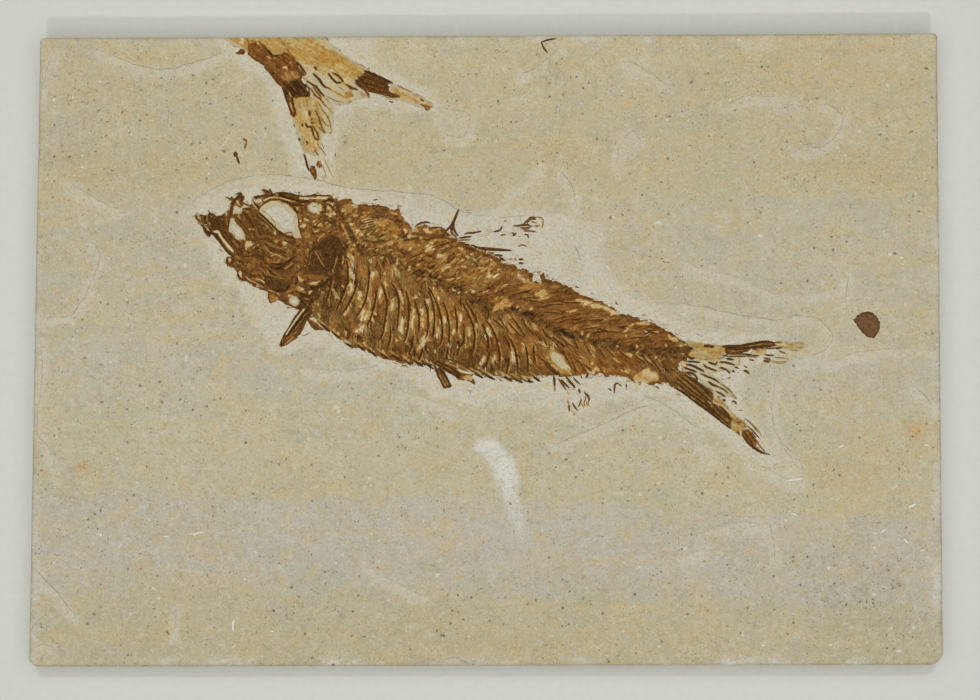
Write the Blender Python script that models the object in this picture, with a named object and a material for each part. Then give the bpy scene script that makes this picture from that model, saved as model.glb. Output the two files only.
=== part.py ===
# A fossil fish slab: a thin sawn block of laminated limestone with a small herring-like fish pressed
# flat in its face, the tail of a second fish cut off by the upper edge, and a few loose bones.
#
# The slab lies on its back. The origin is the centre of the base of its bounding box. +X runs along the
# long side, towards the fish's tail, +Y across the face, towards the fish's back, and +Z up.
# Sizes and places are written in millimetres on the slab's face, and MM turns them to metres.

import math

import bmesh
import bpy
import numpy as np
from mathutils import Vector

MM = 0.001

# ---- The slab ----
SLAB_THICKNESS = 9.5
SLAB_CORNERS = [(-76.2, -52.8), (76.2, -52.5), (75.2, 52.8), (-74.3, 52.0)]
SLAB_CORNER_RADII = [1.3, 1.8, 0.6, 0.4]
CORNER_STEPS = 4
EDGE_WEAR = 0.35  # the sawn edge round the face is blunted by this much
EDGE_WEAR_STEPS = 2

# ---- How deep things lie ----
BED_DEPTH = 0.6  # the prepared hollows go this far below the face
SECOND_BED_DEPTH = 0.52  # the second fish lies on a slightly higher layer
BED_RIM = 0.6  # and their walls slope outwards over this width
SMALL_BED_RIM = 0.3  # the small hollows' walls are steeper
FLAKE_SLOPE = 0.5  # a flake's wall slopes outwards by this share of its depth
GAP = 0.3  # clear space between a bone and what it lies on or beside
CUT_CLEARANCE = 0.15  # how far a cutter stands out of the face

# ---- Heights of the bone, above its own underside ----
FILM = 0.42  # the thin sheet of crushed bone
RIDGE_FOOT = 0.12  # where a bone that stands up from the sheet starts
RAY_CREST = 0.62
STRUT_CREST = 0.78
FLECK_HEIGHT = 0.55
SCALE_DOME = 0.25  # how far the middle of the scale stands above its rim

# ---- The shape of a single ray or strut ----
RIDGE_END_WIDTH = 0.5  # how wide its ends are, as a share of its middle
RIDGE_END_RISE = 0.6  # and how high
RAY_BASE_WIDTH = 0.2  # a ray in a fan is this wide
RAY_WIDENING = 0.055  # and wider by this for each millimetre of its length

# ---- The hollows, as loops of points on the face ----
FISH_BED = [
    (-51.3, 22.3), (-48.2, 25.4), (-42.0, 28.2), (-34.3, 28.8), (-26.0, 28.3), (-16.0, 26.6), (-9.3, 25.8),
    (-4.6, 25.8), (0.5, 23.6), (6.0, 24.4), (11.0, 24.0), (12.2, 20.5), (9.8, 16.4), (14.5, 13.2),
    (20.0, 10.4), (28.0, 7.2), (36.0, 4.0), (44.0, 4.2), (52.0, 4.0), (56.2, 1.6), (53.5, -2.2),
    (48.0, -3.6), (44.6, -6.4), (45.5, -10.8), (49.3, -16.4), (48.8, -19.6), (43.6, -19.0), (37.0, -14.6),
    (31.5, -9.4), (24.0, -9.2), (18.5, -12.4), (12.0, -12.4), (8.0, -8.2), (1.0, -8.2), (-5.0, -9.6),
    (-10.5, -7.2), (-18.0, -4.0), (-26.0, -1.6), (-36.0, -1.8), (-37.2, 3.0), (-40.0, 7.8), (-44.6, 12.4),
    (-48.8, 17.6),
]
SECOND_TAIL_BED = [
    (-31.0, 56.4), (-38.0, 56.4), (-44.0, 55.4), (-46.4, 52.2), (-44.4, 48.8), (-40.0, 46.2), (-36.0, 42.6),
    (-34.6, 37.4), (-32.4, 31.0), (-29.6, 26.8), (-26.4, 27.6), (-25.2, 32.6), (-25.2, 40.0), (-22.8, 41.2),
    (-13.5, 39.4), (-7.6, 38.8), (-7.2, 41.6), (-12.0, 45.0), (-19.4, 49.0), (-22.8, 52.2), (-25.0, 55.4),
]
LOOP_CUTS = 2  # points put in between each pair of a loop's points

# Flakes lost from the face at the slab's edge: each is a loop and a depth
EDGE_FLAKES = [
    ([(-77.5, -54.0), (-72.6, -54.0), (-73.2, -51.6), (-75.0, -49.4), (-77.5, -48.8)], 0.45),
    ([(-76.5, 43.0), (-73.8, 43.4), (-71.0, 46.2), (-68.2, 49.4), (-67.8, 53.5), (-76.5, 53.5)], 0.2),
    ([(78.0, -50.0), (75.4, -49.2), (74.9, -45.0), (75.7, -40.6), (78.0, -40.0)], 0.4),
    ([(73.6, 54.0), (74.2, 52.0), (74.7, 51.0), (77.0, 50.2), (77.0, 54.0)], 0.8),
]

# ---- The fish's trunk ----
BACK_MARGIN = [
    (-25.4, 25.1), (-22.6, 25.0), (-20.3, 24.2), (-15.8, 23.5), (-14.2, 22.8), (-13.2, 21.2), (-11.5, 19.9),
    (-8.0, 19.3), (-5.0, 18.5), (-2.5, 17.2), (0.5, 16.0), (2.6, 14.8), (5.0, 13.8), (7.0, 13.1),
    (9.9, 12.2), (13.0, 10.8), (15.5, 9.5), (19.1, 8.1), (22.4, 6.4), (27.3, 4.6), (30.2, 3.2), (33.6, 1.2),
]
BELLY_MARGIN = [
    (-28.6, 5.4), (-27.3, 3.9), (-25.9, 2.9), (-24.0, 1.7), (-20.3, 0.1), (-16.5, -1.3), (-13.0, -2.1),
    (-8.2, -2.9), (-4.0, -3.3), (0.0, -4.1), (4.0, -4.7), (7.5, -4.8), (9.5, -4.2), (15.0, -4.1),
    (20.0, -4.2), (25.0, -5.0), (28.6, -5.2), (31.0, -5.8),
]
BACKBONE = [
    (-22.0, 17.0), (-18.0, 16.2), (-15.5, 14.9), (-13.0, 13.4), (-10.5, 12.6), (-8.0, 11.6), (-5.5, 10.2),
    (-3.0, 8.8), (1.0, 7.4), (6.0, 6.2), (10.0, 4.3), (14.3, 2.4), (19.0, 1.3), (23.0, 0.2), (29.0, -0.6),
    (33.0, -0.8),
]
VERTEBRAE = 38
# How far towards the tail a spine or rib ends from where it leaves the backbone, along the backbone
NEURAL_LEAN = [(-22.0, -3.2), (-20.5, -1.0), (-16.0, 1.0), (0.0, 3.0), (20.0, 3.0), (30.0, 1.4), (33.0, 0.6)]
RIB_LEAN = [
    (-22.0, -6.4), (-21.2, -4.4), (-19.6, -3.0), (-17.0, -1.2), (-10.0, 0.8), (0.0, 2.5), (8.0, 5.0),
    (20.0, 4.5), (27.0, 1.6), (33.0, -2.2),
]
RIB_BOW = 0.7
SCUTE_REACH = (0.45, -0.55)  # the keeled belly scales point down and towards the tail
BACK_NOTCH = 0.25
# Rows of the trunk from the back to the belly: how far from the backbone to the margin (back is above 0,
# belly below), and the height of the bone on a rib and in the dip between two ribs
TRUNK_ROWS = [
    (1.00, 0.40, 0.30), (0.55, 0.64, 0.42), (0.14, 0.72, 0.58), (0.0, 0.86, 0.70), (-0.10, 0.70, 0.50),
    (-0.36, 0.74, 0.36), (-0.70, 0.66, 0.34), (-1.00, 0.42, 0.28),
]

# ---- The skull ----
SKULL_OUTLINE = [
    (-25.9, 25.3), (-28.0, 26.0), (-31.5, 26.0), (-34.5, 26.4), (-36.5, 26.9), (-38.8, 25.8), (-40.6, 26.3),
    (-41.5, 24.8), (-42.6, 23.3), (-43.4, 22.3), (-44.8, 22.4), (-46.0, 23.1), (-46.6, 22.5), (-48.3, 22.7),
    (-48.2, 21.6), (-47.2, 20.3), (-46.5, 18.9), (-45.2, 18.4), (-44.0, 16.8), (-43.2, 15.2), (-42.0, 14.0),
    (-40.6, 12.9), (-39.0, 11.0), (-36.6, 9.5), (-36.2, 7.9), (-35.2, 7.9), (-33.5, 7.6), (-31.4, 6.9),
    (-29.4, 7.1), (-28.5, 8.2), (-26.8, 9.9), (-25.1, 11.4), (-24.2, 12.8), (-23.8, 14.6), (-22.7, 16.2),
    (-22.7, 17.6), (-23.5, 19.6), (-24.3, 21.6), (-25.2, 23.8),
]
EYE_SOCKET = [
    (-37.5, 22.9), (-36.7, 24.0), (-35.4, 24.6), (-33.6, 24.3), (-32.2, 23.4), (-31.5, 22.0), (-31.4, 20.2),
    (-31.2, 19.0), (-32.6, 19.0), (-34.2, 20.0), (-35.8, 21.4),
]
SNOUT_GAP = [(-42.6, 21.6), (-41.7, 21.3), (-40.6, 19.6), (-41.4, 18.9), (-42.1, 19.7)]
CHEEK_GAP = [(-32.8, 8.4), (-31.9, 8.9), (-31.3, 8.3), (-31.6, 7.7)]
# Each strut is its line and its width
SKULL_STRUTS = [
    ([(-38.2, 23.2), (-36.2, 21.2), (-33.8, 19.3), (-31.0, 18.2)], 0.7),
    ([(-45.7, 19.3), (-44.2, 17.4), (-42.2, 15.4), (-40.4, 13.6)], 0.9),
    ([(-44.5, 22.0), (-43.5, 20.0), (-42.9, 18.4), (-41.6, 16.8)], 0.8),
    ([(-40.8, 25.9), (-41.9, 24.3), (-42.7, 22.2), (-43.0, 19.6)], 0.7),
    ([(-41.7, 22.4), (-40.6, 20.6), (-39.4, 18.7), (-37.6, 17.2)], 0.9),
    ([(-40.4, 23.4), (-39.0, 22.2), (-37.8, 20.2), (-35.6, 17.8)], 0.9),
    ([(-38.4, 25.2), (-36.6, 25.6), (-34.2, 25.3), (-31.4, 24.3)], 0.7),
    ([(-36.6, 26.4), (-33.4, 26.0), (-30.0, 25.6), (-26.6, 25.4)], 0.8),
    ([(-38.0, 16.9), (-36.0, 15.8), (-33.4, 15.0), (-31.4, 15.8)], 0.8),
    ([(-41.0, 13.8), (-38.2, 12.2), (-35.4, 10.6), (-32.8, 9.8)], 1.0),
    ([(-38.6, 14.4), (-36.4, 12.6), (-34.2, 11.8), (-32.4, 11.4)], 1.0),
    ([(-29.0, 16.8), (-29.7, 14.8), (-30.3, 12.6), (-31.0, 10.6)], 0.8),
    ([(-28.6, 16.6), (-27.8, 15.2), (-26.8, 13.4), (-26.4, 12.0)], 0.7),
    ([(-28.8, 17.0), (-27.6, 18.6), (-25.6, 19.5), (-23.8, 18.8)], 0.9),
    ([(-24.5, 15.4), (-24.9, 13.2), (-26.6, 11.0), (-28.8, 8.8)], 1.3),
    ([(-30.4, 23.6), (-28.6, 23.2), (-26.8, 22.0), (-24.8, 20.6)], 0.9),
]

# ---- Fins ----
TAIL_OUTLINE = [
    (34.2, 1.1), (37.0, 0.9), (40.0, 1.0), (44.0, 1.25), (46.8, 1.55), (49.0, 1.1), (52.6, 1.2), (53.3, 0.6),
    (51.8, -0.3), (49.4, -0.7), (46.6, -2.0), (43.9, -3.9), (41.2, -5.0), (40.8, -7.4), (41.8, -8.9),
    (41.4, -10.4), (42.7, -11.4), (43.9, -12.8), (45.2, -15.0), (45.9, -16.7), (47.6, -17.6), (45.8, -17.4),
    (43.6, -15.6), (41.2, -13.5), (38.0, -10.9), (34.5, -8.3), (32.5, -7.0), (31.9, -6.1), (32.6, -4.2),
    (33.4, -2.6), (33.7, -1.4), (33.9, -0.4),
]
TAIL_GAPS = [
    [(37.4, -3.5), (40.2, -3.9), (41.0, -4.5), (39.6, -4.8), (37.6, -4.3)],
    [(38.0, -5.5), (39.8, -6.3), (40.3, -7.1), (39.0, -6.6)],
    [(36.2, -1.9), (38.2, -2.1), (40.0, -2.6), (37.8, -2.6)],
    [(43.2, -1.5), (46.6, -1.3), (45.4, -1.9), (43.8, -2.0)],
]
# A fan of rays: where its first and last rays start, where they end, and how many there are
TAIL_FANS = [
    ((34.6, 0.7), (34.2, -1.0), (50.6, 0.7), (44.2, -2.6), 5),
    ((34.4, -1.9), (33.8, -3.4), (42.6, -3.7), (40.2, -7.4), 4),
    ((33.2, -4.4), (32.6, -6.2), (41.2, -9.6), (45.2, -16.6), 7),
]
PECTORAL_OUTLINE = [
    (-29.2, 6.3), (-30.4, 6.5), (-31.2, 6.0), (-32.0, 4.7), (-33.3, 3.0), (-34.2, 1.8), (-34.6, 0.7),
    (-33.8, 0.6), (-32.4, 1.5), (-31.2, 2.4), (-30.4, 3.8), (-29.6, 4.9),
]
PECTORAL_FAN = ((-30.6, 6.1), (-29.6, 5.6), (-34.1, 1.2), (-32.0, 2.0), 4)
PELVIC_OUTLINE = [
    (-9.4, -4.4), (-8.4, -3.9), (-7.2, -3.9), (-6.2, -5.0), (-5.7, -6.1), (-6.3, -6.5), (-7.3, -6.2),
    (-8.0, -5.0),
]
PELVIC_FAN = ((-8.5, -4.3), (-7.4, -4.3), (-7.0, -6.2), (-6.0, -6.0), 4)
ANAL_FAN = ((11.9, -5.4), (14.3, -5.1), (13.4, -7.3), (15.8, -6.6), 4)
ANAL_OUTLINE = [
    (11.6, -5.2), (12.6, -4.9), (14.4, -4.8), (15.9, -6.1), (15.7, -6.9), (14.6, -6.9), (13.5, -7.5),
    (12.4, -6.3),
]
DORSAL_SPINE = [
    ([(-4.5, 23.5), (-5.1, 21.9), (-5.7, 20.6), (-5.7, 19.5)], 0.5),
    ([(-5.4, 21.3), (-6.1, 20.5), (-6.7, 19.9)], 0.4),
]
REAR_DORSAL_RAYS = [
    ([(4.3, 20.7), (5.5, 20.6), (7.3, 21.0), (9.1, 20.8)], 0.5),
    ([(6.0, 20.7), (6.9, 21.6), (7.6, 22.1), (8.8, 22.0), (9.5, 21.2)], 0.5),
    ([(5.4, 20.7), (6.4, 20.2), (7.6, 19.9), (8.5, 19.7)], 0.5),
]
# Rays that lie by themselves: the node's name, its line and its width
LOOSE_RAYS = [
    ("dorsal_ray_1", [(-3.9, 19.3), (-2.3, 19.5), (-0.7, 19.8)], 0.4),
    ("dorsal_ray_2", [(0.9, 16.9), (2.2, 16.8), (4.4, 16.6)], 0.45),
    ("dorsal_ray_3", [(1.1, 19.7), (2.2, 19.9), (2.7, 20.7)], 0.4),
    ("dorsal_ray_4", [(5.3, 17.2), (6.1, 17.5), (7.0, 17.2)], 0.35),
    ("anal_spine", [(11.0, -5.1), (11.1, -6.0), (11.2, -6.9)], 0.4),
    ("anal_ray_1", [(16.1, -7.0), (17.0, -7.8), (17.3, -9.0)], 0.45),
    ("anal_ray_2", [(14.4, -8.6), (14.9, -9.3), (15.2, -10.1)], 0.45),
    ("anal_ray_3", [(13.5, -8.3), (13.8, -9.3), (13.9, -10.2)], 0.45),
]

# ---- The second fish's tail ----
SECOND_TAIL_OUTLINE = [
    (-43.1, 51.7), (-41.9, 50.2), (-41.8, 49.3), (-39.6, 48.9), (-37.5, 47.6), (-35.8, 46.0), (-34.6, 44.2),
    (-33.5, 42.2), (-32.6, 39.6), (-32.0, 37.0), (-31.1, 34.0), (-30.2, 31.8), (-29.4, 29.6), (-28.5, 28.4),
    (-27.8, 29.6), (-27.4, 31.8), (-27.4, 34.2), (-26.9, 37.0), (-27.6, 40.4), (-26.9, 42.4), (-25.4, 44.0),
    (-23.0, 43.4), (-20.0, 42.6), (-16.5, 42.2), (-13.6, 41.4), (-10.6, 40.4), (-9.0, 40.5), (-10.2, 41.6),
    (-13.4, 43.6), (-16.6, 45.3), (-20.0, 46.9), (-23.4, 48.8), (-25.6, 50.5), (-27.4, 51.8),
]
SECOND_TAIL_FANS = [
    ((-38.6, 51.0), (-35.6, 51.2), (-31.0, 33.4), (-26.6, 43.4), 8),
    ((-34.6, 51.2), (-29.4, 51.4), (-22.4, 43.8), (-10.4, 41.0), 8),
]

# ---- Loose bones and the scale ----
SCALE_CENTRE = (63.5, 4.2)
SCALE_RADIUS = 2.1
SCALE_POINT = 0.4  # its front edge ends in a low point on the left
SCALE_POINT_POWER = 6  # the higher, the narrower that point
SCALE_SIDES = 20
SCALE_RINGS = 3
SPLINTER_CENTRE = (10.3, 50.8)
SPLINTER_LINES = [
    ([(1.4, 1.0), (0.1, 0.8), (-1.2, 0.5)], 0.35),
    ([(-1.2, 0.55), (-0.6, -0.4), (0.1, -1.3)], 0.35),
]
SPLINTER_BED_REACH = (2.0, 1.9)
# Each fleck is its node's name, its centre, its length, its width and the direction that it points in
FLECKS = [
    ("bone_fleck_1", (-40.3, 34.4), 1.9, 0.9, 84.0),
    ("bone_fleck_2", (-41.5, 32.0), 2.2, 0.8, 68.0),
    ("bone_fleck_3", (3.2, 21.5), 0.7, 0.6, 60.0),
]
FLECK_SIDES = 9
FLECK_JITTER = 0.22  # how much its rim wanders in and out
FLECK_TOP = 0.8  # how wide its top is, as a share of its foot
FLECK_BED_CENTRE = (-40.9, 33.2)  # the first two flecks share a hollow
FLECK_BED_REACH = (1.8, 2.9)
BED_MARGIN = 1.1  # the scale's own hollow reaches this far past it
BED_SIDES = 14

# ---- Colours, as linear red, green and blue ----
COLOURS = {
    "stone": (0.50, 0.45, 0.30),
    "bone": (0.17, 0.085, 0.028),
    "dark bone": (0.085, 0.048, 0.018),
    "ochre bone": (0.40, 0.24, 0.065),
    "scale": (0.14, 0.08, 0.032),
}
STONE_ROUGHNESS = 0.9
BONE_ROUGHNESS = 0.62


# ---- Lines and loops, all in millimetres on the face ----

def along(table, x):
    """The value at x of a curve given by its points."""
    return float(np.interp(x, [p[0] for p in table], [p[1] for p in table]))


def smooth_loop(points, cuts):
    """A closed Catmull-Rom curve through the points."""
    loop = []
    count = len(points)
    for i in range(count):
        a, b, c, d = (Vector(points[(i + k) % count]) for k in (-1, 0, 1, 2))
        for step in range(cuts + 1):
            t = step / (cuts + 1)
            loop.append(0.5 * (2 * b + (c - a) * t + (2 * a - 5 * b + 4 * c - d) * t ** 2
                               + (3 * b - a - 3 * c + d) * t ** 3))
    return loop


def anticlockwise(points):
    """The loop in the order that keeps its inside on the left."""
    loop = [Vector(p) for p in points]
    area = sum(a.cross(b) for a, b in zip(loop, loop[1:] + loop[:1]))
    return loop if area > 0 else loop[::-1]


def grown(points, distance):
    """The loop moved outwards by a distance."""
    loop = anticlockwise(points)
    moved = []
    for i, point in enumerate(loop):
        before = (point - loop[i - 1]).normalized()
        after = (loop[(i + 1) % len(loop)] - point).normalized()
        outwards = (before + after).normalized()
        moved.append(point + Vector((outwards.y, -outwards.x)) * distance)
    return moved


def rounded_corners(corners, radii, steps):
    """A polygon with each corner turned into an arc."""
    loop = []
    for i, corner in enumerate(corners):
        corner = Vector(corner)
        back = (Vector(corners[i - 1]) - corner).normalized()
        ahead = (Vector(corners[(i + 1) % len(corners)]) - corner).normalized()
        half_angle = back.angle(ahead) / 2
        start = corner + back * radii[i] / math.tan(half_angle)
        centre = corner + (back + ahead).normalized() * radii[i] / math.sin(half_angle)
        sweep = math.pi - 2 * half_angle
        for step in range(steps + 1):
            turn = sweep * step / steps
            arm = start - centre
            loop.append(centre + Vector((arm.x * math.cos(turn) - arm.y * math.sin(turn),
                                         arm.x * math.sin(turn) + arm.y * math.cos(turn))))
    return loop


def ellipse(centre, radius_x, radius_y, sides):
    turns = [2 * math.pi * i / sides for i in range(sides)]
    return [(centre[0] + radius_x * math.cos(t), centre[1] + radius_y * math.sin(t)) for t in turns]


def fan(first_start, last_start, first_end, last_end, count):
    """Ray lines that spread from one short line to another, each with its width."""
    rays = []
    for i in range(count):
        t = i / (count - 1)
        start = Vector(first_start).lerp(Vector(last_start), t)
        end = Vector(first_end).lerp(Vector(last_end), t)
        rays.append(([start, (start + end) / 2, end], RAY_BASE_WIDTH + RAY_WIDENING * (end - start).length))
    return rays


# ---- Closed bodies, added to a mesh in metres ----

def add_ring(bm, loop, z):
    """One vertex for each point of the loop, at height z."""
    return [bm.verts.new((x * MM, y * MM, z * MM)) for x, y in loop]


def bridge(bm, lower, upper):
    """The wall between two rings of the same length that run anticlockwise."""
    for i in range(len(lower)):
        bm.faces.new((lower[i - 1], lower[i], upper[i], upper[i - 1]))


def fill(bm, rings):
    """Triangles across the first ring, with the other rings left open in it."""
    edges = []
    for ring in rings:
        for i in range(len(ring)):
            edges.append(bm.edges.get((ring[i - 1], ring[i])) or bm.edges.new((ring[i - 1], ring[i])))
    bmesh.ops.triangle_fill(bm, edges=edges, use_beauty=True)


def add_plate(bm, outline, gaps, bottom, top):
    """A flat plate with the gaps cut through it."""
    lower, upper = [], []
    for loop in [outline, *gaps]:
        loop = anticlockwise(loop)
        lower.append(add_ring(bm, loop, bottom))
        upper.append(add_ring(bm, loop, top))
        bridge(bm, lower[-1], upper[-1])
    fill(bm, lower)
    fill(bm, upper)


def add_ridge(bm, line, width, foot, crest):
    """A bone of three sides, highest and widest at its middle and drawn out at both ends."""
    line = [Vector(p) for p in line]
    sections = []
    for i, point in enumerate(line):
        ahead = (line[min(i + 1, len(line) - 1)] - line[max(i - 1, 0)]).normalized()
        at_end = i in (0, len(line) - 1)
        half = width / 2 * (RIDGE_END_WIDTH if at_end else 1.0)
        side = Vector((-ahead.y, ahead.x)) * half
        top = foot + (crest - foot) * (RIDGE_END_RISE if at_end else 1.0)
        corners = [(*(point - side), foot), (*(point + side), foot), (*point, top)]
        sections.append([bm.verts.new(Vector(c) * MM) for c in corners])
    for a, b in zip(sections, sections[1:]):
        for k in range(3):
            bm.faces.new((a[k - 1], a[k], b[k], b[k - 1]))
    bm.faces.new(sections[0])
    bm.faces.new(sections[-1])


def add_hollow(bm, outline, depth, rim):
    """A cutter whose floor has the outline and whose walls slope outwards."""
    floor = anticlockwise(outline)
    stands_out = SLAB_THICKNESS + CUT_CLEARANCE
    slope = rim * (depth + CUT_CLEARANCE) / depth
    lower = add_ring(bm, floor, SLAB_THICKNESS - depth)
    upper = add_ring(bm, grown(floor, slope), stands_out)
    bridge(bm, lower, upper)
    fill(bm, [lower])
    fill(bm, [upper])


# ---- Objects ----

def make_object(name, bm, colour, roughness, parent=None):
    """An object with its faces turned outwards and a material of its own."""
    bmesh.ops.recalc_face_normals(bm, faces=bm.faces)
    mesh = bpy.data.meshes.new(name)
    bm.to_mesh(mesh)
    bm.free()
    material = bpy.data.materials.new(name)
    material.use_nodes = True
    shader = material.node_tree.nodes["Principled BSDF"]
    shader.inputs["Base Color"].default_value = (*COLOURS[colour], 1.0)
    shader.inputs["Roughness"].default_value = roughness
    shader.inputs["Metallic"].default_value = 0.0
    mesh.materials.append(material)
    obj = bpy.data.objects.new(name, mesh)
    obj.parent = parent
    bpy.context.scene.collection.objects.link(obj)
    return obj


def make_helper(name, bm, parent=None):
    """A body that only shapes another one, kept out of renders."""
    helper = make_object(name, bm, "stone", STONE_ROUGHNESS, parent)
    helper.hide_render = True
    helper.display_type = "WIRE"
    return helper


def combine(obj, helper, operation):
    boolean = obj.modifiers.new(helper.name, "BOOLEAN")
    boolean.operation = operation
    boolean.solver = "EXACT"
    boolean.use_self = operation == "UNION"
    boolean.object = helper


def make_ribbed_plate(name, outline, gaps, ridges, colour, parent, crest=RAY_CREST):
    """A thin plate of bone with rays or struts grown together with it."""
    plate = bmesh.new()
    add_plate(plate, outline, gaps, 0.0, FILM)
    obj = make_object(name, plate, colour, BONE_ROUGHNESS, parent)
    raised = bmesh.new()
    for line, width in ridges:
        add_ridge(raised, line, width, RIDGE_FOOT, crest)
    combine(obj, make_helper(name + "_rays", raised, parent), "UNION")
    return obj


def make_joined_rays(name, rays, colour, parent):
    """A few crossing rays with no plate under them: the first carries the others."""
    first = bmesh.new()
    add_ridge(first, *rays[0], 0.0, RAY_CREST)
    obj = make_object(name, first, colour, BONE_ROUGHNESS, parent)
    for i, (line, width) in enumerate(rays[1:]):
        other = bmesh.new()
        lift = RIDGE_FOOT * (i + 1) / len(rays)
        add_ridge(other, line, width, lift, RAY_CREST - lift)
        combine(obj, make_helper(f"{name}_branch_{i + 1}", other, parent), "UNION")
    return obj


def make_slab():
    """The block of stone, with its sawn edges blunted and a hollow for each fossil."""
    outline = rounded_corners(SLAB_CORNERS, SLAB_CORNER_RADII, CORNER_STEPS)
    bm = bmesh.new()
    lower = add_ring(bm, outline, 0.0)
    upper = add_ring(bm, outline, SLAB_THICKNESS)
    bridge(bm, lower, upper)
    bm.faces.new(lower)
    face = bm.faces.new(upper)
    bmesh.ops.bevel(bm, geom=list(face.edges), offset=EDGE_WEAR * MM,
                    segments=EDGE_WEAR_STEPS, profile=0.5, affect="EDGES")
    slab = make_object("limestone_slab", bm, "stone", STONE_ROUGHNESS)

    fish_bed = bmesh.new()
    add_hollow(fish_bed, smooth_loop(FISH_BED, LOOP_CUTS), BED_DEPTH, BED_RIM)
    combine(slab, make_helper("fish_bed", fish_bed), "DIFFERENCE")
    hollows = bmesh.new()
    add_hollow(hollows, smooth_loop(SECOND_TAIL_BED, LOOP_CUTS), SECOND_BED_DEPTH, BED_RIM)
    scale_reach = SCALE_RADIUS + BED_MARGIN
    add_hollow(hollows, ellipse(SCALE_CENTRE, scale_reach, scale_reach, BED_SIDES), BED_DEPTH, BED_RIM)
    add_hollow(hollows, ellipse(SPLINTER_CENTRE, *SPLINTER_BED_REACH, BED_SIDES), BED_DEPTH, SMALL_BED_RIM)
    add_hollow(hollows, ellipse(FLECK_BED_CENTRE, *FLECK_BED_REACH, BED_SIDES), BED_DEPTH, SMALL_BED_RIM)
    for loop, depth in EDGE_FLAKES:
        add_hollow(hollows, loop, depth, depth * FLAKE_SLOPE)
    combine(slab, make_helper("small_hollows", hollows), "DIFFERENCE")
    return slab


def make_trunk(parent):
    """The trunk from the gill opening to the tail: a corrugated sheet, high along every rib and spine."""
    columns = []
    for k in range(2 * VERTEBRAE + 1):
        on_rib = k % 2 == 1
        x = BACKBONE[0][0] + (BACKBONE[-1][0] - BACKBONE[0][0]) * k / (2 * VERTEBRAE)
        middle = Vector((x, along(BACKBONE, x)))
        back_x = x + along(NEURAL_LEAN, x)
        back = Vector((back_x, along(BACK_MARGIN, back_x) - (0 if on_rib else BACK_NOTCH)))
        belly_x = x + along(RIB_LEAN, x)
        belly = Vector((belly_x, along(BELLY_MARGIN, belly_x)))
        if on_rib:
            belly += Vector(SCUTE_REACH)
        column = []
        for reach, rib_height, dip_height in TRUNK_ROWS:
            point = middle.lerp(back if reach > 0 else belly, abs(reach))
            if reach < 0:
                point.x += RIB_BOW * math.sin(math.pi * -reach)
            column.append((*point, rib_height if on_rib else dip_height))
        columns.append(column)

    bm = bmesh.new()
    grid = [[bm.verts.new(Vector(p) * MM) for p in column] for column in columns]
    for a, b in zip(grid, grid[1:]):
        for i in range(len(a) - 1):
            bm.faces.new((a[i], a[i + 1], b[i + 1], b[i]))
    rim = grid[0] + [column[-1] for column in grid[1:]] + grid[-1][-2::-1]
    rim += [column[0] for column in grid[-2:0:-1]]
    base = [bm.verts.new((v.co.x, v.co.y, 0.0)) for v in rim]
    bridge(bm, base, rim)
    fill(bm, [base])
    return make_object("fish_trunk", bm, "bone", BONE_ROUGHNESS, parent)


def make_scale(bed_height):
    """A round scale, domed a little, with a point on its left edge."""
    bm = bmesh.new()
    rings = []
    for ring in range(SCALE_RINGS + 1):
        share = 1 - ring / (SCALE_RINGS + 1)
        loop = []
        for x, y in ellipse((0.0, 0.0), SCALE_RADIUS * share, SCALE_RADIUS * share, SCALE_SIDES):
            point = Vector((x, y))
            facing_left = max(0.0, -point.normalized().x) ** SCALE_POINT_POWER
            loop.append(point * (1 + SCALE_POINT * facing_left / SCALE_RADIUS))
        rings.append(add_ring(bm, loop, FILM + (1 - share ** 2) * SCALE_DOME))
    lower = add_ring(bm, [v.co.xy / MM for v in rings[0]], 0.0)
    bridge(bm, lower, rings[0])
    for outer, inner in zip(rings, rings[1:]):
        bridge(bm, outer, inner)
    bm.faces.new(rings[-1])
    bm.faces.new(lower)
    scale = make_object("fish_scale", bm, "scale", BONE_ROUGHNESS)
    scale.location = Vector((*SCALE_CENTRE, bed_height)) * MM
    return scale


def make_fleck(name, centre, length, width, direction, bed_height, seed):
    """A crumb of bone with an uneven rim."""
    rng = np.random.default_rng(seed)
    loop = [Vector(p) * (1 + rng.uniform(-FLECK_JITTER, FLECK_JITTER))
            for p in ellipse((0.0, 0.0), length / 2, width / 2, FLECK_SIDES)]
    bm = bmesh.new()
    lower = add_ring(bm, loop, 0.0)
    upper = add_ring(bm, [p * FLECK_TOP for p in loop], FLECK_HEIGHT)
    bridge(bm, lower, upper)
    bm.faces.new(lower)
    bm.faces.new(upper)
    fleck = make_object(name, bm, "ochre bone", BONE_ROUGHNESS)
    fleck.location = Vector((*centre, bed_height)) * MM
    fleck.rotation_euler.z = math.radians(direction)
    return fleck


def make_splinter(bed_height):
    splinter = make_joined_rays("bone_splinter", SPLINTER_LINES, "dark bone", None)
    splinter.location = Vector((*SPLINTER_CENTRE, bed_height)) * MM
    for modifier in splinter.modifiers:
        modifier.object.location = splinter.location
    return splinter


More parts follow.
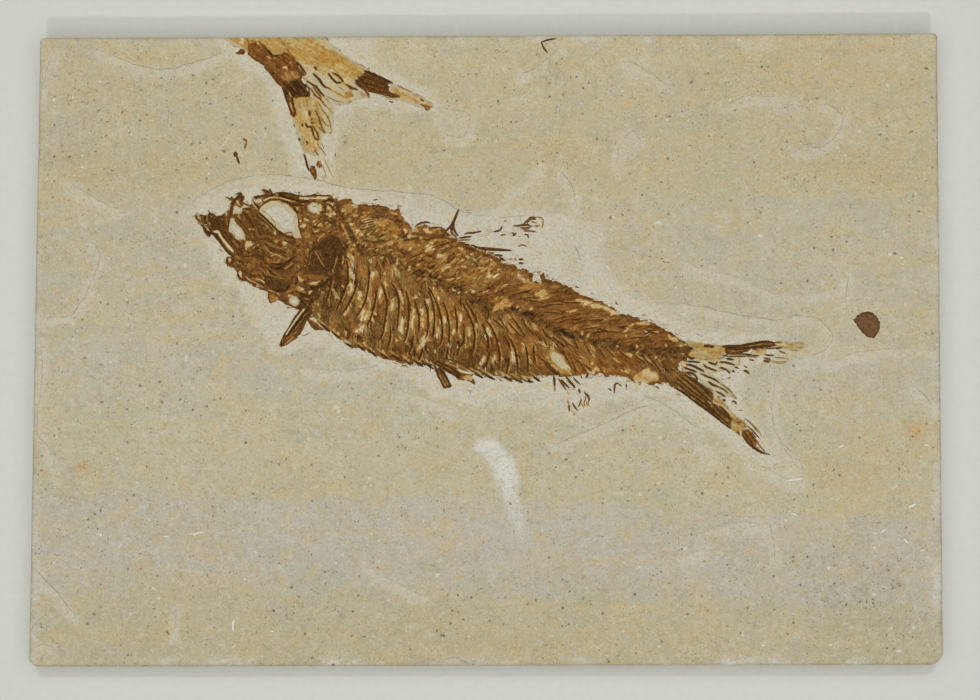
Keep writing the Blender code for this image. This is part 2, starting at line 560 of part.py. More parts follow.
def main():
    for obj in list(bpy.data.objects):
        bpy.data.objects.remove(obj, do_unlink=True)
    bed_height = SLAB_THICKNESS - BED_DEPTH + GAP

    make_slab()

    fish = bpy.data.objects.new("fish", None)
    bpy.context.scene.collection.objects.link(fish)
    fish.location.z = bed_height * MM
    make_trunk(fish)
    make_ribbed_plate("fish_skull", SKULL_OUTLINE, [EYE_SOCKET, SNOUT_GAP, CHEEK_GAP], SKULL_STRUTS,
                      "dark bone", fish, STRUT_CREST)
    tail_rays = [ray for spread in TAIL_FANS for ray in fan(*spread)]
    make_ribbed_plate("tail_fin", TAIL_OUTLINE, TAIL_GAPS, tail_rays, "bone", fish)
    make_ribbed_plate("pectoral_fin", PECTORAL_OUTLINE, [], fan(*PECTORAL_FAN), "dark bone", fish)
    make_ribbed_plate("pelvic_fin", PELVIC_OUTLINE, [], fan(*PELVIC_FAN), "bone", fish)
    make_ribbed_plate("anal_fin", ANAL_OUTLINE, [], fan(*ANAL_FAN), "bone", fish)
    make_joined_rays("dorsal_spine", DORSAL_SPINE, "dark bone", fish)
    make_joined_rays("dorsal_fin_rear", REAR_DORSAL_RAYS, "bone", fish)
    for name, line, width in LOOSE_RAYS:
        bm = bmesh.new()
        add_ridge(bm, line, width, 0.0, RAY_CREST)
        make_object(name, bm, "dark bone", BONE_ROUGHNESS, fish)

    second_fish = bpy.data.objects.new("second_fish", None)
    bpy.context.scene.collection.objects.link(second_fish)
    second_fish.location.z = (bed_height + BED_DEPTH - SECOND_BED_DEPTH) * MM
    second_rays = [ray for spread in SECOND_TAIL_FANS for ray in fan(*spread)]
    make_ribbed_plate("second_fish_tail", SECOND_TAIL_OUTLINE, [], second_rays, "ochre bone", second_fish)

    make_scale(bed_height)
    make_splinter(bed_height)
    for seed, fleck in enumerate(FLECKS):
        make_fleck(*fleck, bed_height, seed)


main()
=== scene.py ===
# Fossil fish on a slab of laminated limestone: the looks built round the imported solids.
import math
import bpy
import numpy as np
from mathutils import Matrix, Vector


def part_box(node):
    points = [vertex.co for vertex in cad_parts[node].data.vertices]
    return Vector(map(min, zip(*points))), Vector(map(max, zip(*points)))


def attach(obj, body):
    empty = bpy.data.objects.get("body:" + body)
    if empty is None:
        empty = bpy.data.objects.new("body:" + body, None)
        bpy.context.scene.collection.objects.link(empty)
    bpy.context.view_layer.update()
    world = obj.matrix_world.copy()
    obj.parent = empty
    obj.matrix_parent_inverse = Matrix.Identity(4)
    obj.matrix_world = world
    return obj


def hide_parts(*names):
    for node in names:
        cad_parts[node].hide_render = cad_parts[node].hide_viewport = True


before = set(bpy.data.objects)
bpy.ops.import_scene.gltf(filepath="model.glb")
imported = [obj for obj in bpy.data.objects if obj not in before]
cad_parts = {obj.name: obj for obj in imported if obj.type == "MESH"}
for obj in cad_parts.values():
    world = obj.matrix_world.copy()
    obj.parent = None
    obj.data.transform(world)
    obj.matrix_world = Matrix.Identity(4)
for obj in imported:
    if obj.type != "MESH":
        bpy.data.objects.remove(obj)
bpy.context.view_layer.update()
mm = 0.001  # every size below is in millimetres and becomes metres in makeMesh


# small tools

def linear(hexColour):
    channels = [int(hexColour[i:i + 2], 16) / 255 for i in (1, 3, 5)]
    return [c / 12.92 if c <= 0.04045 else ((c + 0.055) / 1.055) ** 2.4 for c in channels] + [1.0]


def node(tree, kind, inputs=None, stops=None, **settings):
    made = tree.nodes.new(kind)
    for name, value in settings.items():
        setattr(made, name, value)
    for socket, value in (inputs or {}).items():
        if isinstance(value, bpy.types.NodeSocket):
            tree.links.new(value, made.inputs[socket])
        else:
            made.inputs[socket].default_value = value
    if stops:  # a colour ramp's stops, as (place, hex colour) or (place, grey)
        ramp = made.color_ramp
        while len(ramp.elements) < len(stops):
            ramp.elements.new(1.0)
        for element, (place, colour) in zip(ramp.elements, stops):
            element.position = place
            element.color = linear(colour) if isinstance(colour, str) else [colour] * 3 + [1.0]
    return made


def newMaterial(name):
    made = bpy.data.materials.new(name)
    made.use_nodes = True
    made.node_tree.nodes.clear()
    return made, made.node_tree


def smooth(edge0, edge1, value):
    t = np.clip((value - edge0) / (edge1 - edge0), 0, 1)
    return t * t * (3 - 2 * t)


noiseTables, noiseShift = {}, (90.37, 90.71)


def noiseAt(x, y, size, seed):
    # smooth random field, -1 to 1, with bumps about size across
    if seed not in noiseTables:
        noiseTables[seed] = np.random.default_rng(seed).random((256, 256)) * 2 - 1
    table = noiseTables[seed]
    u, v = np.asarray(x) / size + noiseShift[0], np.asarray(y) / size + noiseShift[1]
    i, j = np.floor(u).astype(int), np.floor(v).astype(int)
    fu, fv = u - i, v - j
    fu, fv = fu * fu * (3 - 2 * fu), fv * fv * (3 - 2 * fv)
    a, b = table[i & 255, j & 255], table[(i + 1) & 255, j & 255]
    c, d = table[i & 255, (j + 1) & 255], table[(i + 1) & 255, (j + 1) & 255]
    return (a * (1 - fu) + b * fu) * (1 - fv) + (c * (1 - fu) + d * fu) * fv


def layeredNoise(x, y, size, seed):
    # three layers of noise, each half the size and height of the one before
    total = np.zeros(np.shape(x))
    for k in range(3):
        total = total + noiseAt(x, y, size / 2 ** k, seed + k) / 2 ** k
    return total / 1.6


def smoothPath(points, step):
    # a Catmull-Rom curve through the points, read about every step
    pts = np.array(points, float)
    if len(pts) < 3:
        count = max(2, int(math.dist(pts[0], pts[-1]) / step) + 1)
        return pts[0] + (pts[-1] - pts[0]) * np.linspace(0, 1, count)[:, None]
    ring = np.vstack([2 * pts[0] - pts[1], pts, 2 * pts[-1] - pts[-2]])
    out = []
    for k in range(1, len(ring) - 2):
        p0, p1, p2, p3 = ring[k - 1:k + 3]
        count = max(1, int(math.dist(p1, p2) / step))
        for t in np.arange(count) / count:
            out.append(0.5 * (2 * p1 + (p2 - p0) * t + (2 * p0 - 5 * p1 + 4 * p2 - p3) * t * t
                              + (3 * p1 - p0 - 3 * p2 + p3) * t ** 3))
    out.append(pts[-1])
    return np.array(out)


def pathDistance(x, y, points):
    # distance to a polyline, and how far along it the nearest place is
    pts = np.asarray(points, float)
    best, along, run = np.full(np.shape(x), 1e9), np.zeros(np.shape(x)), 0.0
    for (ax, ay), (bx, by) in zip(pts[:-1], pts[1:]):
        dx, dy = bx - ax, by - ay
        size = dx * dx + dy * dy + 1e-12
        t = np.clip(((x - ax) * dx + (y - ay) * dy) / size, 0, 1)
        d = np.hypot(x - ax - t * dx, y - ay - t * dy)
        near = d < best
        best = np.where(near, d, best)
        along = np.where(near, run + t * math.sqrt(size), along)
        run += math.sqrt(size)
    return best, along


def loopDistance(x, y, points):
    # signed distance to a closed outline, above 0 inside
    pts = np.asarray(points, float)
    best, _ = pathDistance(x, y, np.vstack([pts, pts[:1]]))
    inside = np.zeros(np.shape(x), bool)
    for (ax, ay), (bx, by) in zip(pts, np.roll(pts, -1, axis=0)):
        crosses = (ay > y) != (by > y)
        inside ^= crosses & (x < (bx - ax) * (y - ay) / (by - ay + 1e-12) + ax)
    return np.where(inside, best, -best)


def makeMesh(name, vertices, faces, attributes, material):
    mesh = bpy.data.meshes.new(name)
    mesh.from_pydata([tuple(v) for v in np.asarray(vertices) * mm], [], faces)
    for key, values in attributes.items():
        layer = mesh.attributes.new(key, "FLOAT", "POINT")
        layer.data.foreach_set("value", np.asarray(values, np.float32).ravel())
    mesh.polygons.foreach_set("use_smooth", [True] * len(mesh.polygons))
    mesh.materials.append(material)
    made = bpy.data.objects.new(name, mesh)
    bpy.context.scene.collection.objects.link(made)
    return made


def settle(piece, slotName, *nodes):
    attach(piece, "root")
    if nodes:
        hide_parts(*nodes)
    print(f"{piece.name}: {len(piece.data.polygons)} faces")
    return piece


gridCentre, gridPerMm = (486.0, 350.0), 6.0


def fromGrid(*points):
    # steps right and down from the grid's corner, turned into the slab's millimetres
    return [((px - gridCentre[0]) / gridPerMm, (gridCentre[1] - py) / gridPerMm) for px, py in points]


# camera, floor and studio light

studio = {
    "cameraHeight": 610.0,
    "viewCentre": (0.667, 0.0),
    "viewWidth": 163.33,
    "lens": 85.0,
    "clipping": (0.01, 10),  # in metres
    "floorColours": ("#cfd0c8", "#d2d3cb"),
    "floorReach": 1500.0,
    "lampHeight": 900.0,
    "lampSize": 760.0,
    "lampPower": 4.5,
    "skyStrength": 0.12,
    "skyColour": (0.97, 0.985, 1.0, 1),
    # narrow lamps: angle from straight up towards +Y, strength, width of the lamp in degrees
    "narrowLamps": ((15.9, 0.33, 2.0), (-25.4, 0.40, 2.0), (0.0, 0.45, 4.0)),
}


def makeStudio(s):
    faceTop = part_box("limestone_slab")[1].z
    camera = bpy.data.cameras.new("camera")
    eye = bpy.data.objects.new("camera", camera)
    camera.lens = s["lens"]
    camera.sensor_width = s["viewWidth"] / s["cameraHeight"] * s["lens"]
    camera.clip_start, camera.clip_end = s["clipping"]
    eye.location = (s["viewCentre"][0] * mm, s["viewCentre"][1] * mm, faceTop + s["cameraHeight"] * mm)
    bpy.context.scene.collection.objects.link(eye)
    bpy.context.scene.camera = eye
    floorMaterial, tree = newMaterial("matt white card")  # even, paper-like, no shine
    place = node(tree, "ShaderNodeTexCoord")
    grain = node(tree, "ShaderNodeTexNoise",
                 {"Vector": place.outputs["Object"], "Scale": 900.0, "Detail": 2.0})  # fibres about 1 mm
    tone = node(tree, "ShaderNodeValToRGB", {"Fac": grain.outputs["Fac"]},
                stops=list(zip((0.3, 0.7), s["floorColours"])))
    card = node(tree, "ShaderNodeBsdfPrincipled", {"Base Color": tone.outputs["Color"], "Roughness": 0.95})
    node(tree, "ShaderNodeOutputMaterial", {"Surface": card.outputs[0]})
    reach = s["floorReach"]
    corners = [(-reach, -reach, 0), (reach, -reach, 0), (reach, reach, 0), (-reach, reach, 0)]
    floor = makeMesh("floor", corners, [(0, 1, 2, 3)], {}, floorMaterial)
    lamp = bpy.data.lights.new("softbox", "AREA")
    lamp.shape, lamp.size, lamp.energy = "DISK", s["lampSize"] * mm, s["lampPower"]
    softbox = bpy.data.objects.new("softbox", lamp)
    softbox.location = (0, 0, s["lampHeight"] * mm)
    bpy.context.scene.collection.objects.link(softbox)
    for k, (lean, strength, spread) in enumerate(s["narrowLamps"]):
        light = bpy.data.lights.new(f"lamp_{k}", "SUN")
        light.energy, light.angle = strength, math.radians(spread)
        beam = bpy.data.objects.new(f"lamp_{k}", light)
        beam.rotation_euler = (-math.radians(lean), 0, 0)
        bpy.context.scene.collection.objects.link(beam)
    world = bpy.data.worlds.new("studio")
    world.use_nodes = True
    world.node_tree.nodes["Background"].inputs["Color"].default_value = s["skyColour"]
    world.node_tree.nodes["Background"].inputs["Strength"].default_value = s["skyStrength"]
    bpy.context.scene.world = world
    bpy.context.scene.view_settings.view_transform = "Standard"
    print("studio ready")


makeStudio(studio)


# the slab

slab = {
    "length": 152.4,
    "breadth": 105.2,
    "corners": ((-76.2, -52.8), (76.2, -52.5), (75.2, 52.8), (-74.3, 52.0)),
    "face": 9.5,
    "cell": 0.5,
    "backCell": 0.9,
    "sideRows": 8,
    "backInset": 0.5,
    "cornerRadius": (1.6, 2.4, 0.7, 0.7),
    "trench": 0.16,  # depth of the needle-scraped ground beside the fish
    "laminaStep": 0.05,
    "chipDepth": 0.42,
    "chipReach": 0.45,
    "bedRange": (-53.0, 53.0),
    "bedWander": 4.5,
    "bruisedBorder": (75.6, 52.4),  # half sizes of the border with bruised corners and edges
}

# where the beds change colour, as (height up the face, colour)
beds = [
    (52.8, "#c1b693"), (44, "#bfb493"), (34, "#bbb293"), (31, "#bcb18e"), (27.5, "#bdb290"),
    (24.0, "#bab49b"), (12, "#bbb49d"), (6, "#bdb59a"), (-3, "#bab6a1"), (-10, "#bcb69b"),
    (-16, "#beb698"), (-22.8, "#bcb597"), (-24.8, "#bab5a4"), (-32, "#b9b4a5"), (-38.2, "#b7b2a0"),
    (-40.4, "#b8b093"), (-46, "#b7af90"), (-52.8, "#b4ab8b"),
]

headAndBack = [
    (-49.5, 22.4), (-47.8, 25.2), (-43, 27), (-37, 28.3), (-28, 27.8), (-20, 26.6), (-14.5, 25), (-9, 23.6),
    (-2, 22.6), (5, 23.4), (12.5, 22.6), (20, 20.6), (19, 16), (22, 11), (30, 6.2), (37, 3), (47, 2.4),
    (50.4, 1.2), (46.8, -1.6), (43.4, -4.2), (42.8, -9.0), (46.6, -14.5), (49.4, -18.8), (46, -19.6),
    (41.6, -16.6), (34, -11), (28.6, -8.2), (19, -8.6), (16, -12.4), (12.4, -11), (7, -7.4), (-2, -9.4),
    (-8.6, -8.3), (-13, -4.6), (-22, -1.2), (-29, 0.4), (-35.6, -0.8), (-37.6, 3), (-40.6, 8.6),
    (-45.4, 13.8),
]
secondTailGround = [
    (-46, 53), (-43.4, 49), (-37.2, 45), (-34.6, 38), (-32.4, 29.4), (-29.4, 26.8), (-25.4, 28.6),
    (-24.2, 36), (-21.4, 40.6), (-12, 39.4), (-7.4, 40), (-8.6, 42.6), (-18, 47.8), (-24, 52), (-26, 53),
]


ledges = [  # where a thin lamina ends: points in grid steps
    [
        (185, 215), (192, 202), (215, 187), (250, 176), (300, 177), (350, 188), (400, 192), (435, 197),
        (465, 212), (500, 217), (540, 215),
    ],
    [(495, 210), (520, 185), (540, 167)], [(560, 170), (572, 187), (577, 207)], [(575, 245), (580, 260)],
    [(100, 50), (135, 64), (165, 69), (195, 62), (225, 52)], [(55, 50), (45, 75), (40, 100)],
    [(65, 180), (85, 192), (107, 205), (120, 210)],
    [(90, 240), (100, 255), (90, 285), (82, 300), (70, 315), (40, 317)],
    [(40, 340), (42, 380), (37, 430), (50, 450), (57, 475)], [(35, 570), (55, 590), (75, 615)],
    [(33, 650), (42, 644), (55, 650), (50, 660)],
    [(435, 107), (465, 112), (470, 122), (462, 137), (445, 135)], [(520, 75), (540, 65), (560, 47)],
    [(620, 60), (640, 66), (668, 85)], [(725, 105), (750, 95), (775, 97)],
    [(825, 102), (842, 115), (840, 130), (825, 145), (800, 152)],
    [(617, 160), (620, 145), (632, 131), (640, 140)],
    [
        (655, 302), (700, 306), (725, 312), (750, 317), (780, 320), (795, 315), (820, 320), (832, 335),
        (825, 350), (800, 360),
    ],
    [(775, 380), (772, 415), (780, 440), (800, 460), (802, 482), (790, 480), (750, 460)],
    [(850, 270), (845, 300)], [(915, 387), (940, 410)], [(305, 367), (340, 371), (375, 367)],
    [(400, 390), (430, 400), (455, 410)], [(555, 445), (600, 425), (640, 407), (655, 410)],
    [(365, 565), (385, 577), (425, 597)], [(685, 555), (705, 548), (705, 530), (740, 522), (765, 525)],
    [(175, 605), (176, 627)], [(440, 664), (450, 658), (462, 660), (470, 666)], [(177, 607), (175, 632)],
    [(656, 322), (666, 325), (675, 325), (680, 322)], [(687, 326), (694, 333)], [(696, 334), (702, 337)],
    [(690, 265), (730, 275), (765, 290), (790, 296), (830, 290)],
    [(560, 400), (580, 418), (600, 424), (628, 412), (650, 398), (690, 402)],
    [(770, 400), (776, 432), (786, 452), (800, 470)], [(735, 440), (752, 452), (768, 466)],
    [(830, 362), (860, 352), (900, 348), (936, 350)], [(500, 395), (520, 402), (548, 398)],
    [(770, 522), (774, 545), (775, 560)], [(640, 395), (665, 405), (700, 430)],
]
paleLaminae = [  # thin powdery flakes left on the bed: strength, outline in grid steps
    (0.8, [(688, 402), (694, 404), (703, 440), (722, 462), (712, 470), (700, 470), (695, 440)]),
    (0.5, [(618, 62), (650, 55), (648, 75), (630, 85)]),
    (0.5, [(735, 40), (775, 38), (770, 52), (745, 52)]),
    (0.5, [(765, 95), (803, 92), (800, 112), (775, 115)]),
    (0.5, [(615, 135), (632, 128), (640, 150), (622, 165)]),
    (0.9, [(775, 472), (790, 470), (805, 482), (790, 486)]),
    (0.9, [(324, 39), (360, 56), (374, 70), (376, 58), (366, 38)]),
    (0.5, [(430, 118), (448, 110), (470, 118), (466, 136), (444, 134)]),
    (0.5, [(408, 42), (424, 44), (420, 66), (408, 60)]),
]


chalkMark = {
    "line": [(-0.9, -16.2), (0.6, -16.2), (2.6, -19), (3.9, -21.6), (3.9, -24), (5, -27.2), (6, -31.4)],
    "widths": [1.1, 1.7, 2.1, 1.5, 1.2, 1.5, 0.6],
    "length": 17,
    "fading": ([0, 9, 12, 17], [1.0, 0.95, 0.5, 0.4]),  # places along it, strength there
}
stoneSmudges = [  # place, radius, strength
    ((66, -36.7), 2.2, 0.7), ((68.3, -38.3), 1.6, 0.7), ((62.7, -40), 2.0, 0.6), ((61.5, -39.7), 3.4, 0.4),
    ((57.5, -43), 5.0, 0.35), ((60, -36), 5.0, 0.3), ((-15.5, -46.3), 1.3, 0.5), ((-15.2, -47.2), 0.9, 0.4),
    ((-72, 18), 3.0, 0.3), ((-70.5, 16.2), 1.6, 0.35), ((10.6, 47), 3.0, 0.4), ((-67.3, -19.7), 0.9, 0.6),
    ((-40, 42), 3.5, 0.22), ((-24, 38.4), 3.2, 0.3), ((-6, 38.5), 3.4, 0.25), ((-58, -45), 6.0, 0.16),
    ((-52, 39), 6.0, 0.18), ((-55, 33), 5.0, 0.18), ((62, -46), 5.0, 0.3), ((70, -47), 4.0, 0.25),
    ((34, 44), 4.0, 0.2), ((-28, -42), 7.0, 0.15), ((-5, -45), 6.0, 0.15), ((15, -42), 6.0, 0.12),
    ((-67, 43), 6.0, 0.3), ((-68, 33), 5.0, 0.28), ((-62, 27), 4.0, 0.22), ((-59, 44), 4.0, 0.25),
    ((36, 38), 4.5, 0.22), ((50, 41), 5.0, 0.2), ((57, 35), 5.0, 0.18), ((-63, -23), 5.0, 0.16),
    ((-70, -25), 4.0, 0.22), ((16, 15), 3.5, 0.18),
]
warmPatches = [  # place, radii, strength
    ((72, -13.6), (1.6, 1.3), 0.9), ((64, 30), (12, 3), 0.3), ((56, 46), (16, 8), 0.25),
    ((-67.2, -19.7), (1.2, 1.0), 1.0), ((66, -12), (9, 14), 0.15), ((-50, 30), (6, 3), 0.2),
    ((-20, 32), (9, 4), 0.2), ((-40, -44), (3, 2), 0.2), ((-20, -13), (3, 4), 0.2),
    ((60, -20), (9, 5), 0.15), ((-66, 28), (4, 4), 0.2), ((5, 34), (18, 4), 0.15),
    ((2, -48), (20, 3), 0.15),
]


def slabPoint(s, t):
    low = np.array(slab["corners"][0]) * (1 - s)[..., None] + np.array(slab["corners"][1]) * s[..., None]
    high = np.array(slab["corners"][3]) * (1 - s)[..., None] + np.array(slab["corners"][2]) * s[..., None]
    return low * (1 - t)[..., None] + high * t[..., None]


def roundCorners(s, t, width, height):
    # pulls the rectangle's corners in to arcs, moving the cells near them evenly
    a, b = s * width, t * height
    for (ax, by), radius in zip(((0, 0), (width, 0), (width, height), (0, height)), slab["cornerRadius"]):
        p = np.clip((radius - np.abs(a - ax)) / radius, 0, 1)
        q = np.clip((radius - np.abs(b - by)) / radius, 0, 1)
        pulledP, pulledQ = p * np.sqrt(1 - q * q / 2), q * np.sqrt(1 - p * p / 2)
        a = a + np.sign(ax - width / 2) * -1 * (p - pulledP) * radius
        b = b + np.sign(by - height / 2) * -1 * (q - pulledQ) * radius
    return a / width, b / height


def zipLoops(first, second, firstPlace, secondPlace):
    # triangles between two closed loops whose places run from 0 to 1
    faces, i, j = [], 0, 0
    n, m = len(first), len(second)
    while i < n or j < m:
        nextFirst = firstPlace[i + 1] if i + 1 < n else 1.0
        nextSecond = secondPlace[j + 1] if j + 1 < m else 1.0
        if j >= m or (i < n and nextFirst <= nextSecond):
            faces.append((first[i % n], first[(i + 1) % n], second[j % m]))
            i += 1
        else:
            faces.append((second[(j + 1) % m], second[j % m], first[i % n]))
            j += 1
    return faces


def rimOf(rows, columns, offset=0):
    # the grid's outer loop, anticlockwise from its first corner, with its places from 0 to 1
    ring = ([(i, 0) for i in range(columns - 1)] + [(columns - 1, j) for j in range(rows - 1)]
            + [(i, rows - 1) for i in range(columns - 1, 0, -1)] + [(0, j) for j in range(rows - 1, 0, -1)])
    places = []
    for i, j in ring:
        s, t = i / (columns - 1), j / (rows - 1)
        side = s if j == 0 and i < columns - 1 else 1 + t if i == columns - 1 and j < rows - 1 else (
            3 - s if j == rows - 1 and i > 0 else 4 - t)
        places.append(side / 4)
    return [offset + j * columns + i for i, j in ring], places


def stoneHeight(x, y, edge):
    z = slab["face"] + 0.05 * layeredNoise(x, y, 14, 11) + 0.035 * layeredNoise(x, y, 2.4, 21)
    z += 0.02 * noiseAt(x, y, 0.7, 31)
    fish = loopDistance(x, y, headAndBack) + 0.5 * noiseAt(x, y, 1.6, 41)
    tail = loopDistance(x, y, secondTailGround) + 0.4 * noiseAt(x, y, 1.4, 42)
    scraped = np.maximum(smooth(-0.5, 0.6, fish), smooth(-0.5, 0.6, tail))
    z -= slab["trench"] * scraped * (0.7 + 0.3 * noiseAt(x, y, 1.1, 43))
    step = layeredNoise(x * 0.8, y * 1.1, 17, 51)  # thin laminae lifted off in broad flakes
    z -= slab["laminaStep"] * smooth(0.1, 0.13, step) + slab["laminaStep"] * smooth(-0.32, -0.29, step)
    chip = np.clip(0.55 + 0.6 * noiseAt(x, y, 3.1, 61) + 0.3 * noiseAt(x, y, 0.9, 62), 0.05, 1.6)
    z -= slab["chipDepth"] * chip * np.exp(-(edge / slab["chipReach"]) ** 2)
    return z, scraped


def makeLimestone(material):
    width, height = slab["length"], slab["breadth"]
    columns, rows = int(width / slab["cell"]) + 1, int(height / slab["cell"]) + 1
    s, t = np.meshgrid(np.linspace(0, 1, columns), np.linspace(0, 1, rows))
    edge = np.minimum(np.minimum(s, 1 - s) * width, np.minimum(t, 1 - t) * height)
    s, t = roundCorners(s, t, width, height)
    xy = slabPoint(s, t)
    x, y = xy[..., 0], xy[..., 1]
    z, scraped = stoneHeight(x, y, edge)
    for strength, corners in paleLaminae:
        flake = loopDistance(x, y, fromGrid(*corners)) + 0.3 * noiseAt(x, y, 1.3, 45)
        scraped = np.maximum(scraped, strength * smooth(-0.5, 0.5, flake))
    for corners in ledges:  # the powdery foot of each small ledge
        foot = pathDistance(x, y + 0.8, fromGrid(*corners))[0] + 0.6 * noiseAt(x, y, 1.7, 46)
        scraped = np.maximum(scraped, 0.7 * smooth(1.4, 0.3, foot))
    vertices = [np.dstack([x, y, z]).reshape(-1, 3)]
    index = np.arange(rows * columns).reshape(rows, columns)
    cells = np.stack([index[:-1, :-1], index[:-1, 1:], index[1:, 1:], index[1:, :-1]], axis=-1)
    faces = [tuple(cell) for cell in cells.reshape(-1, 4).tolist()]
    rim, rimPlaces = rimOf(rows, columns)
    rimPoints = vertices[0][rim]
    inwards = rimPoints[:, :2] * -1 / np.linalg.norm(rimPoints[:, :2], axis=1)[:, None]
    upper = rim
    count = rows * columns
    run = np.arange(len(rim)) * slab["cell"]
    for row in range(1, slab["sideRows"] + 1):
        level = 1 - row / slab["sideRows"]
        z = (rimPoints[:, 2] - 0.25) * level if row < slab["sideRows"] else np.zeros(len(rim))
        saw = 0.05 + 0.05 * noiseAt(run, z * 3.0, 2.0, 71) + 0.04 * noiseAt(run, z, 9.0, 72)
        saw = saw + (0.12 if row == slab["sideRows"] else 0)
        vertices.append(np.column_stack([rimPoints[:, :2] + inwards * saw[:, None], z]))
        lower = list(range(count, count + len(rim)))
        faces += [(upper[(k + 1) % len(rim)], upper[k], lower[k], lower[(k + 1) % len(rim)])
                  for k in range(len(rim))]
        upper, count = lower, count + len(rim)
    inset = slab["backInset"] / width
    backColumns, backRows = int(width / slab["backCell"]), int(height / slab["backCell"])
    bs, bt = np.meshgrid(np.linspace(0, 1, backColumns), np.linspace(0, 1, backRows))
    bs, bt = roundCorners(bs, bt, width, height)
    back = slabPoint(inset + bs * (1 - 2 * inset), inset * 1.4 + bt * (1 - 2.8 * inset))
    bx, by = back[..., 0], back[..., 1]
    bz = 0.03 + 0.03 * noiseAt(bx * 0.15, by, 0.9, 81) + 0.03 * layeredNoise(bx, by, 6, 82)
    vertices.append(np.dstack([bx, by, np.maximum(bz, 0)]).reshape(-1, 3))
    index = count + np.arange(backRows * backColumns).reshape(backRows, backColumns)
    cells = np.stack([index[:-1, :-1], index[1:, :-1], index[1:, 1:], index[:-1, 1:]], axis=-1)
    faces += [tuple(cell) for cell in cells.reshape(-1, 4).tolist()]
    backRim, backPlaces = rimOf(backRows, backColumns, count)
    faces += [f[::-1] for f in zipLoops(upper, backRim, rimPlaces, backPlaces)]
    points = np.vstack(vertices)
    px, py, pz = points.T
    up = pz > slab["face"] - 0.6
    tilt = smooth(4, -26, py)
    bed = py + 0.034 * (px + 45) * tilt * (px > -45) + 0.25 * noiseAt(px, py, 9, 91)
    bed = np.where(up, bed, py)
    ground = np.zeros(len(points))
    ground[:rows * columns] = scraped.ravel()
    d, along = pathDistance(px, py, chalkMark["line"])
    reach = np.interp(along, np.linspace(0, chalkMark["length"], len(chalkMark["widths"])),
                      chalkMark["widths"])
    chalk = smooth(0.6, -0.7, d - reach) * np.interp(along, *chalkMark["fading"]) * up
    smudge = np.zeros(len(points))
    for (sx, sy), radius, strength in stoneSmudges:
        smudge = np.maximum(smudge, strength * np.exp(-((px - sx) ** 2 + (py - sy) ** 2) / radius ** 2))
    warm = np.zeros(len(points))
    for (sx, sy), (rx, ry), strength in warmPatches:
        warm += strength * np.exp(-(((px - sx) / rx) ** 2 + ((py - sy) / ry) ** 2))
    borderX, borderY = slab["bruisedBorder"]
    outer = np.minimum(np.minimum(px + borderX, borderX - px), np.minimum(py + borderY, borderY - py))
    bruise = smooth(2.0, 0.3, outer) * np.clip(0.2 + noiseAt(px, py, 3.5, 92), 0, 1) * up
    looks = {"bed": bed, "scraped": ground, "chalk": chalk, "smudge": smudge * up, "warm": warm * up,
             "bruise": bruise}
    return makeMesh("limestone", points, faces, looks, material)


# clouds of colour on the stone: size in mm, shift, stretch along the beds, range of the cloud,
# its strength, colour, where it lies
mottles = [
    (1.8, 1.0, 0.05, (0.50, 0.70), 0.45, "#c8b384", None),
    (1.6, 5.0, 0.06, (0.52, 0.72), 0.40, "#b0ac98", None),
    (9.0, 11.0, 0.8, (0.50, 0.68), 0.40, "#c6b182", None),
    (6.0, 17.0, 0.8, (0.50, 0.68), 0.40, "#b1ab86", None),
    (4.0, 8.0, 0.8, (0.52, 0.70), 0.50, "#afaa97", None),
    (2.6, 3.0, 0.8, (0.52, 0.72), 0.50, "#c9af7c", None),
    (1.4, 29.0, 1.0, (0.54, 0.72), 0.50, "#cec8b4", None),
    (1.1, 15.0, 1.0, (0.52, 0.74), 0.50, "#a0956f", None),
    (1.6, 19.0, 1.0, (0.25, 0.65), 1.00, "#c79b53", "warm"),
    (0.9, 22.0, 0.8, (0.05, 0.60), 0.80, "#cbc6b3", "scraped"),
    (1.9, 83.0, 1.0, (0.50, 0.66), 0.55, "#c9b78c", "scraped"),
    (0.42, 24.0, 0.7, (0.56, 0.70), 0.60, "#dad7ca", "scraped"),
    (0.9, 26.0, 0.7, (0.30, 0.60), 0.90, "#cfccbf", "bruise"),
    (1.1, 27.0, 1.0, (0.20, 0.50), 1.0, "#d2d0c6", "chalk"),
    (0.5, 28.0, 1.0, (0.50, 0.70), 0.80, "#dedbd0", "chalk"),
    (0.9, 47.0, 1.0, (0.38, 0.66), 0.75, "#857d66", "smudge"),
    (0.9, 95.0, 0.9, (0.58, 0.72), 0.50, "#c3a660", None),
    (0.40, 33.0, 1.0, (0.52, 0.74), 0.50, "#dbd5c1", None),
    (0.34, 37.0, 1.0, (0.52, 0.74), 0.55, "#8b8161", None),
]
# grains set in the stone: spacing in mm, shift, radius, size of their clusters, range of the cluster,
# share of grains outside and inside one, strength, colour
grains = [
    (0.55, 91.0, 0.30, 2.6, (0.56, 0.66), (0.0, 0.62), 0.75, "#615840"),
    (0.60, 41.0, 0.26, 3.4, (0.50, 0.66), (0.02, 0.50), 0.60, "#6a6144"),
    (1.10, 53.0, 0.25, 7.0, (0.48, 0.64), (0.02, 0.34), 0.72, "#4d452b"),
    (1.30, 59.0, 0.17, 9.0, (0.46, 0.60), (0.03, 0.20), 0.60, "#86642f"),
    (1.50, 67.0, 0.17, 6.0, (0.46, 0.64), (0.02, 0.22), 0.80, "#dedbd0"),
    (4.20, 71.0, 0.11, 12.0, (0.42, 0.60), (0.10, 0.50), 0.75, "#d8d5c9"),
    (2.60, 77.0, 0.13, 10.0, (0.44, 0.60), (0.03, 0.22), 0.75, "#5b5236"),
]


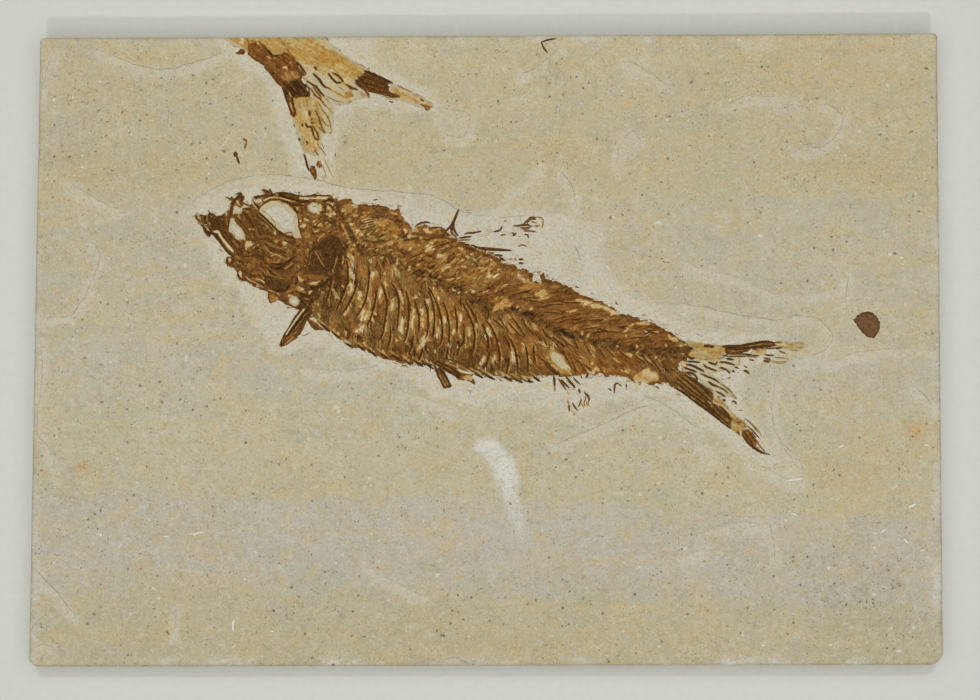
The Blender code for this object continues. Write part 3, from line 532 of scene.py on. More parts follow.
def limestoneMaterial():
    # laminated lake limestone, split along a bed: dull, powdery, banded, with fine dark and white grains
    made, tree = newMaterial("split laminated limestone")
    place = node(tree, "ShaderNodeTexCoord")
    inMm = node(tree, "ShaderNodeVectorMath", {0: place.outputs["Object"], "Scale": 1000.0},
                operation="SCALE").outputs[0]
    layers = {key: node(tree, "ShaderNodeAttribute", attribute_name=key).outputs["Fac"]
              for key in ("bed", "scraped", "chalk", "smudge", "warm", "bruise")}
    wander = node(tree, "ShaderNodeTexNoise", {"Vector": inMm, "Scale": 1 / 7.0,
                                               "Detail": 3.0}).outputs["Fac"]
    (bedLow, bedHigh), bedWander = slab["bedRange"], slab["bedWander"]
    bedPlace = node(tree, "ShaderNodeMath", {0: wander, 1: bedWander, 2: layers["bed"]},
                    operation="MULTIPLY_ADD").outputs[0]
    bedShare = node(tree, "ShaderNodeMapRange",
                    {0: bedPlace, 1: bedLow + bedWander / 2, 2: bedHigh + bedWander / 2}).outputs[0]
    bedStops = [((height - bedLow) / (bedHigh - bedLow), shade) for height, shade in reversed(beds)]
    colour = node(tree, "ShaderNodeValToRGB", {"Fac": bedShare}, stops=bedStops).outputs["Color"]
    for size, shift, stretch, (low, high), most, shade, where in mottles:
        moved = node(tree, "ShaderNodeMapping", {"Vector": inMm, "Location": (shift, shift * 0.7, 0.0),
                                                 "Scale": (stretch, 1, 1)})
        cloud = node(tree, "ShaderNodeTexNoise", {"Vector": moved.outputs[0], "Scale": 1 / size,
                                                  "Detail": 3.0, "Roughness": 0.6})
        amount = node(tree, "ShaderNodeMapRange", {0: cloud.outputs["Fac"], 1: low, 2: high, 3: 0.0,
                                                   4: most}).outputs[0]
        if where:
            amount = node(tree, "ShaderNodeMath", {0: amount, 1: layers[where]},
                          operation="MULTIPLY").outputs[0]
        colour = node(tree, "ShaderNodeMix", {0: amount, 6: colour, 7: linear(shade)},
                      data_type="RGBA").outputs[2]
    unscraped = node(tree, "ShaderNodeMapRange", {0: layers["scraped"], 1: 0.1, 2: 0.6, 3: 1.0,
                                                  4: 0.3}).outputs[0]
    for spacing, shift, radius, crowdSize, (low, high), (few, many), strength, shade in grains:
        bend = node(tree, "ShaderNodeTexNoise", {"Vector": inMm, "Scale": 2.2 / spacing,
                                                 "Detail": 2.0}).outputs["Color"]
        bent = node(tree, "ShaderNodeVectorMath", {0: bend, 1: (spacing * 0.5,) * 3, 2: inMm},
                    operation="MULTIPLY_ADD").outputs[0]
        bent = node(tree, "ShaderNodeVectorMath", {0: bent, 1: (shift, shift * 1.3, 0.0)},
                    operation="ADD").outputs[0]
        cells = node(tree, "ShaderNodeTexVoronoi", {"Vector": bent, "Scale": 1 / spacing}, feature="F1")
        lots = node(tree, "ShaderNodeSeparateColor", {0: cells.outputs["Color"]}).outputs
        crowd = node(tree, "ShaderNodeTexNoise", {"Vector": bent, "Scale": 1 / crowdSize,
                                                  "Detail": 3.0}).outputs["Fac"]
        share = node(tree, "ShaderNodeMapRange", {0: crowd, 1: low, 2: high, 3: few, 4: many}).outputs[0]
        share = node(tree, "ShaderNodeMath", {0: layers["smudge"], 1: 0.3, 2: share},
                     operation="MULTIPLY_ADD").outputs[0]
        chosen = node(tree, "ShaderNodeMath", {0: lots[0], 1: share}, operation="LESS_THAN").outputs[0]
        dot = node(tree, "ShaderNodeMapRange", {0: cells.outputs["Distance"], 1: radius, 2: radius * 0.45,
                                                3: 0.0, 4: strength}).outputs[0]
        dot = node(tree, "ShaderNodeMath", {0: dot, 1: chosen}, operation="MULTIPLY").outputs[0]
        dot = node(tree, "ShaderNodeMath", {0: dot, 1: unscraped}, operation="MULTIPLY").outputs[0]
        colour = node(tree, "ShaderNodeMix", {0: dot, 6: colour, 7: linear(shade)},
                      data_type="RGBA").outputs[2]
    # grain about 0.3 mm, one or two pixels wide
    grain = node(tree, "ShaderNodeTexNoise", {"Vector": inMm, "Scale": 1 / 0.3, "Detail": 2.0,
                                              "Roughness": 0.7}).outputs["Fac"]
    bump = node(tree, "ShaderNodeBump", {"Height": grain, "Strength": 0.5, "Distance": 0.0001})
    rough = node(tree, "ShaderNodeMapRange", {0: grain, 1: 0.3, 2: 0.7, 3: 0.82, 4: 0.95}).outputs[0]
    stone = node(tree, "ShaderNodeBsdfPrincipled", {"Base Color": colour, "Roughness": rough, "IOR": 1.5,
                                                    "Specular IOR Level": 0.3, "Normal": bump.outputs[0]})
    node(tree, "ShaderNodeOutputMaterial", {"Surface": stone.outputs[0]})
    return made


limestone = settle(makeLimestone(limestoneMaterial()), "limestone", "limestone_slab")


def groundHeight(x, y):
    # the slab's face under a place, for what lies on bare stone
    (left, low), (right, top) = slab["corners"][0], slab["corners"][2]
    edge = np.minimum(np.minimum(x - left, right - x), np.minimum(y - low, top - y))
    return stoneHeight(x, y, np.maximum(edge, 0))[0]


# bone: stains, films and strokes

def boneMaterial(name, stops, roughness, spotSize=0.5, contrast=0.1):
    # bone and skin turned to iron-stained apatite: the stain attribute runs from pale to nearly black,
    # the rust attribute from grey brown to orange brown
    made, tree = newMaterial(name)
    place = node(tree, "ShaderNodeTexCoord")
    inMm = node(tree, "ShaderNodeVectorMath", {0: place.outputs["Object"], "Scale": 1000.0},
                operation="SCALE").outputs[0]
    stain = node(tree, "ShaderNodeAttribute", attribute_name="stain").outputs["Fac"]
    rust = node(tree, "ShaderNodeAttribute", attribute_name="rust").outputs["Fac"]
    coarse = node(tree, "ShaderNodeTexNoise", {"Vector": inMm, "Scale": 1 / spotSize, "Detail": 3.0,
                                               "Roughness": 0.65}).outputs["Fac"]
    # pores about 0.2 mm, about a pixel
    fine = node(tree, "ShaderNodeTexNoise", {"Vector": inMm, "Scale": 1 / 0.2, "Detail": 1.0,
                                             "Roughness": 0.6}).outputs["Fac"]
    shift = node(tree, "ShaderNodeMapRange", {0: coarse, 1: 0.3, 2: 0.7, 3: -contrast,
                                              4: contrast}).outputs[0]
    fineShift = node(tree, "ShaderNodeMapRange", {0: fine, 1: 0.3, 2: 0.7, 3: -contrast * 0.8,
                                                  4: contrast * 0.8}).outputs[0]
    both = node(tree, "ShaderNodeMath", {0: shift, 1: fineShift}, operation="ADD").outputs[0]
    # pale places are smoother
    calm = node(tree, "ShaderNodeMapRange", {0: stain, 1: 0.2, 2: 0.6, 3: 0.4, 4: 1.0}).outputs[0]
    total = node(tree, "ShaderNodeMath", {0: both, 1: calm, 2: stain}, operation="MULTIPLY_ADD",
                 use_clamp=True).outputs[0]
    colour = node(tree, "ShaderNodeValToRGB", {"Fac": total}, stops=stops).outputs["Color"]
    tint = node(tree, "ShaderNodeValToRGB", {"Fac": rust},
                stops=[(0.0, "#dde8ee"), (0.4, "#ffffff"), (1.0, "#ffebc2")])
    colour = node(tree, "ShaderNodeMix", {0: 1.0, 6: colour, 7: tint.outputs["Color"]}, data_type="RGBA",
                  blend_type="MULTIPLY").outputs[2]
    # worn places, where only a trace of stain is left on the stone
    wear = node(tree, "ShaderNodeAttribute", attribute_name="wear").outputs["Fac"]
    bare = node(tree, "ShaderNodeValToRGB", {"Fac": coarse},
                stops=[(0.3, "#b1a98d"), (0.7, "#c1b99e")]).outputs["Color"]
    colour = node(tree, "ShaderNodeMix", {0: wear, 6: colour, 7: bare}, data_type="RGBA").outputs[2]
    relief = node(tree, "ShaderNodeMath", {0: coarse, 1: fine}, operation="ADD").outputs[0]
    bump = node(tree, "ShaderNodeBump", {"Height": relief, "Strength": 0.4, "Distance": 0.0001})
    rough = node(tree, "ShaderNodeMapRange", {0: coarse, 1: 0.3, 2: 0.7, 3: roughness - 0.08,
                                              4: roughness + 0.08}).outputs[0]
    skin = node(tree, "ShaderNodeBsdfPrincipled", {"Base Color": colour, "Roughness": rough, "IOR": 1.55,
                                                   "Specular IOR Level": 0.08, "Normal": bump.outputs[0]})
    node(tree, "ShaderNodeOutputMaterial", {"Surface": skin.outputs[0]})
    return made


stainStops = [
    (0.0, "#d4ccb0"), (0.07, "#d0c6a5"), (0.15, "#c8b37e"), (0.27, "#b89550"), (0.4, "#a57d3d"),
    (0.52, "#926731"), (0.64, "#7f5626"), (0.76, "#6c451a"), (0.88, "#53330f"), (1.0, "#321d05"),
]
strandStops = [
    (0.0, "#d6ccab"), (0.3, "#b18a48"), (0.55, "#8d6430"), (0.75, "#704a1e"), (0.88, "#5a3912"),
    (1.0, "#3c2408"),
]
fossilBone = boneMaterial("fossil bone in split limestone", stainStops, 0.68)
fossilStrand = boneMaterial("fossil rib and fin ray bone", strandStops, 0.6, 0.4, 0.07)


sheetMargin, ovalPoints = 0.8, 10


def newSheet(loops, cell):
    # a grid of fields over one or several outlines: how far inside, how stained, how rusty, how high
    every = np.vstack([np.array(loop, float) for loop in loops])
    low, high = every.min(axis=0) - sheetMargin, every.max(axis=0) + sheetMargin
    x, y = np.meshgrid(np.arange(low[0], high[0], cell), np.arange(low[1], high[1], cell))
    inside = np.max([loopDistance(x, y, loop) for loop in loops], axis=0)
    return {"x": x, "y": y, "inside": inside, "stain": np.full(x.shape, 0.62), "rust": np.full(x.shape, 0.45),
            "lift": np.zeros(x.shape), "wear": np.zeros(x.shape), "cell": cell}


def window(sheet, points, reach):
    # the part of the grid that a stroke or patch can touch
    pts = np.asarray(points, float)
    x, y, cell = sheet["x"], sheet["y"], sheet["cell"]
    i0, i1 = (pts[:, 0].min() - reach - x[0, 0]) / cell, (pts[:, 0].max() + reach - x[0, 0]) / cell + 2
    j0, j1 = (pts[:, 1].min() - reach - y[0, 0]) / cell, (pts[:, 1].max() + reach - y[0, 0]) / cell + 2
    return slice(max(0, int(j0)), max(0, int(j1))), slice(max(0, int(i0)), max(0, int(i1)))


def put(sheet, place, weight, values):
    # draws the fields of a place towards new values; lift is added
    for field, value in values.items():
        if field == "lift":
            sheet[field][place] += weight * value
        else:
            sheet[field][place] += weight * (value - sheet[field][place])


def paintLine(sheet, points, width, strength, soft, ragged=0.06, **values):
    place = window(sheet, points, width + soft + 0.4)
    x, y = sheet["x"][place], sheet["y"][place]
    if x.size == 0:
        return
    path = smoothPath(points, 0.5)
    d, along = pathDistance(x, y, path)
    length = np.hypot(*np.diff(path, axis=0).T).sum()
    taper = np.clip(np.minimum(along, length - along) / 0.5 + 0.45, 0, 1)
    d = d + ragged * noiseAt(x, y, 0.45, 7)
    put(sheet, place, strength * smooth(width / 2 * taper + soft, width / 2 * taper - soft * 0.6, d), values)


def paintArea(sheet, loop, strength, soft, ragged, **values):
    place = window(sheet, loop, soft + 0.5)
    x, y = sheet["x"][place], sheet["y"][place]
    d = loopDistance(x, y, loop) + ragged * noiseAt(x, y, 0.7, 8) + 0.5 * ragged * noiseAt(x, y, 0.3, 9)
    put(sheet, place, strength * smooth(-soft, soft, d), values)


def cutHole(sheet, loop, ragged, rim, stain):
    # a place where the stone shows: a thin stained film fades from the broken edge to the bare stone
    place = window(sheet, loop, 1.2)
    x, y = sheet["x"][place], sheet["y"][place]
    d = loopDistance(x, y, loop) + ragged * noiseAt(x, y, 0.6, 12)
    worn = 0.35 + 0.35 * smooth(0.0, rim, d + 0.3 * noiseAt(x, y, 0.9, 13))
    put(sheet, place, smooth(-0.06, 0.06, d), {"stain": stain, "rust": 0.4, "wear": worn})
    sheet["lift"][place] *= smooth(0.15, -0.05, d)
    sheet["inside"][place] = np.minimum(sheet["inside"][place], np.where(d > 0, rim - d, 9.0))


def oval(x, y, width, height, turn):
    a = np.arange(ovalPoints) / ovalPoints * 2 * math.pi
    u, v = np.cos(a) * width / 2, np.sin(a) * height / 2
    c, s = math.cos(math.radians(turn)), math.sin(math.radians(turn))
    return np.column_stack([x + u * c - v * s, y + u * s + v * c])


def streaks(x, y, degrees, length, width, seed):
    c, s = math.cos(math.radians(degrees)), math.sin(math.radians(degrees))
    return noiseAt((x * c + y * s) * width / length, -x * s + y * c, width, seed)


plateShift = (60.3, 60.7)


def plates(x, y, degrees, length, width, seed):
    # crushed plates: a random tone for each, -1 to 1, and how near its edge is
    table = np.random.default_rng(seed).random((3, 128, 128))
    c, s = math.cos(math.radians(degrees)), math.sin(math.radians(degrees))
    bendX = 0.25 * width * noiseAt(x, y, width, seed + 1)
    bendY = 0.25 * width * noiseAt(x, y, width, seed + 2)
    u = ((x + bendX) * c + (y + bendY) * s) / length + plateShift[0]
    v = (-(x + bendX) * s + (y + bendY) * c) / width + plateShift[1]
    nearest, second, tone = np.full(x.shape, 9.0), np.full(x.shape, 9.0), np.zeros(x.shape)
    for di in (-1, 0, 1):
        for dj in (-1, 0, 1):
            i, j = np.floor(u).astype(int) + di, np.floor(v).astype(int) + dj
            a, b, shade = table[:, i & 127, j & 127]
            d = np.hypot(u - i - a, v - j - b)
            second = np.where(d < nearest, nearest, np.minimum(second, d))
            tone = np.where(d < nearest, shade, tone)
            nearest = np.minimum(d, nearest)
    return tone * 2 - 1, second - nearest


def crush(sheet, where, degrees, length, width, seed, contrast, edge, pale=0.0, dark=0.0):
    # breaks part of a sheet into small plates, some of them left pale or dark, with dark lines between
    tone, gap = plates(sheet["x"], sheet["y"], degrees, length, width, seed)
    sheet["stain"] += where * (contrast * tone + edge * smooth(0.16, 0.02, gap))
    sheet["lift"] += where * (0.035 * tone - 0.03 * smooth(0.2, 0.0, gap))
    sheet["rust"] += where * 0.3 * noiseAt(tone * 40, 0 * tone, 1.0, seed + 3)
    for share, stain in ((pale, 0.1), (dark, 0.86)):
        if share:
            chosen = tone > 1 - 2 * share if stain < 0.5 else tone < 2 * share - 1
            hit = where * chosen * smooth(0.0, 0.09, gap)
            mottled = stain + 0.15 * noiseAt(sheet["x"], sheet["y"], 0.5, seed + 4)
            put(sheet, (slice(None), slice(None)), 0.85 * hit, {"stain": mottled})


filmLow, filmEdge, filmThick, filmBottom = -0.1, 0.06, 0.15, -0.5
filmCap, strandCap = 0.54, 0.55  # the most that films and strands rise above the face


def filmTop(sheet):
    return slab["face"] + filmLow + filmEdge + filmThick * smooth(0, 0.5, sheet["inside"]) + sheet["lift"]


def makeFilm(name, sheet, material):
    # marching squares: keeps what is inside, its edge on the zero line, with walls down into the stone
    x, y, inside = sheet["x"], sheet["y"], sheet["inside"]
    # thin pale stain runs out into the stone
    thin = smooth(0.55, 0.35, sheet["stain"])
    fade = smooth(sheet.get("reach", 0.5), 0.05, sheet.get("whole", inside)) * thin
    sheet["wear"] = np.maximum(np.clip(sheet["wear"], 0, 1), fade)
    top = np.minimum(filmTop(sheet), slab["face"] + filmCap)
    fields = [x, y, top, sheet["stain"], sheet["rust"], sheet["wear"]]
    keep = inside > 0
    index = np.full(x.shape, -1)
    index[keep] = np.arange(keep.sum())
    rows = np.column_stack([f[keep] for f in fields]).tolist()
    full = keep[:-1, :-1] & keep[:-1, 1:] & keep[1:, 1:] & keep[1:, :-1]
    quads = np.stack([index[:-1, :-1], index[:-1, 1:], index[1:, 1:], index[1:, :-1]], axis=-1)[full].tolist()
    some = (keep[:-1, :-1] | keep[:-1, 1:] | keep[1:, 1:] | keep[1:, :-1]) & ~full
    crossings, walls = {}, []
    for j, i in zip(*np.nonzero(some)):
        corners = [(j, i), (j, i + 1), (j + 1, i + 1), (j + 1, i)]
        loop, crossed = [], []
        for k in range(4):
            a, b = corners[k], corners[(k + 1) % 4]
            if keep[a]:
                loop.append(int(index[a]))
                crossed.append(False)
            if keep[a] != keep[b]:
                key = (min(a, b), max(a, b))
                if key not in crossings:
                    t = np.clip(inside[key[0]] / (inside[key[0]] - inside[key[1]]), 0.04, 0.96)
                    crossings[key] = len(rows)
                    row = [f[key[0]] * (1 - t) + f[key[1]] * t for f in fields]
                    row[2] = slab["face"] + filmLow + filmEdge
                    row[3] = row[3] * 0.9
                    rows.append(row)
                loop.append(crossings[key])
                crossed.append(True)
        quads.append(loop)
        walls += [(loop[k], loop[(k + 1) % len(loop)]) for k in range(len(loop))
                  if crossed[k] and crossed[(k + 1) % len(loop)]]
    data = np.array(rows)
    count = len(data)
    below = data.copy()
    below[:, 2] = slab["face"] + filmBottom
    faces = [tuple(q) for q in quads] + [tuple(v + count for v in reversed(q)) for q in quads]
    faces += [(b, a, a + count, b + count) for a, b in walls]
    both = np.vstack([data, below])
    looks = {"stain": both[:, 3], "rust": both[:, 4], "wear": both[:, 5]}
    return makeMesh(name, both[:, :3], faces, looks, material)


def sheetHeight(sheet, x, y):
    # the film's top under a place, or the stone's face where the film ends
    x, y = np.asarray(x), np.asarray(y)
    columns, rows = sheet["x"].shape[1], sheet["x"].shape[0]
    i = np.clip(((x - sheet["x"][0, 0]) / sheet["cell"]).round().astype(int), 0, columns - 1)
    j = np.clip(((y - sheet["y"][0, 0]) / sheet["cell"]).round().astype(int), 0, rows - 1)
    return np.where(sheet["inside"][j, i] > 0.1, filmTop(sheet)[j, i], groundHeight(x, y))


# spacing of the rings along a strand, sides of each, height over width, how far and how finely it wanders
strandInputs = {"Step": 0.28, "Sides": 6, "Flatness": 0.55, "Wander": 0.07, "WanderSize": 0.6}


def strandTree():
    # sweeps every guide line into a tapering, flattened, slightly crooked bone
    tree = bpy.data.node_groups.new("bone strands", "GeometryNodeTree")
    for name, kind in (("Geometry", "Geometry"), ("Step", "Float"), ("Sides", "Int"), ("Flatness", "Float"),
                       ("Wander", "Float"), ("WanderSize", "Float"), ("Material", "Material")):
        tree.interface.new_socket(name, in_out="INPUT", socket_type="NodeSocket" + kind)
    tree.interface.new_socket("Geometry", in_out="OUTPUT", socket_type="NodeSocketGeometry")
    given = node(tree, "NodeGroupInput").outputs
    curve = node(tree, "GeometryNodeMeshToCurve", {0: given["Geometry"]}).outputs[0]
    curve = node(tree, "GeometryNodeCurveSplineType", {0: curve}, spline_type="CATMULL_ROM").outputs[0]
    curve = node(tree, "GeometryNodeResampleCurve", {"Curve": curve, "Length": given["Step"]},
                 mode="LENGTH").outputs[0]
    spot = node(tree, "GeometryNodeInputPosition").outputs[0]
    core = node(tree, "ShaderNodeSeparateXYZ", {0: spot}).outputs["Z"]
    curve = node(tree, "GeometryNodeStoreNamedAttribute", {"Geometry": curve, "Name": "core", "Value": core},
                 data_type="FLOAT", domain="POINT").outputs[0]
    factor = node(tree, "GeometryNodeSplineParameter").outputs["Factor"]
    away = node(tree, "ShaderNodeMath", {0: 1.0, 1: factor}, operation="SUBTRACT").outputs[0]
    bulge = node(tree, "ShaderNodeMath", {0: factor, 1: away}, operation="MULTIPLY").outputs[0]
    bulge = node(tree, "ShaderNodeMath", {0: bulge, 1: 4.0}, operation="MULTIPLY").outputs[0]
    bulge = node(tree, "ShaderNodeMath", {0: bulge, 1: 0.02}, operation="ADD").outputs[0]
    bulge = node(tree, "ShaderNodeMath", {0: bulge, 1: 0.34}, operation="POWER").outputs[0]
    width = node(tree, "GeometryNodeInputNamedAttribute", {"Name": "width"}, data_type="FLOAT").outputs[0]
    scale = node(tree, "ShaderNodeMath", {0: bulge, 1: width}, operation="MULTIPLY").outputs[0]
    ring = node(tree, "GeometryNodeCurvePrimitiveCircle",
                {"Resolution": given["Sides"], "Radius": 0.5}).outputs[0]
    body = node(tree, "GeometryNodeCurveToMesh", {"Curve": curve, "Profile Curve": ring, "Scale": scale,
                                                  "Fill Caps": True}).outputs[0]
    coreHeight = node(tree, "GeometryNodeInputNamedAttribute", {"Name": "core"}, data_type="FLOAT").outputs[0]
    axes = node(tree, "ShaderNodeSeparateXYZ", {0: spot})
    rise = node(tree, "ShaderNodeMath", {0: axes.outputs["Z"], 1: coreHeight},
                operation="SUBTRACT").outputs[0]
    level = node(tree, "ShaderNodeMath", {0: rise, 1: given["Flatness"], 2: coreHeight},
                 operation="MULTIPLY_ADD").outputs[0]
    flat = node(tree, "ShaderNodeCombineXYZ", {"X": axes.outputs["X"], "Y": axes.outputs["Y"],
                                               "Z": level}).outputs[0]
    body = node(tree, "GeometryNodeSetPosition", {"Geometry": body, "Position": flat}).outputs[0]
    frequency = node(tree, "ShaderNodeMath", {0: 1.0, 1: given["WanderSize"]}, operation="DIVIDE").outputs[0]
    crook = node(tree, "ShaderNodeTexNoise", {"Vector": spot, "Scale": frequency,
                                              "Detail": 1.0}).outputs["Color"]
    crook = node(tree, "ShaderNodeVectorMath", {0: crook, 1: (0.5, 0.5, 0.5)},
                 operation="SUBTRACT").outputs[0]
    reach = node(tree, "ShaderNodeCombineXYZ", {"X": given["Wander"], "Y": given["Wander"],
                                                "Z": 0.0}).outputs[0]
    crook = node(tree, "ShaderNodeVectorMath", {0: crook, 1: reach}, operation="MULTIPLY").outputs[0]
    body = node(tree, "GeometryNodeSetPosition", {"Geometry": body, "Offset": crook}).outputs[0]
    body = node(tree, "GeometryNodeSetShadeSmooth", {0: body}).outputs[0]
    body = node(tree, "GeometryNodeRealizeInstances", {0: body}).outputs[0]
    body = node(tree, "GeometryNodeSetMaterial", {"Geometry": body, "Material": given["Material"]}).outputs[0]
    node(tree, "NodeGroupOutput", {0: body})
    return tree


strands = strandTree()


def growStrands(name, guides, material, sizes=None):
    # guides: (points in millimetres with their height, width, stain, rust) each swept into one bone
    vertices, edges, width, stain, rust = [], [], [], [], []
    for points, wide, dark, red in guides:
        first = len(vertices)
        vertices += [tuple(p) for p in points]
        edges += [(first + k, first + k + 1) for k in range(len(points) - 1)]
        width += [wide] * len(points)
        stain += [dark] * len(points)
        rust += [red] * len(points)
    mesh = bpy.data.meshes.new(name + "_guide")
    mesh.from_pydata(vertices, edges, [])
    for key, values in (("width", width), ("stain", stain), ("rust", rust)):
        mesh.attributes.new(key, "FLOAT", "POINT").data.foreach_set("value", np.array(values, np.float32))
    guide = bpy.data.objects.new(name + "_guide", mesh)
    bpy.context.scene.collection.objects.link(guide)
    modifier = guide.modifiers.new("strands", "NODES")
    modifier.node_group = strands
    settings = dict(strandInputs, **(sizes or {}), Material=material)
    for item in strands.interface.items_tree:
        if item.in_out == "INPUT" and item.name in settings:
            modifier[item.identifier] = settings[item.name]
    result = bpy.data.meshes.new_from_object(guide.evaluated_get(bpy.context.evaluated_depsgraph_get()))
    bpy.data.objects.remove(guide)
    for extra in ("core", "width"):
        if extra in result.attributes:
            result.attributes.remove(result.attributes[extra])
    places = np.zeros(len(result.vertices) * 3, np.float32)
    result.vertices.foreach_get("co", places)
    places = places.reshape(-1, 3)
    places[:, 2] = np.minimum(places[:, 2], slab["face"] + strandCap)
    result.vertices.foreach_set("co", (places * mm).ravel())
    result.update()
    made = bpy.data.objects.new(name, result)
    bpy.context.scene.collection.objects.link(made)
    return made


def lay(sheet, points, sink, arch=0.0):
    # a guide line laid on the film, or on the bare stone where there is no sheet
    path = smoothPath(points, 0.45)
    if sheet is None:
        z = groundHeight(path[:, 0], path[:, 1])
    else:
        z = sheetHeight(sheet, path[:, 0], path[:, 1])
        z = np.convolve(np.pad(z, 2, mode="edge"), np.ones(5) / 5, mode="valid")
    f = np.linspace(0, 1, len(path))
    return np.column_stack([path, z - sink + arch * np.sin(f * math.pi)])


def crumbs(loop, count, seed, tones, reach=0.45):
    # loose scraps of bone and stain along an outline
    rng = np.random.default_rng(seed)
    path = smoothPath(loop, 0.2)
    guides = []
    for k in rng.integers(1, len(path) - 1, count):
        away = path[k + 1] - path[k - 1]
        turn = math.atan2(away[1], away[0]) + rng.normal(0, 0.5)
        x, y = path[k] + rng.normal(0, reach, 2)
        length = rng.uniform(0.25, 0.9)
        alongX, alongY = math.cos(turn) * length / 2, math.sin(turn) * length / 2
        middle = (x + rng.normal(0, 0.06), y + rng.normal(0, 0.06))
        ends = [(x - alongX, y - alongY), middle, (x + alongX, y + alongY)]
        wide, tone = rng.uniform(0.12, 0.3), float(rng.choice(tones) + rng.normal(0, 0.06))
        guides.append((lay(None, ends, -0.05), wide, tone, rng.uniform(0.3, 0.8)))
    return guides


# trunk: skin, backbone, ribs and belly scutes

back = [
    (-25.5, 25.2), (-24.3, 25), (-22.6, 25.1), (-22, 24.2), (-20.3, 24.2), (-17.5, 24), (-16.4, 23.8),
    (-15.8, 23.4), (-14.4, 23.5), (-13.9, 22.2), (-13.4, 21.6), (-12.6, 20.6), (-12.2, 20.0), (-11.4, 20.9),
    (-10.3, 21.2), (-9.2, 20.6), (-8, 20.5), (-6.9, 20.1), (-6.6, 19.6), (-5.6, 19.2), (-4.8, 18.6),
    (-3.9, 18.1), (-2.5, 17.5), (-0.8, 16.7), (0.5, 16.3), (1.5, 15.7), (2.6, 15.0), (3.2, 14.5), (5, 14.0),
    (5.3, 13.5), (6.8, 13.6), (7, 13), (8.2, 12.6), (7.7, 12.2), (7.8, 11.4), (9, 11.3), (9.1, 12.4),
    (9.6, 13.3), (9.9, 12.2), (9.8, 11.9), (11.2, 11.5), (12.3, 11.4), (13, 10.9), (14.2, 10.5),
    (14.6, 9.9), (15.5, 9.4), (17.2, 8.9), (17.3, 8.6), (19.1, 8.2), (20.8, 7.2), (22.4, 6.3), (24.3, 5.7),
    (25.5, 5.2), (27.3, 4.7), (29, 3.9), (30.2, 3.3), (31.5, 2.4), (33.2, 1.4), (34.3, 1.1), (34.6, 0.3),
    (33.9, -0.2), (33.5, -0.9), (33.3, -1.8), (32.3, -2), (32.0, -2.7), (32.3, -3.4), (33.1, -4.2),
    (33.3, -5.6), (32.4, -6.6), (31.4, -6.1),
]
belly = [
    (30.3, -5.6), (28.6, -5.4), (27.6, -5.8), (26, -5.4), (25, -5.3), (24.2, -4.9), (23, -4.4),
    (21.5, -4.2), (20, -4.4), (19.4, -4.0), (18, -4.1), (17, -4), (15, -4.2), (11, -4.3), (9, -4.2),
    (8.7, -4.7), (6, -5.0), (4, -4.8), (2, -4.5), (0, -4.3), (-2, -4), (-4, -3.4), (-8.2, -3.1),
    (-9.8, -2.6), (-13, -2.3), (-15, -2), (-16.5, -1.4), (-18.5, -0.8), (-20.3, 0), (-22.3, 0.7),
    (-24, 1.6), (-25.9, 2.9), (-27.3, 3.8), (-28.8, 5.2), (-29, 6), (-28.7, 6.6),
]
gillEdge = [
    (-29.2, 7.4), (-28.4, 9.8), (-26.8, 11.6), (-25.2, 13.4), (-24.4, 15.6), (-24.4, 17.6), (-25.2, 20),
    (-26.2, 22), (-26.4, 24),
]
backbone = [
    (-21, 16.6), (-18, 16.2), (-15.5, 14.9), (-13, 13.4), (-10.5, 12.6), (-8, 11.6), (-5.5, 10.2),
    (-3, 8.8), (-1, 7.9), (1, 7.4), (4, 6.8), (6, 6.2), (8, 5.3), (10, 4.3), (12, 3.3), (14.3, 2.4),
    (17, 2), (19, 1.3), (21, 0.8), (23, 0.2), (25.5, -0.2), (29, -0.6), (33, -0.6),
]
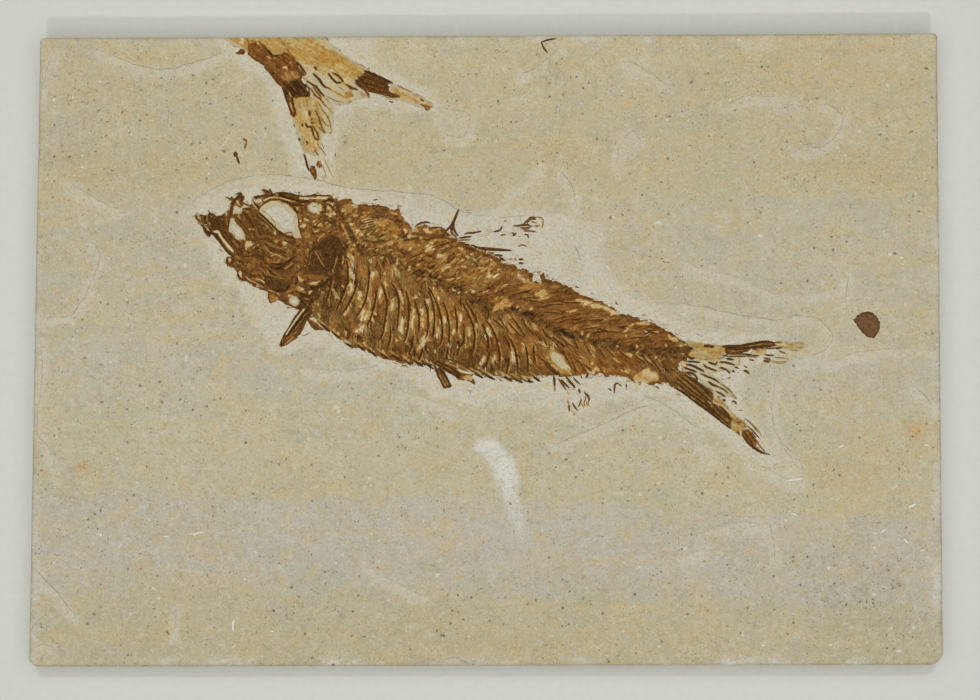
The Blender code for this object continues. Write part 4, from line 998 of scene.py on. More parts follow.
ribs = [
    [(-23.3, 15), (-23, 13.5), (-23.1, 11.5), (-23.9, 9), (-25, 6.5)],
    [(-21.5, 11.2), (-22, 9.5), (-22.8, 7.8), (-24, 6)],
    [(-19.6, 14.2), (-19.5, 12), (-19.8, 9.5), (-20.4, 7.5), (-21.8, 5.2)],
    [(-18.2, 10), (-18.4, 8.5), (-19, 6), (-19.8, 4)],
    [(-17.4, 11.2), (-16.8, 9.5), (-16.5, 7.5), (-16.8, 5), (-17.2, 2.8), (-17.9, 1.3)],
    [(-15.8, 11.3), (-14.9, 9.8), (-14.5, 7.5), (-14.7, 5), (-15, 3)],
    [(-13.4, 9.9), (-12.9, 8), (-12.9, 5), (-13.2, 2.8), (-13.7, 1.2)],
    [(-11.9, 8.3), (-11.4, 6.5), (-11.1, 4.5), (-11.2, 3)],
    [(-10.3, 8.2), (-9.8, 6.5), (-9.6, 4.5), (-9.8, 2.7), (-10.2, 1.8)],
    [(-9.6, 9.8), (-8.9, 8), (-8.6, 5.5), (-8.9, 2)],
    [(-9.8, 10.7), (-8.5, 8.5), (-7.7, 6.3), (-7.3, 4), (-7.3, 2.5), (-7.6, 1), (-8.3, 0.3)],
    [(-7.2, 8), (-6.5, 6.2), (-6.1, 3.2), (-6.3, 1.2)],
    [(-3.9, 7.8), (-3.2, 6.5), (-2.3, 4.5), (-1.9, 2.5), (-2, 0.5), (-2.4, -1)],
    [(-3.5, 8.2), (-2.2, 6.2), (-1.4, 4.6)], [(-3.7, 3.6), (-3.7, 1.5), (-4.5, 0.3), (-4.8, -1)],
    [(0, 5), (0.9, 3.7), (1.7, 2), (2.1, 0.3), (2.3, -1), (2.1, -3.3)],
    [(3.6, 2.3), (4.4, 1.2), (4.9, -0.3), (5.2, -2), (5.3, -3.8)], [(3, 2.3), (3.8, 1), (4.1, -0.2)],
    [(0.6, -0.5), (0.3, -1.5), (0, -3)], [(7.9, 0.8), (8, -1), (8.2, -2)],
    [(-5.2, 7.4), (-4.9, 5.2), (-4.8, 2.8)], [(-25.6, 13.4), (-25.9, 10.6), (-26.8, 7.6)],
    [(-15.9, 3.4), (-16.0, 1.6), (-16.6, 0.2)], [(-12.1, 2.4), (-12.4, 0.6), (-12.9, -0.8)],
    [(-10.6, 0.2), (-10.9, -1), (-11.3, -1.9)], [(-6.3, 0.2), (-6.6, -1.6)],
    [(3.9, -1.2), (3.7, -2.6), (3.4, -4)], [(6.6, 0.6), (6.9, -1.2), (7, -3.4)],
    [(-0.6, 4.4), (0.2, 2.2), (0.5, 0.4)],
]
# short bones behind the ribs, below and above the backbone
lowerSpines = [
    [(3.5, 4.8), (5.8, 2.3)], [(5, 4.8), (6.2, 2.6)], [(6.8, 4), (8.2, 2.2)], [(6, 5.5), (6.8, 3.5)],
    [(9.2, 3.8), (10.2, 2)], [(10.2, 2.5), (12.2, 0.5)], [(11, 2.2), (13, 0.5)], [(4.2, 5.6), (5.4, 3.8)],
    [(2.1, 5.4), (3.8, 3.0)], [(1.2, 5.2), (3.2, 3.4)], [(9.6, 2.0), (10.2, 0.6)],
    [(12.6, 2.0), (14.4, 0.4)], [(14.7, 1.6), (15.4, 0.2)], [(16.6, 0.8), (17.6, -0.9)],
    [(18.6, 0.5), (19.8, -1.2)], [(20.0, 0.2), (21.4, -1.2)], [(13.1, -0.8), (14.6, -3.4)],
    [(14.2, -1.6), (15.2, -3.8)], [(15.2, -1.6), (16.8, -3.6)], [(16.0, -2.2), (17.6, -3.4)],
    [(18.8, -2.9), (20, -4.4)], [(22.2, -0.2), (23.8, -1.4)], [(24.6, -0.8), (26.6, -2.2)],
    [(26.2, -1.4), (28.4, -3.2)], [(27.4, -1.2), (29.2, -3.8)], [(8.8, -1.2), (10.4, -2.4)],
]
upperSpines = [
    [(11.4, 5.0), (13.4, 5.7)], [(12.0, 4.4), (13.6, 5.2)], [(14.0, 4.0), (16.2, 4.9)],
    [(15.8, 3.4), (19, 3.9)], [(8.4, 7.0), (10.6, 7.5), (13, 7.6)], [(9.6, 6.3), (12, 6.2)],
    [(17.6, 2.9), (20, 3.1), (22.6, 2.9)], [(24, 2.0), (27.4, 2.2)], [(26.6, 3.4), (28.6, 2.6)],
    [(7.2, 8.3), (9.4, 7.9)], [(12.6, 7.9), (15.6, 7.9)], [(17.2, 4.9), (19.6, 5.1)],
    [(4.2, 9.2), (7.6, 10)], [(5.2, 8.4), (8.2, 8.9)], [(-9, 17), (-6, 18)], [(-12.4, 15.4), (-10.6, 16.2)],
]
scutes = [
    [(-24, 1.8), (-22.3, 0.6)], [(-21.8, 1.3), (-20.3, 0.1)], [(-20, 0.6), (-18.4, -0.8)],
    [(-17.9, -0.2), (-16.3, -1.3)], [(-16, -0.5), (-14.3, -1.5)], [(-14, -1.2), (-12.6, -2.2)],
    [(-12.2, -1.5), (-10.6, -2.5)], [(-10.4, -1.8), (-8.8, -2.9)], [(-6.6, -2.4), (-4.4, -3.4)],
    [(-4.4, -2.9), (-2.4, -4)], [(-2.6, -3.3), (-0.6, -4.4)], [(-0.6, -3.7), (1.4, -4.7)],
    [(2.2, -3.8), (4.3, -5)], [(4.2, -4.3), (6, -5.2)], [(6, -4.7), (7.8, -5.1)], [(7.5, -4), (8.9, -5)],
    [(-27.8, 4.8), (-26.2, 3.3)], [(-26, 3.5), (-24.4, 2.1)],
]

trunk = {
    "cell": 0.15,
    "regions": [  # loop, stain, rust
        (
            [(-22.5, 16), (-12, 15), (-6, 12), (2, 8), (12, 10), (3, 15), (-8, 20), (-16, 24), (-24, 25)],
            0.44, 0.36,
        ),
        ([(-2, 8.5), (6, 7), (16, 5), (16, 9), (10, 12), (4, 12)], 0.64, 0.62),
        ([(8, 4), (20, 1), (33, 0), (33, 3), (14, 10), (8, 9)], 0.62, 0.6),
        (
            [
                (-29, 6), (-25.5, 8), (-18, 4.5), (-9, 1.8), (-2, 0.2), (6, -1.4), (9, -2), (9, -6),
                (-9, -4), (-22, 0),
            ],
            0.64, 0.1,
        ),
        ([(10, 0.6), (16, -0.5), (27, -2), (27, -4.6), (10, -4.6)], 0.56, 0.72),
        ([(27, 3), (34, 1), (34.5, -3), (31, -6.5), (26, -3)], 0.70, 0.25),
        ([(5.8, 2.8), (8.4, 2.6), (8.9, -2.2), (6.2, -2.4)], 0.50, 0.9),
        ([(-25.6, 14.5), (-22, 13), (-23.2, 9), (-26.5, 6), (-28.6, 7)], 0.76, 0.1),
    ],
    "holes": [
        [
            (10.9, -0.4), (11.7, -0.5), (12.6, -1), (13, -1.8), (13.8, -2.9), (13.6, -3.2), (12.6, -3.2),
            (11.4, -2.3), (10.6, -1.4),
        ],
        [(-10.2, 2.5), (-9.9, 1.6), (-10.7, 0.3), (-11.4, 0.2), (-11.1, 1.4)],
        [(4.2, 0.1), (4.8, -0.6), (4.9, -2.0), (4.5, -2.2), (4.2, -1.2)],
        [(-0.4, -0.9), (-0.1, -1.6), (-0.8, -2.7), (-1.1, -2.3)],
        [(1.5, -0.5), (1.6, -1.4), (1.0, -2.1), (0.9, -1.5)],
    ],
    "slivers": [  # places where the skin is gone: points, width
        ([(-22.6, 11.2), (-22.5, 10.2), (-22.8, 9.3)], 0.55),
        ([(-20.9, 9.9), (-21.0, 9.0), (-21.2, 8.2)], 0.45),
        ([(-20.4, 6.8), (-20.5, 5.8), (-20.9, 4.8)], 0.7),
        ([(-17.6, 10.4), (-17.6, 9.6), (-17.8, 8.7)], 0.8),
        ([(-20.4, 4.1), (-21.0, 3.4), (-21.7, 3.0)], 0.7), ([(-9.7, 8.3), (-9.6, 7.4), (-9.5, 6.4)], 0.5),
        ([(-8.2, 4.1), (-8.1, 3.1), (-8.2, 2.0)], 0.4), ([(-15.6, 8.6), (-15.6, 7.4), (-15.8, 6.4)], 0.45),
        ([(-13.9, 5.2), (-14.0, 4.2), (-14.1, 3.2)], 0.4),
        ([(-18.8, 13.1), (-18.9, 12.4), (-18.9, 11.6)], 0.4),
        ([(-4.2, 6.2), (-4.2, 5.2), (-4.3, 4.2)], 0.4), ([(-12.2, 7.0), (-12.1, 5.6), (-12.3, 4.2)], 0.4),
        ([(-19.2, 8.0), (-19.6, 6.4), (-20.2, 5.2)], 0.4), ([(-22.9, 7.4), (-23.6, 5.6)], 0.35),
        ([(-10.7, 6.4), (-10.5, 5.0), (-10.6, 3.6)], 0.35), ([(-8.8, 9.6), (-8.2, 9.0), (-8.0, 8.4)], 0.5),
        ([(-7.0, 5.6), (-6.9, 4.4)], 0.3), ([(0.0, 3.6), (0.4, 3.0), (0.7, 2.4)], 0.9),
        ([(-5.4, 3.4), (-5.6, 1.8)], 0.3), ([(-2.9, 4.0), (-2.8, 2.4)], 0.3),
        ([(6.1, 1.2), (6.3, -0.6)], 0.3), ([(-11.0, 18.7), (-10.6, 18.5)], 0.35),
        ([(5.4, 12.8), (5.7, 11.9)], 0.7), ([(-8.6, 9.6), (-8.4, 8.8)], 0.4),
        ([(-16.6, 4.6), (-16.9, 3.0)], 0.35),
    ],
    "patches": [  # loop, stain, rust
        ([(-24.2, 25.1), (-22.6, 25.1), (-23.2, 24.4), (-23.8, 24.4)], 0.74, 0.8),
        ([(-23.9, 24.2), (-22.6, 24.4), (-21.8, 23.6), (-22.4, 22.8), (-23.4, 23.1)], 0.42, 0.5),
        ([(-21.9, 23.9), (-21.5, 23.9), (-21.5, 23.2), (-21.9, 23.1)], 0.12, 0.3),
        ([(-21.5, 24.1), (-20.9, 24.4), (-20.5, 23.8), (-20.6, 22.8), (-21.3, 22.6)], 0.72, 0.1),
        ([(-20.3, 23.9), (-19.4, 23.8), (-19.3, 23.1), (-20.1, 23.1)], 0.6, 1.0),
        (
            [(-19.2, 22.4), (-18.4, 23.2), (-17.4, 23.7), (-16.7, 23.3), (-16.8, 22.4), (-17.9, 22.1)], 0.7,
            0.0,
        ),
        ([(-19.8, 23.0), (-19.4, 23.0), (-19.4, 22.6)], 0.1, 0.3),
        (
            [(-15.8, 23.4), (-14.4, 23.3), (-14.0, 22.4), (-14.5, 21.7), (-15.4, 22.0), (-16.0, 22.7)],
            0.58, 0.7,
        ),
        (
            [(-18.6, 21.2), (-17.8, 21.8), (-16.6, 21.9), (-16, 21.2), (-16.2, 20.6), (-17.4, 20.4)], 0.34,
            0.6,
        ),
        ([(-18.1, 21.2), (-17.5, 21.1), (-17.7, 20.8)], 0.12, 0.4),
        (
            [(-16.2, 21.8), (-15.0, 21.2), (-14.4, 20.2), (-14.9, 19.4), (-16.0, 19.9), (-16.6, 20.9)],
            0.44, 0.7,
        ),
        ([(-14, 21.4), (-13, 20.7), (-12.6, 20.1), (-13.2, 19.4), (-13.9, 20.2)], 0.5, 0.9),
        (
            [(-12.2, 19.8), (-11.2, 20.9), (-10.4, 21.1), (-10.5, 20.4), (-11.1, 20.0), (-11.7, 19.3)],
            0.26, 0.4,
        ),
        ([(-11.3, 18.9), (-10.8, 20.2), (-10.1, 19.3), (-10.1, 18.8)], 0.62, 0.0),
        ([(-10.4, 20.6), (-9.2, 20.4), (-9.1, 19.3), (-9.9, 19.2), (-10.3, 19.8)], 0.1, 0.6),
        ([(-9.1, 20.2), (-7.9, 20.4), (-6.9, 20.0), (-7.1, 19.3), (-8.9, 19.3)], 0.34, 0.6),
        ([(-14.6, 18.3), (-12.4, 18.3), (-11.8, 17.2), (-13.4, 16.7), (-14.8, 17.2)], 0.38, 0.7),
        ([(-13.7, 20.3), (-13.1, 20.2), (-12.9, 19.6), (-13.4, 19.5)], 0.12, 0.4),
        (
            [(1.8, 7.6), (3, 8.5), (3.7, 8.3), (4.4, 7.8), (4.1, 7.2), (2.2, 6.6), (1.1, 6.3), (1.2, 6.9)],
            0.22, 0.8,
        ),
        ([(8.3, 9.8), (9.3, 10.4), (9.8, 9.8), (10.5, 9.2), (10, 8.8), (9.2, 8.5), (8.4, 9)], 0.2, 0.6),
        ([(5.5, 10.2), (8.5, 10), (9.4, 10.8), (9, 11.4), (6.4, 11.4)], 0.38, 0.9),
        (
            [
                (14.9, 8.2), (16, 8.6), (17, 8.4), (18.2, 8.1), (20, 7.3), (21.3, 6.8), (22.5, 6.1),
                (22, 5.6), (21, 5.9), (19.5, 6.8), (18, 7.1), (16, 7.4), (14.9, 7.9),
            ],
            0.12, 0.5,
        ),
        ([(24.6, 4.6), (26.8, 4.7), (27.2, 4.2), (25.5, 4.1)], 0.16, 0.5),
        (
            [
                (25, -5.4), (24.5, -4.5), (26.5, -3.2), (27, -2.9), (28, -3.5), (28.7, -4.4), (28.5, -5.2),
                (27.5, -5.4),
            ],
            0.2, 0.6,
        ),
        ([(25.6, -3.9), (26.8, -3.2), (27.9, -3.7), (28.4, -4.5), (27, -4.6)], 0.15, 0.3),
        ([(30, 2.7), (31.6, 2.1), (31.9, 1.5), (31.3, 1.3), (30.2, 2.1)], 0.2, 0.6),
        ([(6.0, 12.0), (6.6, 11.9), (6.4, 11.3), (6.0, 11.5)], 0.12, 0.4),
        ([(7.2, 6.9), (7.6, 7.2), (7.6, 6.6), (7.2, 6.5)], 0.12, 0.4),
        ([(7.3, 4.4), (8.4, 4.2), (8.5, 3.3), (7.8, 3.4)], 0.12, 0.6),
        ([(14.4, 3.9), (15.0, 4.0), (14.8, 3.5), (14.2, 3.5)], 0.08, 0.3),
        ([(-2.6, 10.1), (-2.0, 10.2), (-1.9, 9.6), (-2.5, 9.5)], 0.08, 0.3),
        ([(1.3, 12.6), (2.3, 12.8), (2.1, 12.1)], 0.15, 0.5),
        ([(-8.0, 15.9), (-7.3, 15.9), (-7.4, 15.4), (-8, 15.4)], 0.08, 0.3),
        ([(17.2, -2.2), (17.7, -2.1), (17.7, -2.6)], 0.12, 0.3),
        ([(21.0, -3.4), (21.8, -3.1), (21.6, -3.7)], 0.12, 0.3),
        ([(22.3, -3.2), (23.9, -3.4), (23.8, -3.8), (22.4, -3.6)], 0.12, 0.3),
        ([(30.0, 0.9), (30.4, 0.9), (30.3, 0.4), (29.9, 0.4)], 0.12, 0.3),
        ([(28.0, 1.6), (28.8, 1.6), (28.4, 1.2)], 0.1, 0.3),
        ([(28.0, 3.2), (28.5, 3.1), (28.3, 2.7)], 0.1, 0.3),
        ([(32.2, 1.1), (32.7, 0.9), (32.3, 0.6)], 0.1, 0.3),
        ([(25.0, 0.7), (25.4, 0.8), (25.4, 0.3), (25.0, 0.3)], 0.1, 0.3),
        ([(30.6, 0.3), (31.1, 0.2), (30.9, -0.1)], 0.08, 0.3),
    ],
    "lines": [  # points, width, stain, rust
        ([(24.6, 4.4), (23.8, 3.8), (23.3, 3.2), (22.9, 3)], 0.35, 0.12, 0.4),
        ([(23.2, 2.7), (23.4, 2.2)], 0.35, 0.15, 0.4), ([(22.9, -0.7), (24.4, -0.8)], 0.3, 0.15, 0.3),
        ([(24.8, -0.9), (26.4, -1.6), (27.4, -2.2)], 0.25, 0.2, 0.3),
        ([(9.9, -2.3), (11.5, -3.8), (12.2, -4.4)], 0.55, 0.9, 0.1),
        ([(10.6, -1.7), (11.4, -2.4), (12.2, -3.2), (13.6, -3.5)], 0.26, 0.9, 0.2),
        ([(10.3, -1.8), (11.2, -2.6), (12.2, -3.5), (12.8, -3.9)], 0.24, 0.08, 0.2),
        ([(17.7, -4.1), (18.3, -3.0), (18.9, -3.4)], 0.5, 0.1, 0.5),
        ([(19.7, -2.9), (19.8, -3.7)], 0.26, 0.1, 0.4),
        ([(18.8, -2.6), (19.3, -3.5), (19.9, -4.3)], 0.24, 0.86, 0.4),
        ([(10.4, 2.4), (11.1, 1.4), (11.1, 0)], 0.35, 0.25, 0.8),
        ([(-25, 24.5), (-24.2, 22.5), (-23.7, 21.7)], 0.6, 0.82, 0.1),
        ([(-23.3, 21.1), (-22.4, 19.2), (-21.7, 17.8)], 0.85, 0.8, 0.0),
        ([(-21.5, 17.2), (-20.5, 16)], 0.6, 0.84, 0.15),
        ([(-24.2, 21.4), (-23.2, 19.2), (-22.5, 17.6)], 0.14, 0.22, 0.4),
        ([(-22.7, 20.9), (-21.8, 19.4), (-21.1, 18.2)], 0.12, 0.26, 0.5),
        ([(-20.5, 24.2), (-19, 24), (-17.2, 24), (-16.5, 23.8)], 0.3, 0.86, 0.3),
        ([(-19.2, 22.2), (-18, 22.0), (-16.9, 22.3)], 0.25, 0.86, 0.3),
        ([(-15.9, 21.9), (-14.9, 21.3), (-14.3, 20.4), (-13.9, 19.6), (-13.5, 19.0)], 0.3, 0.86, 0.3),
        ([(-13.9, 21.5), (-13, 20.8), (-12.5, 20.2)], 0.2, 0.8, 0.5),
        ([(-15.8, 22.9), (-14.8, 22.6)], 0.24, 0.12, 0.4), ([(-15.6, 23.4), (-14.4, 23.4)], 0.2, 0.84, 0.4),
        ([(-14.9, 21.8), (-14.4, 21.6)], 0.3, 0.92, 0.2),
        ([(-13.8, 18.1), (-12, 18.6), (-10, 18.3), (-8.2, 18.9), (-7, 18.6)], 0.45, 0.78, 0.0),
        ([(-8.8, 17.1), (-7.4, 17.5), (-6.2, 17.9)], 0.3, 0.86, 0.2),
        ([(-9.8, 17.7), (-9.8, 16.9), (-10.0, 16.3)], 0.3, 0.1, 0.3),
        ([(-11.0, 16.1), (-10.7, 15.5)], 0.26, 0.12, 0.3),
        ([(-7.4, 13.0), (-6.6, 13.7), (-5.8, 13.9)], 0.2, 0.14, 0.4),
        ([(-6.6, 14.2), (-5.7, 14.4)], 0.18, 0.18, 0.4),
        ([(-10.3, 13.7), (-9.4, 13.2), (-8.8, 12.8)], 0.18, 0.16, 0.4),
        ([(-10.3, 12.0), (-9.7, 11.6)], 0.2, 0.2, 0.4), ([(-8.8, 11.7), (-8.1, 11.6)], 0.24, 0.12, 0.4),
        ([(-4.1, 13.9), (-3.3, 13.8)], 0.22, 0.1, 0.3),
        ([(0.4, 13.6), (0.5, 12.8), (0.5, 12.0)], 0.34, 0.12, 0.4),
        ([(-2.4, 15.3), (-1.8, 15.0)], 0.34, 0.07, 0.2), ([(-3.3, 15.7), (-2.9, 15.5)], 0.44, 0.07, 0.2),
        ([(-19.9, 16.8), (-18.7, 16.9)], 0.2, 0.25, 0.3), ([(-10.4, 15.3), (-9.6, 15.3)], 0.5, 0.45, 1.0),
        ([(-5.8, 16.6), (-5.0, 16.9)], 0.6, 0.45, 1.0), ([(-20.7, 14.2), (-20.4, 12.4)], 0.8, 0.42, 1.0),
        ([(-12.6, 15.6), (-11.4, 15.9), (-10.2, 16.9)], 0.24, 0.84, 0.3),
        ([(-7.9, 15.6), (-7.3, 15.7)], 0.34, 0.08, 0.3),
        ([(-20.4, 18.2), (-18.6, 18.0), (-16.6, 18.1)], 0.3, 0.84, 0.2),
        ([(-15.8, 17.0), (-13.6, 16.2), (-12.2, 15.9)], 0.24, 0.82, 0.4),
        ([(-19.2, 19.4), (-18.0, 18.8), (-16.8, 19.4)], 0.3, 0.74, 0.2),
        ([(-15.4, 19.2), (-14.8, 18.8)], 0.5, 0.2, 0.4),
        ([(-6.4, 12.0), (-5.0, 12.6), (-3.8, 12.2)], 0.22, 0.8, 0.5),
        ([(-4.9, 15.2), (-3.9, 14.9)], 0.2, 0.2, 0.4), ([(-0.9, 14.9), (-0.2, 14.0)], 0.24, 0.22, 0.5),
        ([(5.3, 14.5), (6.8, 14.2)], 0.35, 0.02, 0.3),
        ([(9.9, 12), (12.4, 11.2), (14.3, 10.3)], 0.8, 0.78, 0.5),
        ([(-4.6, 17.6), (-1, 16.2), (2.4, 14.9)], 0.5, 0.76, 0.5),
        ([(2.2, 14.2), (5, 13.7), (7, 13.2)], 0.6, 0.76, 0.5),
        ([(-12.4, 19.4), (-8, 19), (-5, 18.2)], 0.5, 0.78, 0.4),
        ([(28, 4), (30.4, 3), (32, 2.2), (33.4, 1.2)], 0.5, 0.82, 0.3),
        ([(16.2, 9), (17.2, 8.8)], 0.5, 0.72, 0.7), ([(18.4, 8.4), (19.1, 8.1)], 0.4, 0.74, 0.6),
        ([(20, 7.6), (20.8, 7.2)], 0.45, 0.76, 0.5), ([(21.3, 6.9), (22.3, 6.5)], 0.45, 0.74, 0.5),
        ([(20.2, -3.9), (24.4, -4.5)], 0.7, 0.62, 1.0),
        ([(27.5, -5.5), (30, -5.4), (31.2, -5.8)], 0.5, 0.7, 0.7),
        ([(23.5, 5.9), (26, 5.0)], 0.35, 0.8, 0.3),
    ],
    "nodes": [
        (12.8, 3.2), (13.2, 2.8), (14.2, 2.1), (15, 3.0), (6.6, 6.0), (7.4, 6.2), (18.2, 1.2), (4.6, 6.9),
        (24.6, 0.0),
    ],
}


def overBackbone(x, y):
    # how far a place is from the backbone, and whether it lies above it
    line = np.array(backbone)
    return pathDistance(x, y, backbone)[0], y > np.interp(x, line[:, 0], line[:, 1])


def paintTrunk(sheet):
    x, y = sheet["x"], sheet["y"]
    for loop, stain, rust in trunk["regions"]:
        paintArea(sheet, loop, 0.85, 1.2, 0.7, stain=stain, rust=rust)
    spineDistance, above = overBackbone(x, y)
    rear = smooth(1, 7, x)
    upFront, upRear = above * (1 - rear), above * rear
    lowRear = (1 - above) * smooth(3, 8, x)
    lowFront = (1 - above) * (1 - smooth(3, 8, x))
    # the lighter height of the ribs, above the belly
    belt = lowFront * smooth(1.5, 4.0, y - 0.1 * x * (x < -9))
    sheet["stain"] += 0.08 * layeredNoise(x, y, 2.4, 101)
    crush(sheet, upFront * (x < -5), 22, 1.5, 0.6, 102, 0.15, pale=0.04, dark=0.08, edge=0.16)
    crush(sheet, upFront * (x >= -5), 34, 1.0, 0.45, 104, 0.13, pale=0.07, dark=0.09, edge=0.14)
    crush(sheet, upFront, 24, 0.6, 0.28, 106, 0.13, pale=0.05, dark=0.06, edge=0.1)
    sheet["stain"] -= 0.05 * belt
    crush(sheet, belt, -72, 2.2, 0.7, 108, 0.12, pale=0.06, dark=0.03, edge=0.04)
    crush(sheet, lowFront - belt, -66, 1.2, 0.5, 110, 0.1, pale=0.02, dark=0.08, edge=0.08)
    crush(sheet, lowFront, -62, 0.8, 0.3, 112, 0.07, pale=0.05, dark=0.04, edge=0.04)
    crush(sheet, upRear, 8, 1.8, 0.34, 114, 0.12, pale=0.02, dark=0.05, edge=0.08)
    crush(sheet, lowRear, -46, 1.5, 0.34, 116, 0.13, pale=0.05, dark=0.05, edge=0.1)
    sheet["rust"] += 0.5 * layeredNoise(x, y, 1.8, 118)
    column = smooth(1.5, 0.5, spineDistance)
    paintLine(sheet, backbone, 1.0, 0.6, 0.7, stain=0.74, rust=0.0, lift=0.07)
    crush(sheet, column, 20, 0.5, 0.36, 120, 0.2, pale=0.06, dark=0.16, edge=0.1)
    for place in trunk["nodes"]:
        paintArea(sheet, oval(*place, 0.9, 0.5, -25), 0.9, 0.2, 0.2, stain=1.0, rust=0.0)
    for loop, stain, rust in trunk["patches"]:
        paintArea(sheet, loop, 0.92, 0.12, 0.24, stain=stain, rust=rust, lift=-0.05)
    for k in range(4):  # the comb of small bones behind the nape
        row = [(-20.7 + 0.05 * k, 20.1 + 0.42 * k), (-19.6, 20.4 + 0.42 * k), (-18.6, 20.7 + 0.36 * k)]
        paintLine(sheet, row, 0.16, 0.9, 0.08, stain=0.88, rust=0.3)
        paintLine(sheet, [(px, py + 0.21) for px, py in row], 0.12, 0.9, 0.08, stain=0.16, rust=0.4)
    for points, width, stain, rust in trunk["lines"]:
        paintLine(sheet, points, width, 0.88, 0.1, stain=stain, rust=rust)
    rim = smoothPath(back, 1.0)
    rng = np.random.default_rng(121)
    for (ax, ay), (bx, by) in zip(rim[:-2], rim[2:]):  # lumpy scales along the back
        turn = math.degrees(math.atan2(by - ay, bx - ax)) + rng.normal(0, 20)
        place = ((ax + bx) / 2 + rng.normal(0, 0.1), (ay + by) / 2 - rng.uniform(0.1, 0.8))
        if ax < 22 and rng.random() < 0.7:
            paintArea(sheet, oval(*place, rng.uniform(0.7, 1.3), rng.uniform(0.4, 0.7), turn), 0.8, 0.1, 0.15,
                      stain=rng.uniform(0.66, 0.86), rust=0.6, lift=0.06)
    for points, width in trunk["slivers"]:
        paintLine(sheet, points, width + 0.4, 0.6, 0.2, 0.25, stain=0.3, rust=0.8)
        paintLine(sheet, points, width * 0.75, 0.95, 0.07, 0.2, stain=0.08, rust=0.4, lift=-0.08)
    for rib in ribs:
        # a pale line beside each rib: a painted highlight on the rib's lit side
        beside = [(px + 0.3, py + 0.05) for px, py in rib]
        paintLine(sheet, beside, 0.2, 0.6, 0.1, stain=0.22, rust=0.5, lift=-0.05)
        paintLine(sheet, rib, 0.22, 0.9, 0.08, stain=0.92, rust=0.55, lift=0.04)
    for bone in lowerSpines + upperSpines:
        # a pale line beside each bone: a painted highlight on its lit side
        beside = [(px + 0.2, py + 0.22) for px, py in bone]
        paintLine(sheet, beside, 0.2, 0.6, 0.1, stain=0.3, rust=0.5)
        paintLine(sheet, bone, 0.2, 0.8, 0.1, stain=0.84, rust=0.3, lift=0.02)
    for bone in scutes:  # pale stone between the pointed scutes of the belly
        paintLine(sheet, [(px - 0.2, py + 0.4) for px, py in bone], 0.2, 0.8, 0.1, stain=0.16, rust=0.4)
    for loop in trunk["holes"]:
        ring = np.array(loop)
        wider = ring.mean(axis=0) + (ring - ring.mean(axis=0)) * 1.4
        paintArea(sheet, wider, 0.7, 0.25, 0.2, stain=0.24, rust=0.6)
        cutHole(sheet, loop, 0.12, 0.7, 0.16)
    sheet["inside"] += 0.18 * noiseAt(x, y, 0.8, 122) + 0.16 * noiseAt(x, y, 0.35, 123)
    return sheet


def seededFibres(sheet, count, seed, pick):
    # fine split fibres and scraps of bone that follow the grain of the body
    rng = np.random.default_rng(seed)
    guides = []
    low, high = (sheet["x"][0, 0], sheet["y"][0, 0]), (sheet["x"][0, -1], sheet["y"][-1, 0])
    while len(guides) < count:
        px, py = rng.uniform(low[0], high[0]), rng.uniform(low[1], high[1])
        i = min(int((px - low[0]) / sheet["cell"]), sheet["x"].shape[1] - 1)
        j = min(int((py - low[1]) / sheet["cell"]), sheet["x"].shape[0] - 1)
        if sheet["inside"][j, i] < 0.35:
            continue
        degrees, spread, size, wide = pick(px, py)
        turn = math.radians(degrees + rng.normal(0, spread))
        length = rng.uniform(0.35, 1.0) * size
        bend = rng.normal(0, 0.12) * length
        alongX, alongY = math.cos(turn) * length / 2, math.sin(turn) * length / 2
        middle = (px + math.sin(turn) * bend, py - math.cos(turn) * bend)
        ends = [(px - alongX, py - alongY), middle, (px + alongX, py + alongY)]
        here = sheet["stain"][j, i]
        tone = np.clip(here + rng.choice([0.2, 0.15, -0.2]) * rng.uniform(0.6, 1.3), 0.04, 0.98)
        guides.append((lay(sheet, ends, 0.0), wide * rng.uniform(0.7, 1.3), tone, float(sheet["rust"][j, i])))
    return guides


def trunkGrain(px, py):
    # direction, spread, length and width of the fibres round a place
    middle = np.interp(px, np.array(backbone)[:, 0], np.array(backbone)[:, 1])
    if py > middle + 0.6:
        return (22, 30, 1.2, 0.22) if px < 3 else (10, 14, 1.8, 0.2)
    if py > middle - 0.8:
        return -25, 50, 0.9, 0.28
    return (-84, 12, 2.0, 0.2) if px < 4 else (-48, 12, 1.9, 0.2)


trunkSheet = paintTrunk(newSheet([back + belly + gillEdge], trunk["cell"]))
trunkSkin = settle(makeFilm("trunk_skin", trunkSheet, fossilBone), "bone", "fish_trunk")

ribGuides = [(lay(trunkSheet, rib, 0.0, 0.06), 0.27, 0.94, 0.6) for rib in ribs]
ribGuides += [(lay(trunkSheet, bone, 0.0, 0.03), 0.2, 0.88, 0.55) for bone in lowerSpines + upperSpines]
ribGuides += [(lay(trunkSheet, [(px + 0.2, py - 0.3) for px, py in bone], 0.02, 0.05), 0.42, 0.94, 0.15)
              for bone in scutes]
ribCage = settle(growStrands("rib_cage", ribGuides, fossilStrand), "dark_bone")
fibreGuides = seededFibres(trunkSheet, 1500, 131, trunkGrain)
fibreGuides += crumbs(back, 260, 141, (0.2, 0.45, 0.75))
fibreGuides += crumbs(belly, 240, 142, (0.25, 0.6, 0.85), 0.3)
fibreSizes = {"Sides": 5, "Step": 0.4, "Wander": 0.1}
fibres = settle(growStrands("trunk_fibres", fibreGuides, fossilStrand, fibreSizes), "bone")

# skull: crushed plates, struts, eye socket and gill cover

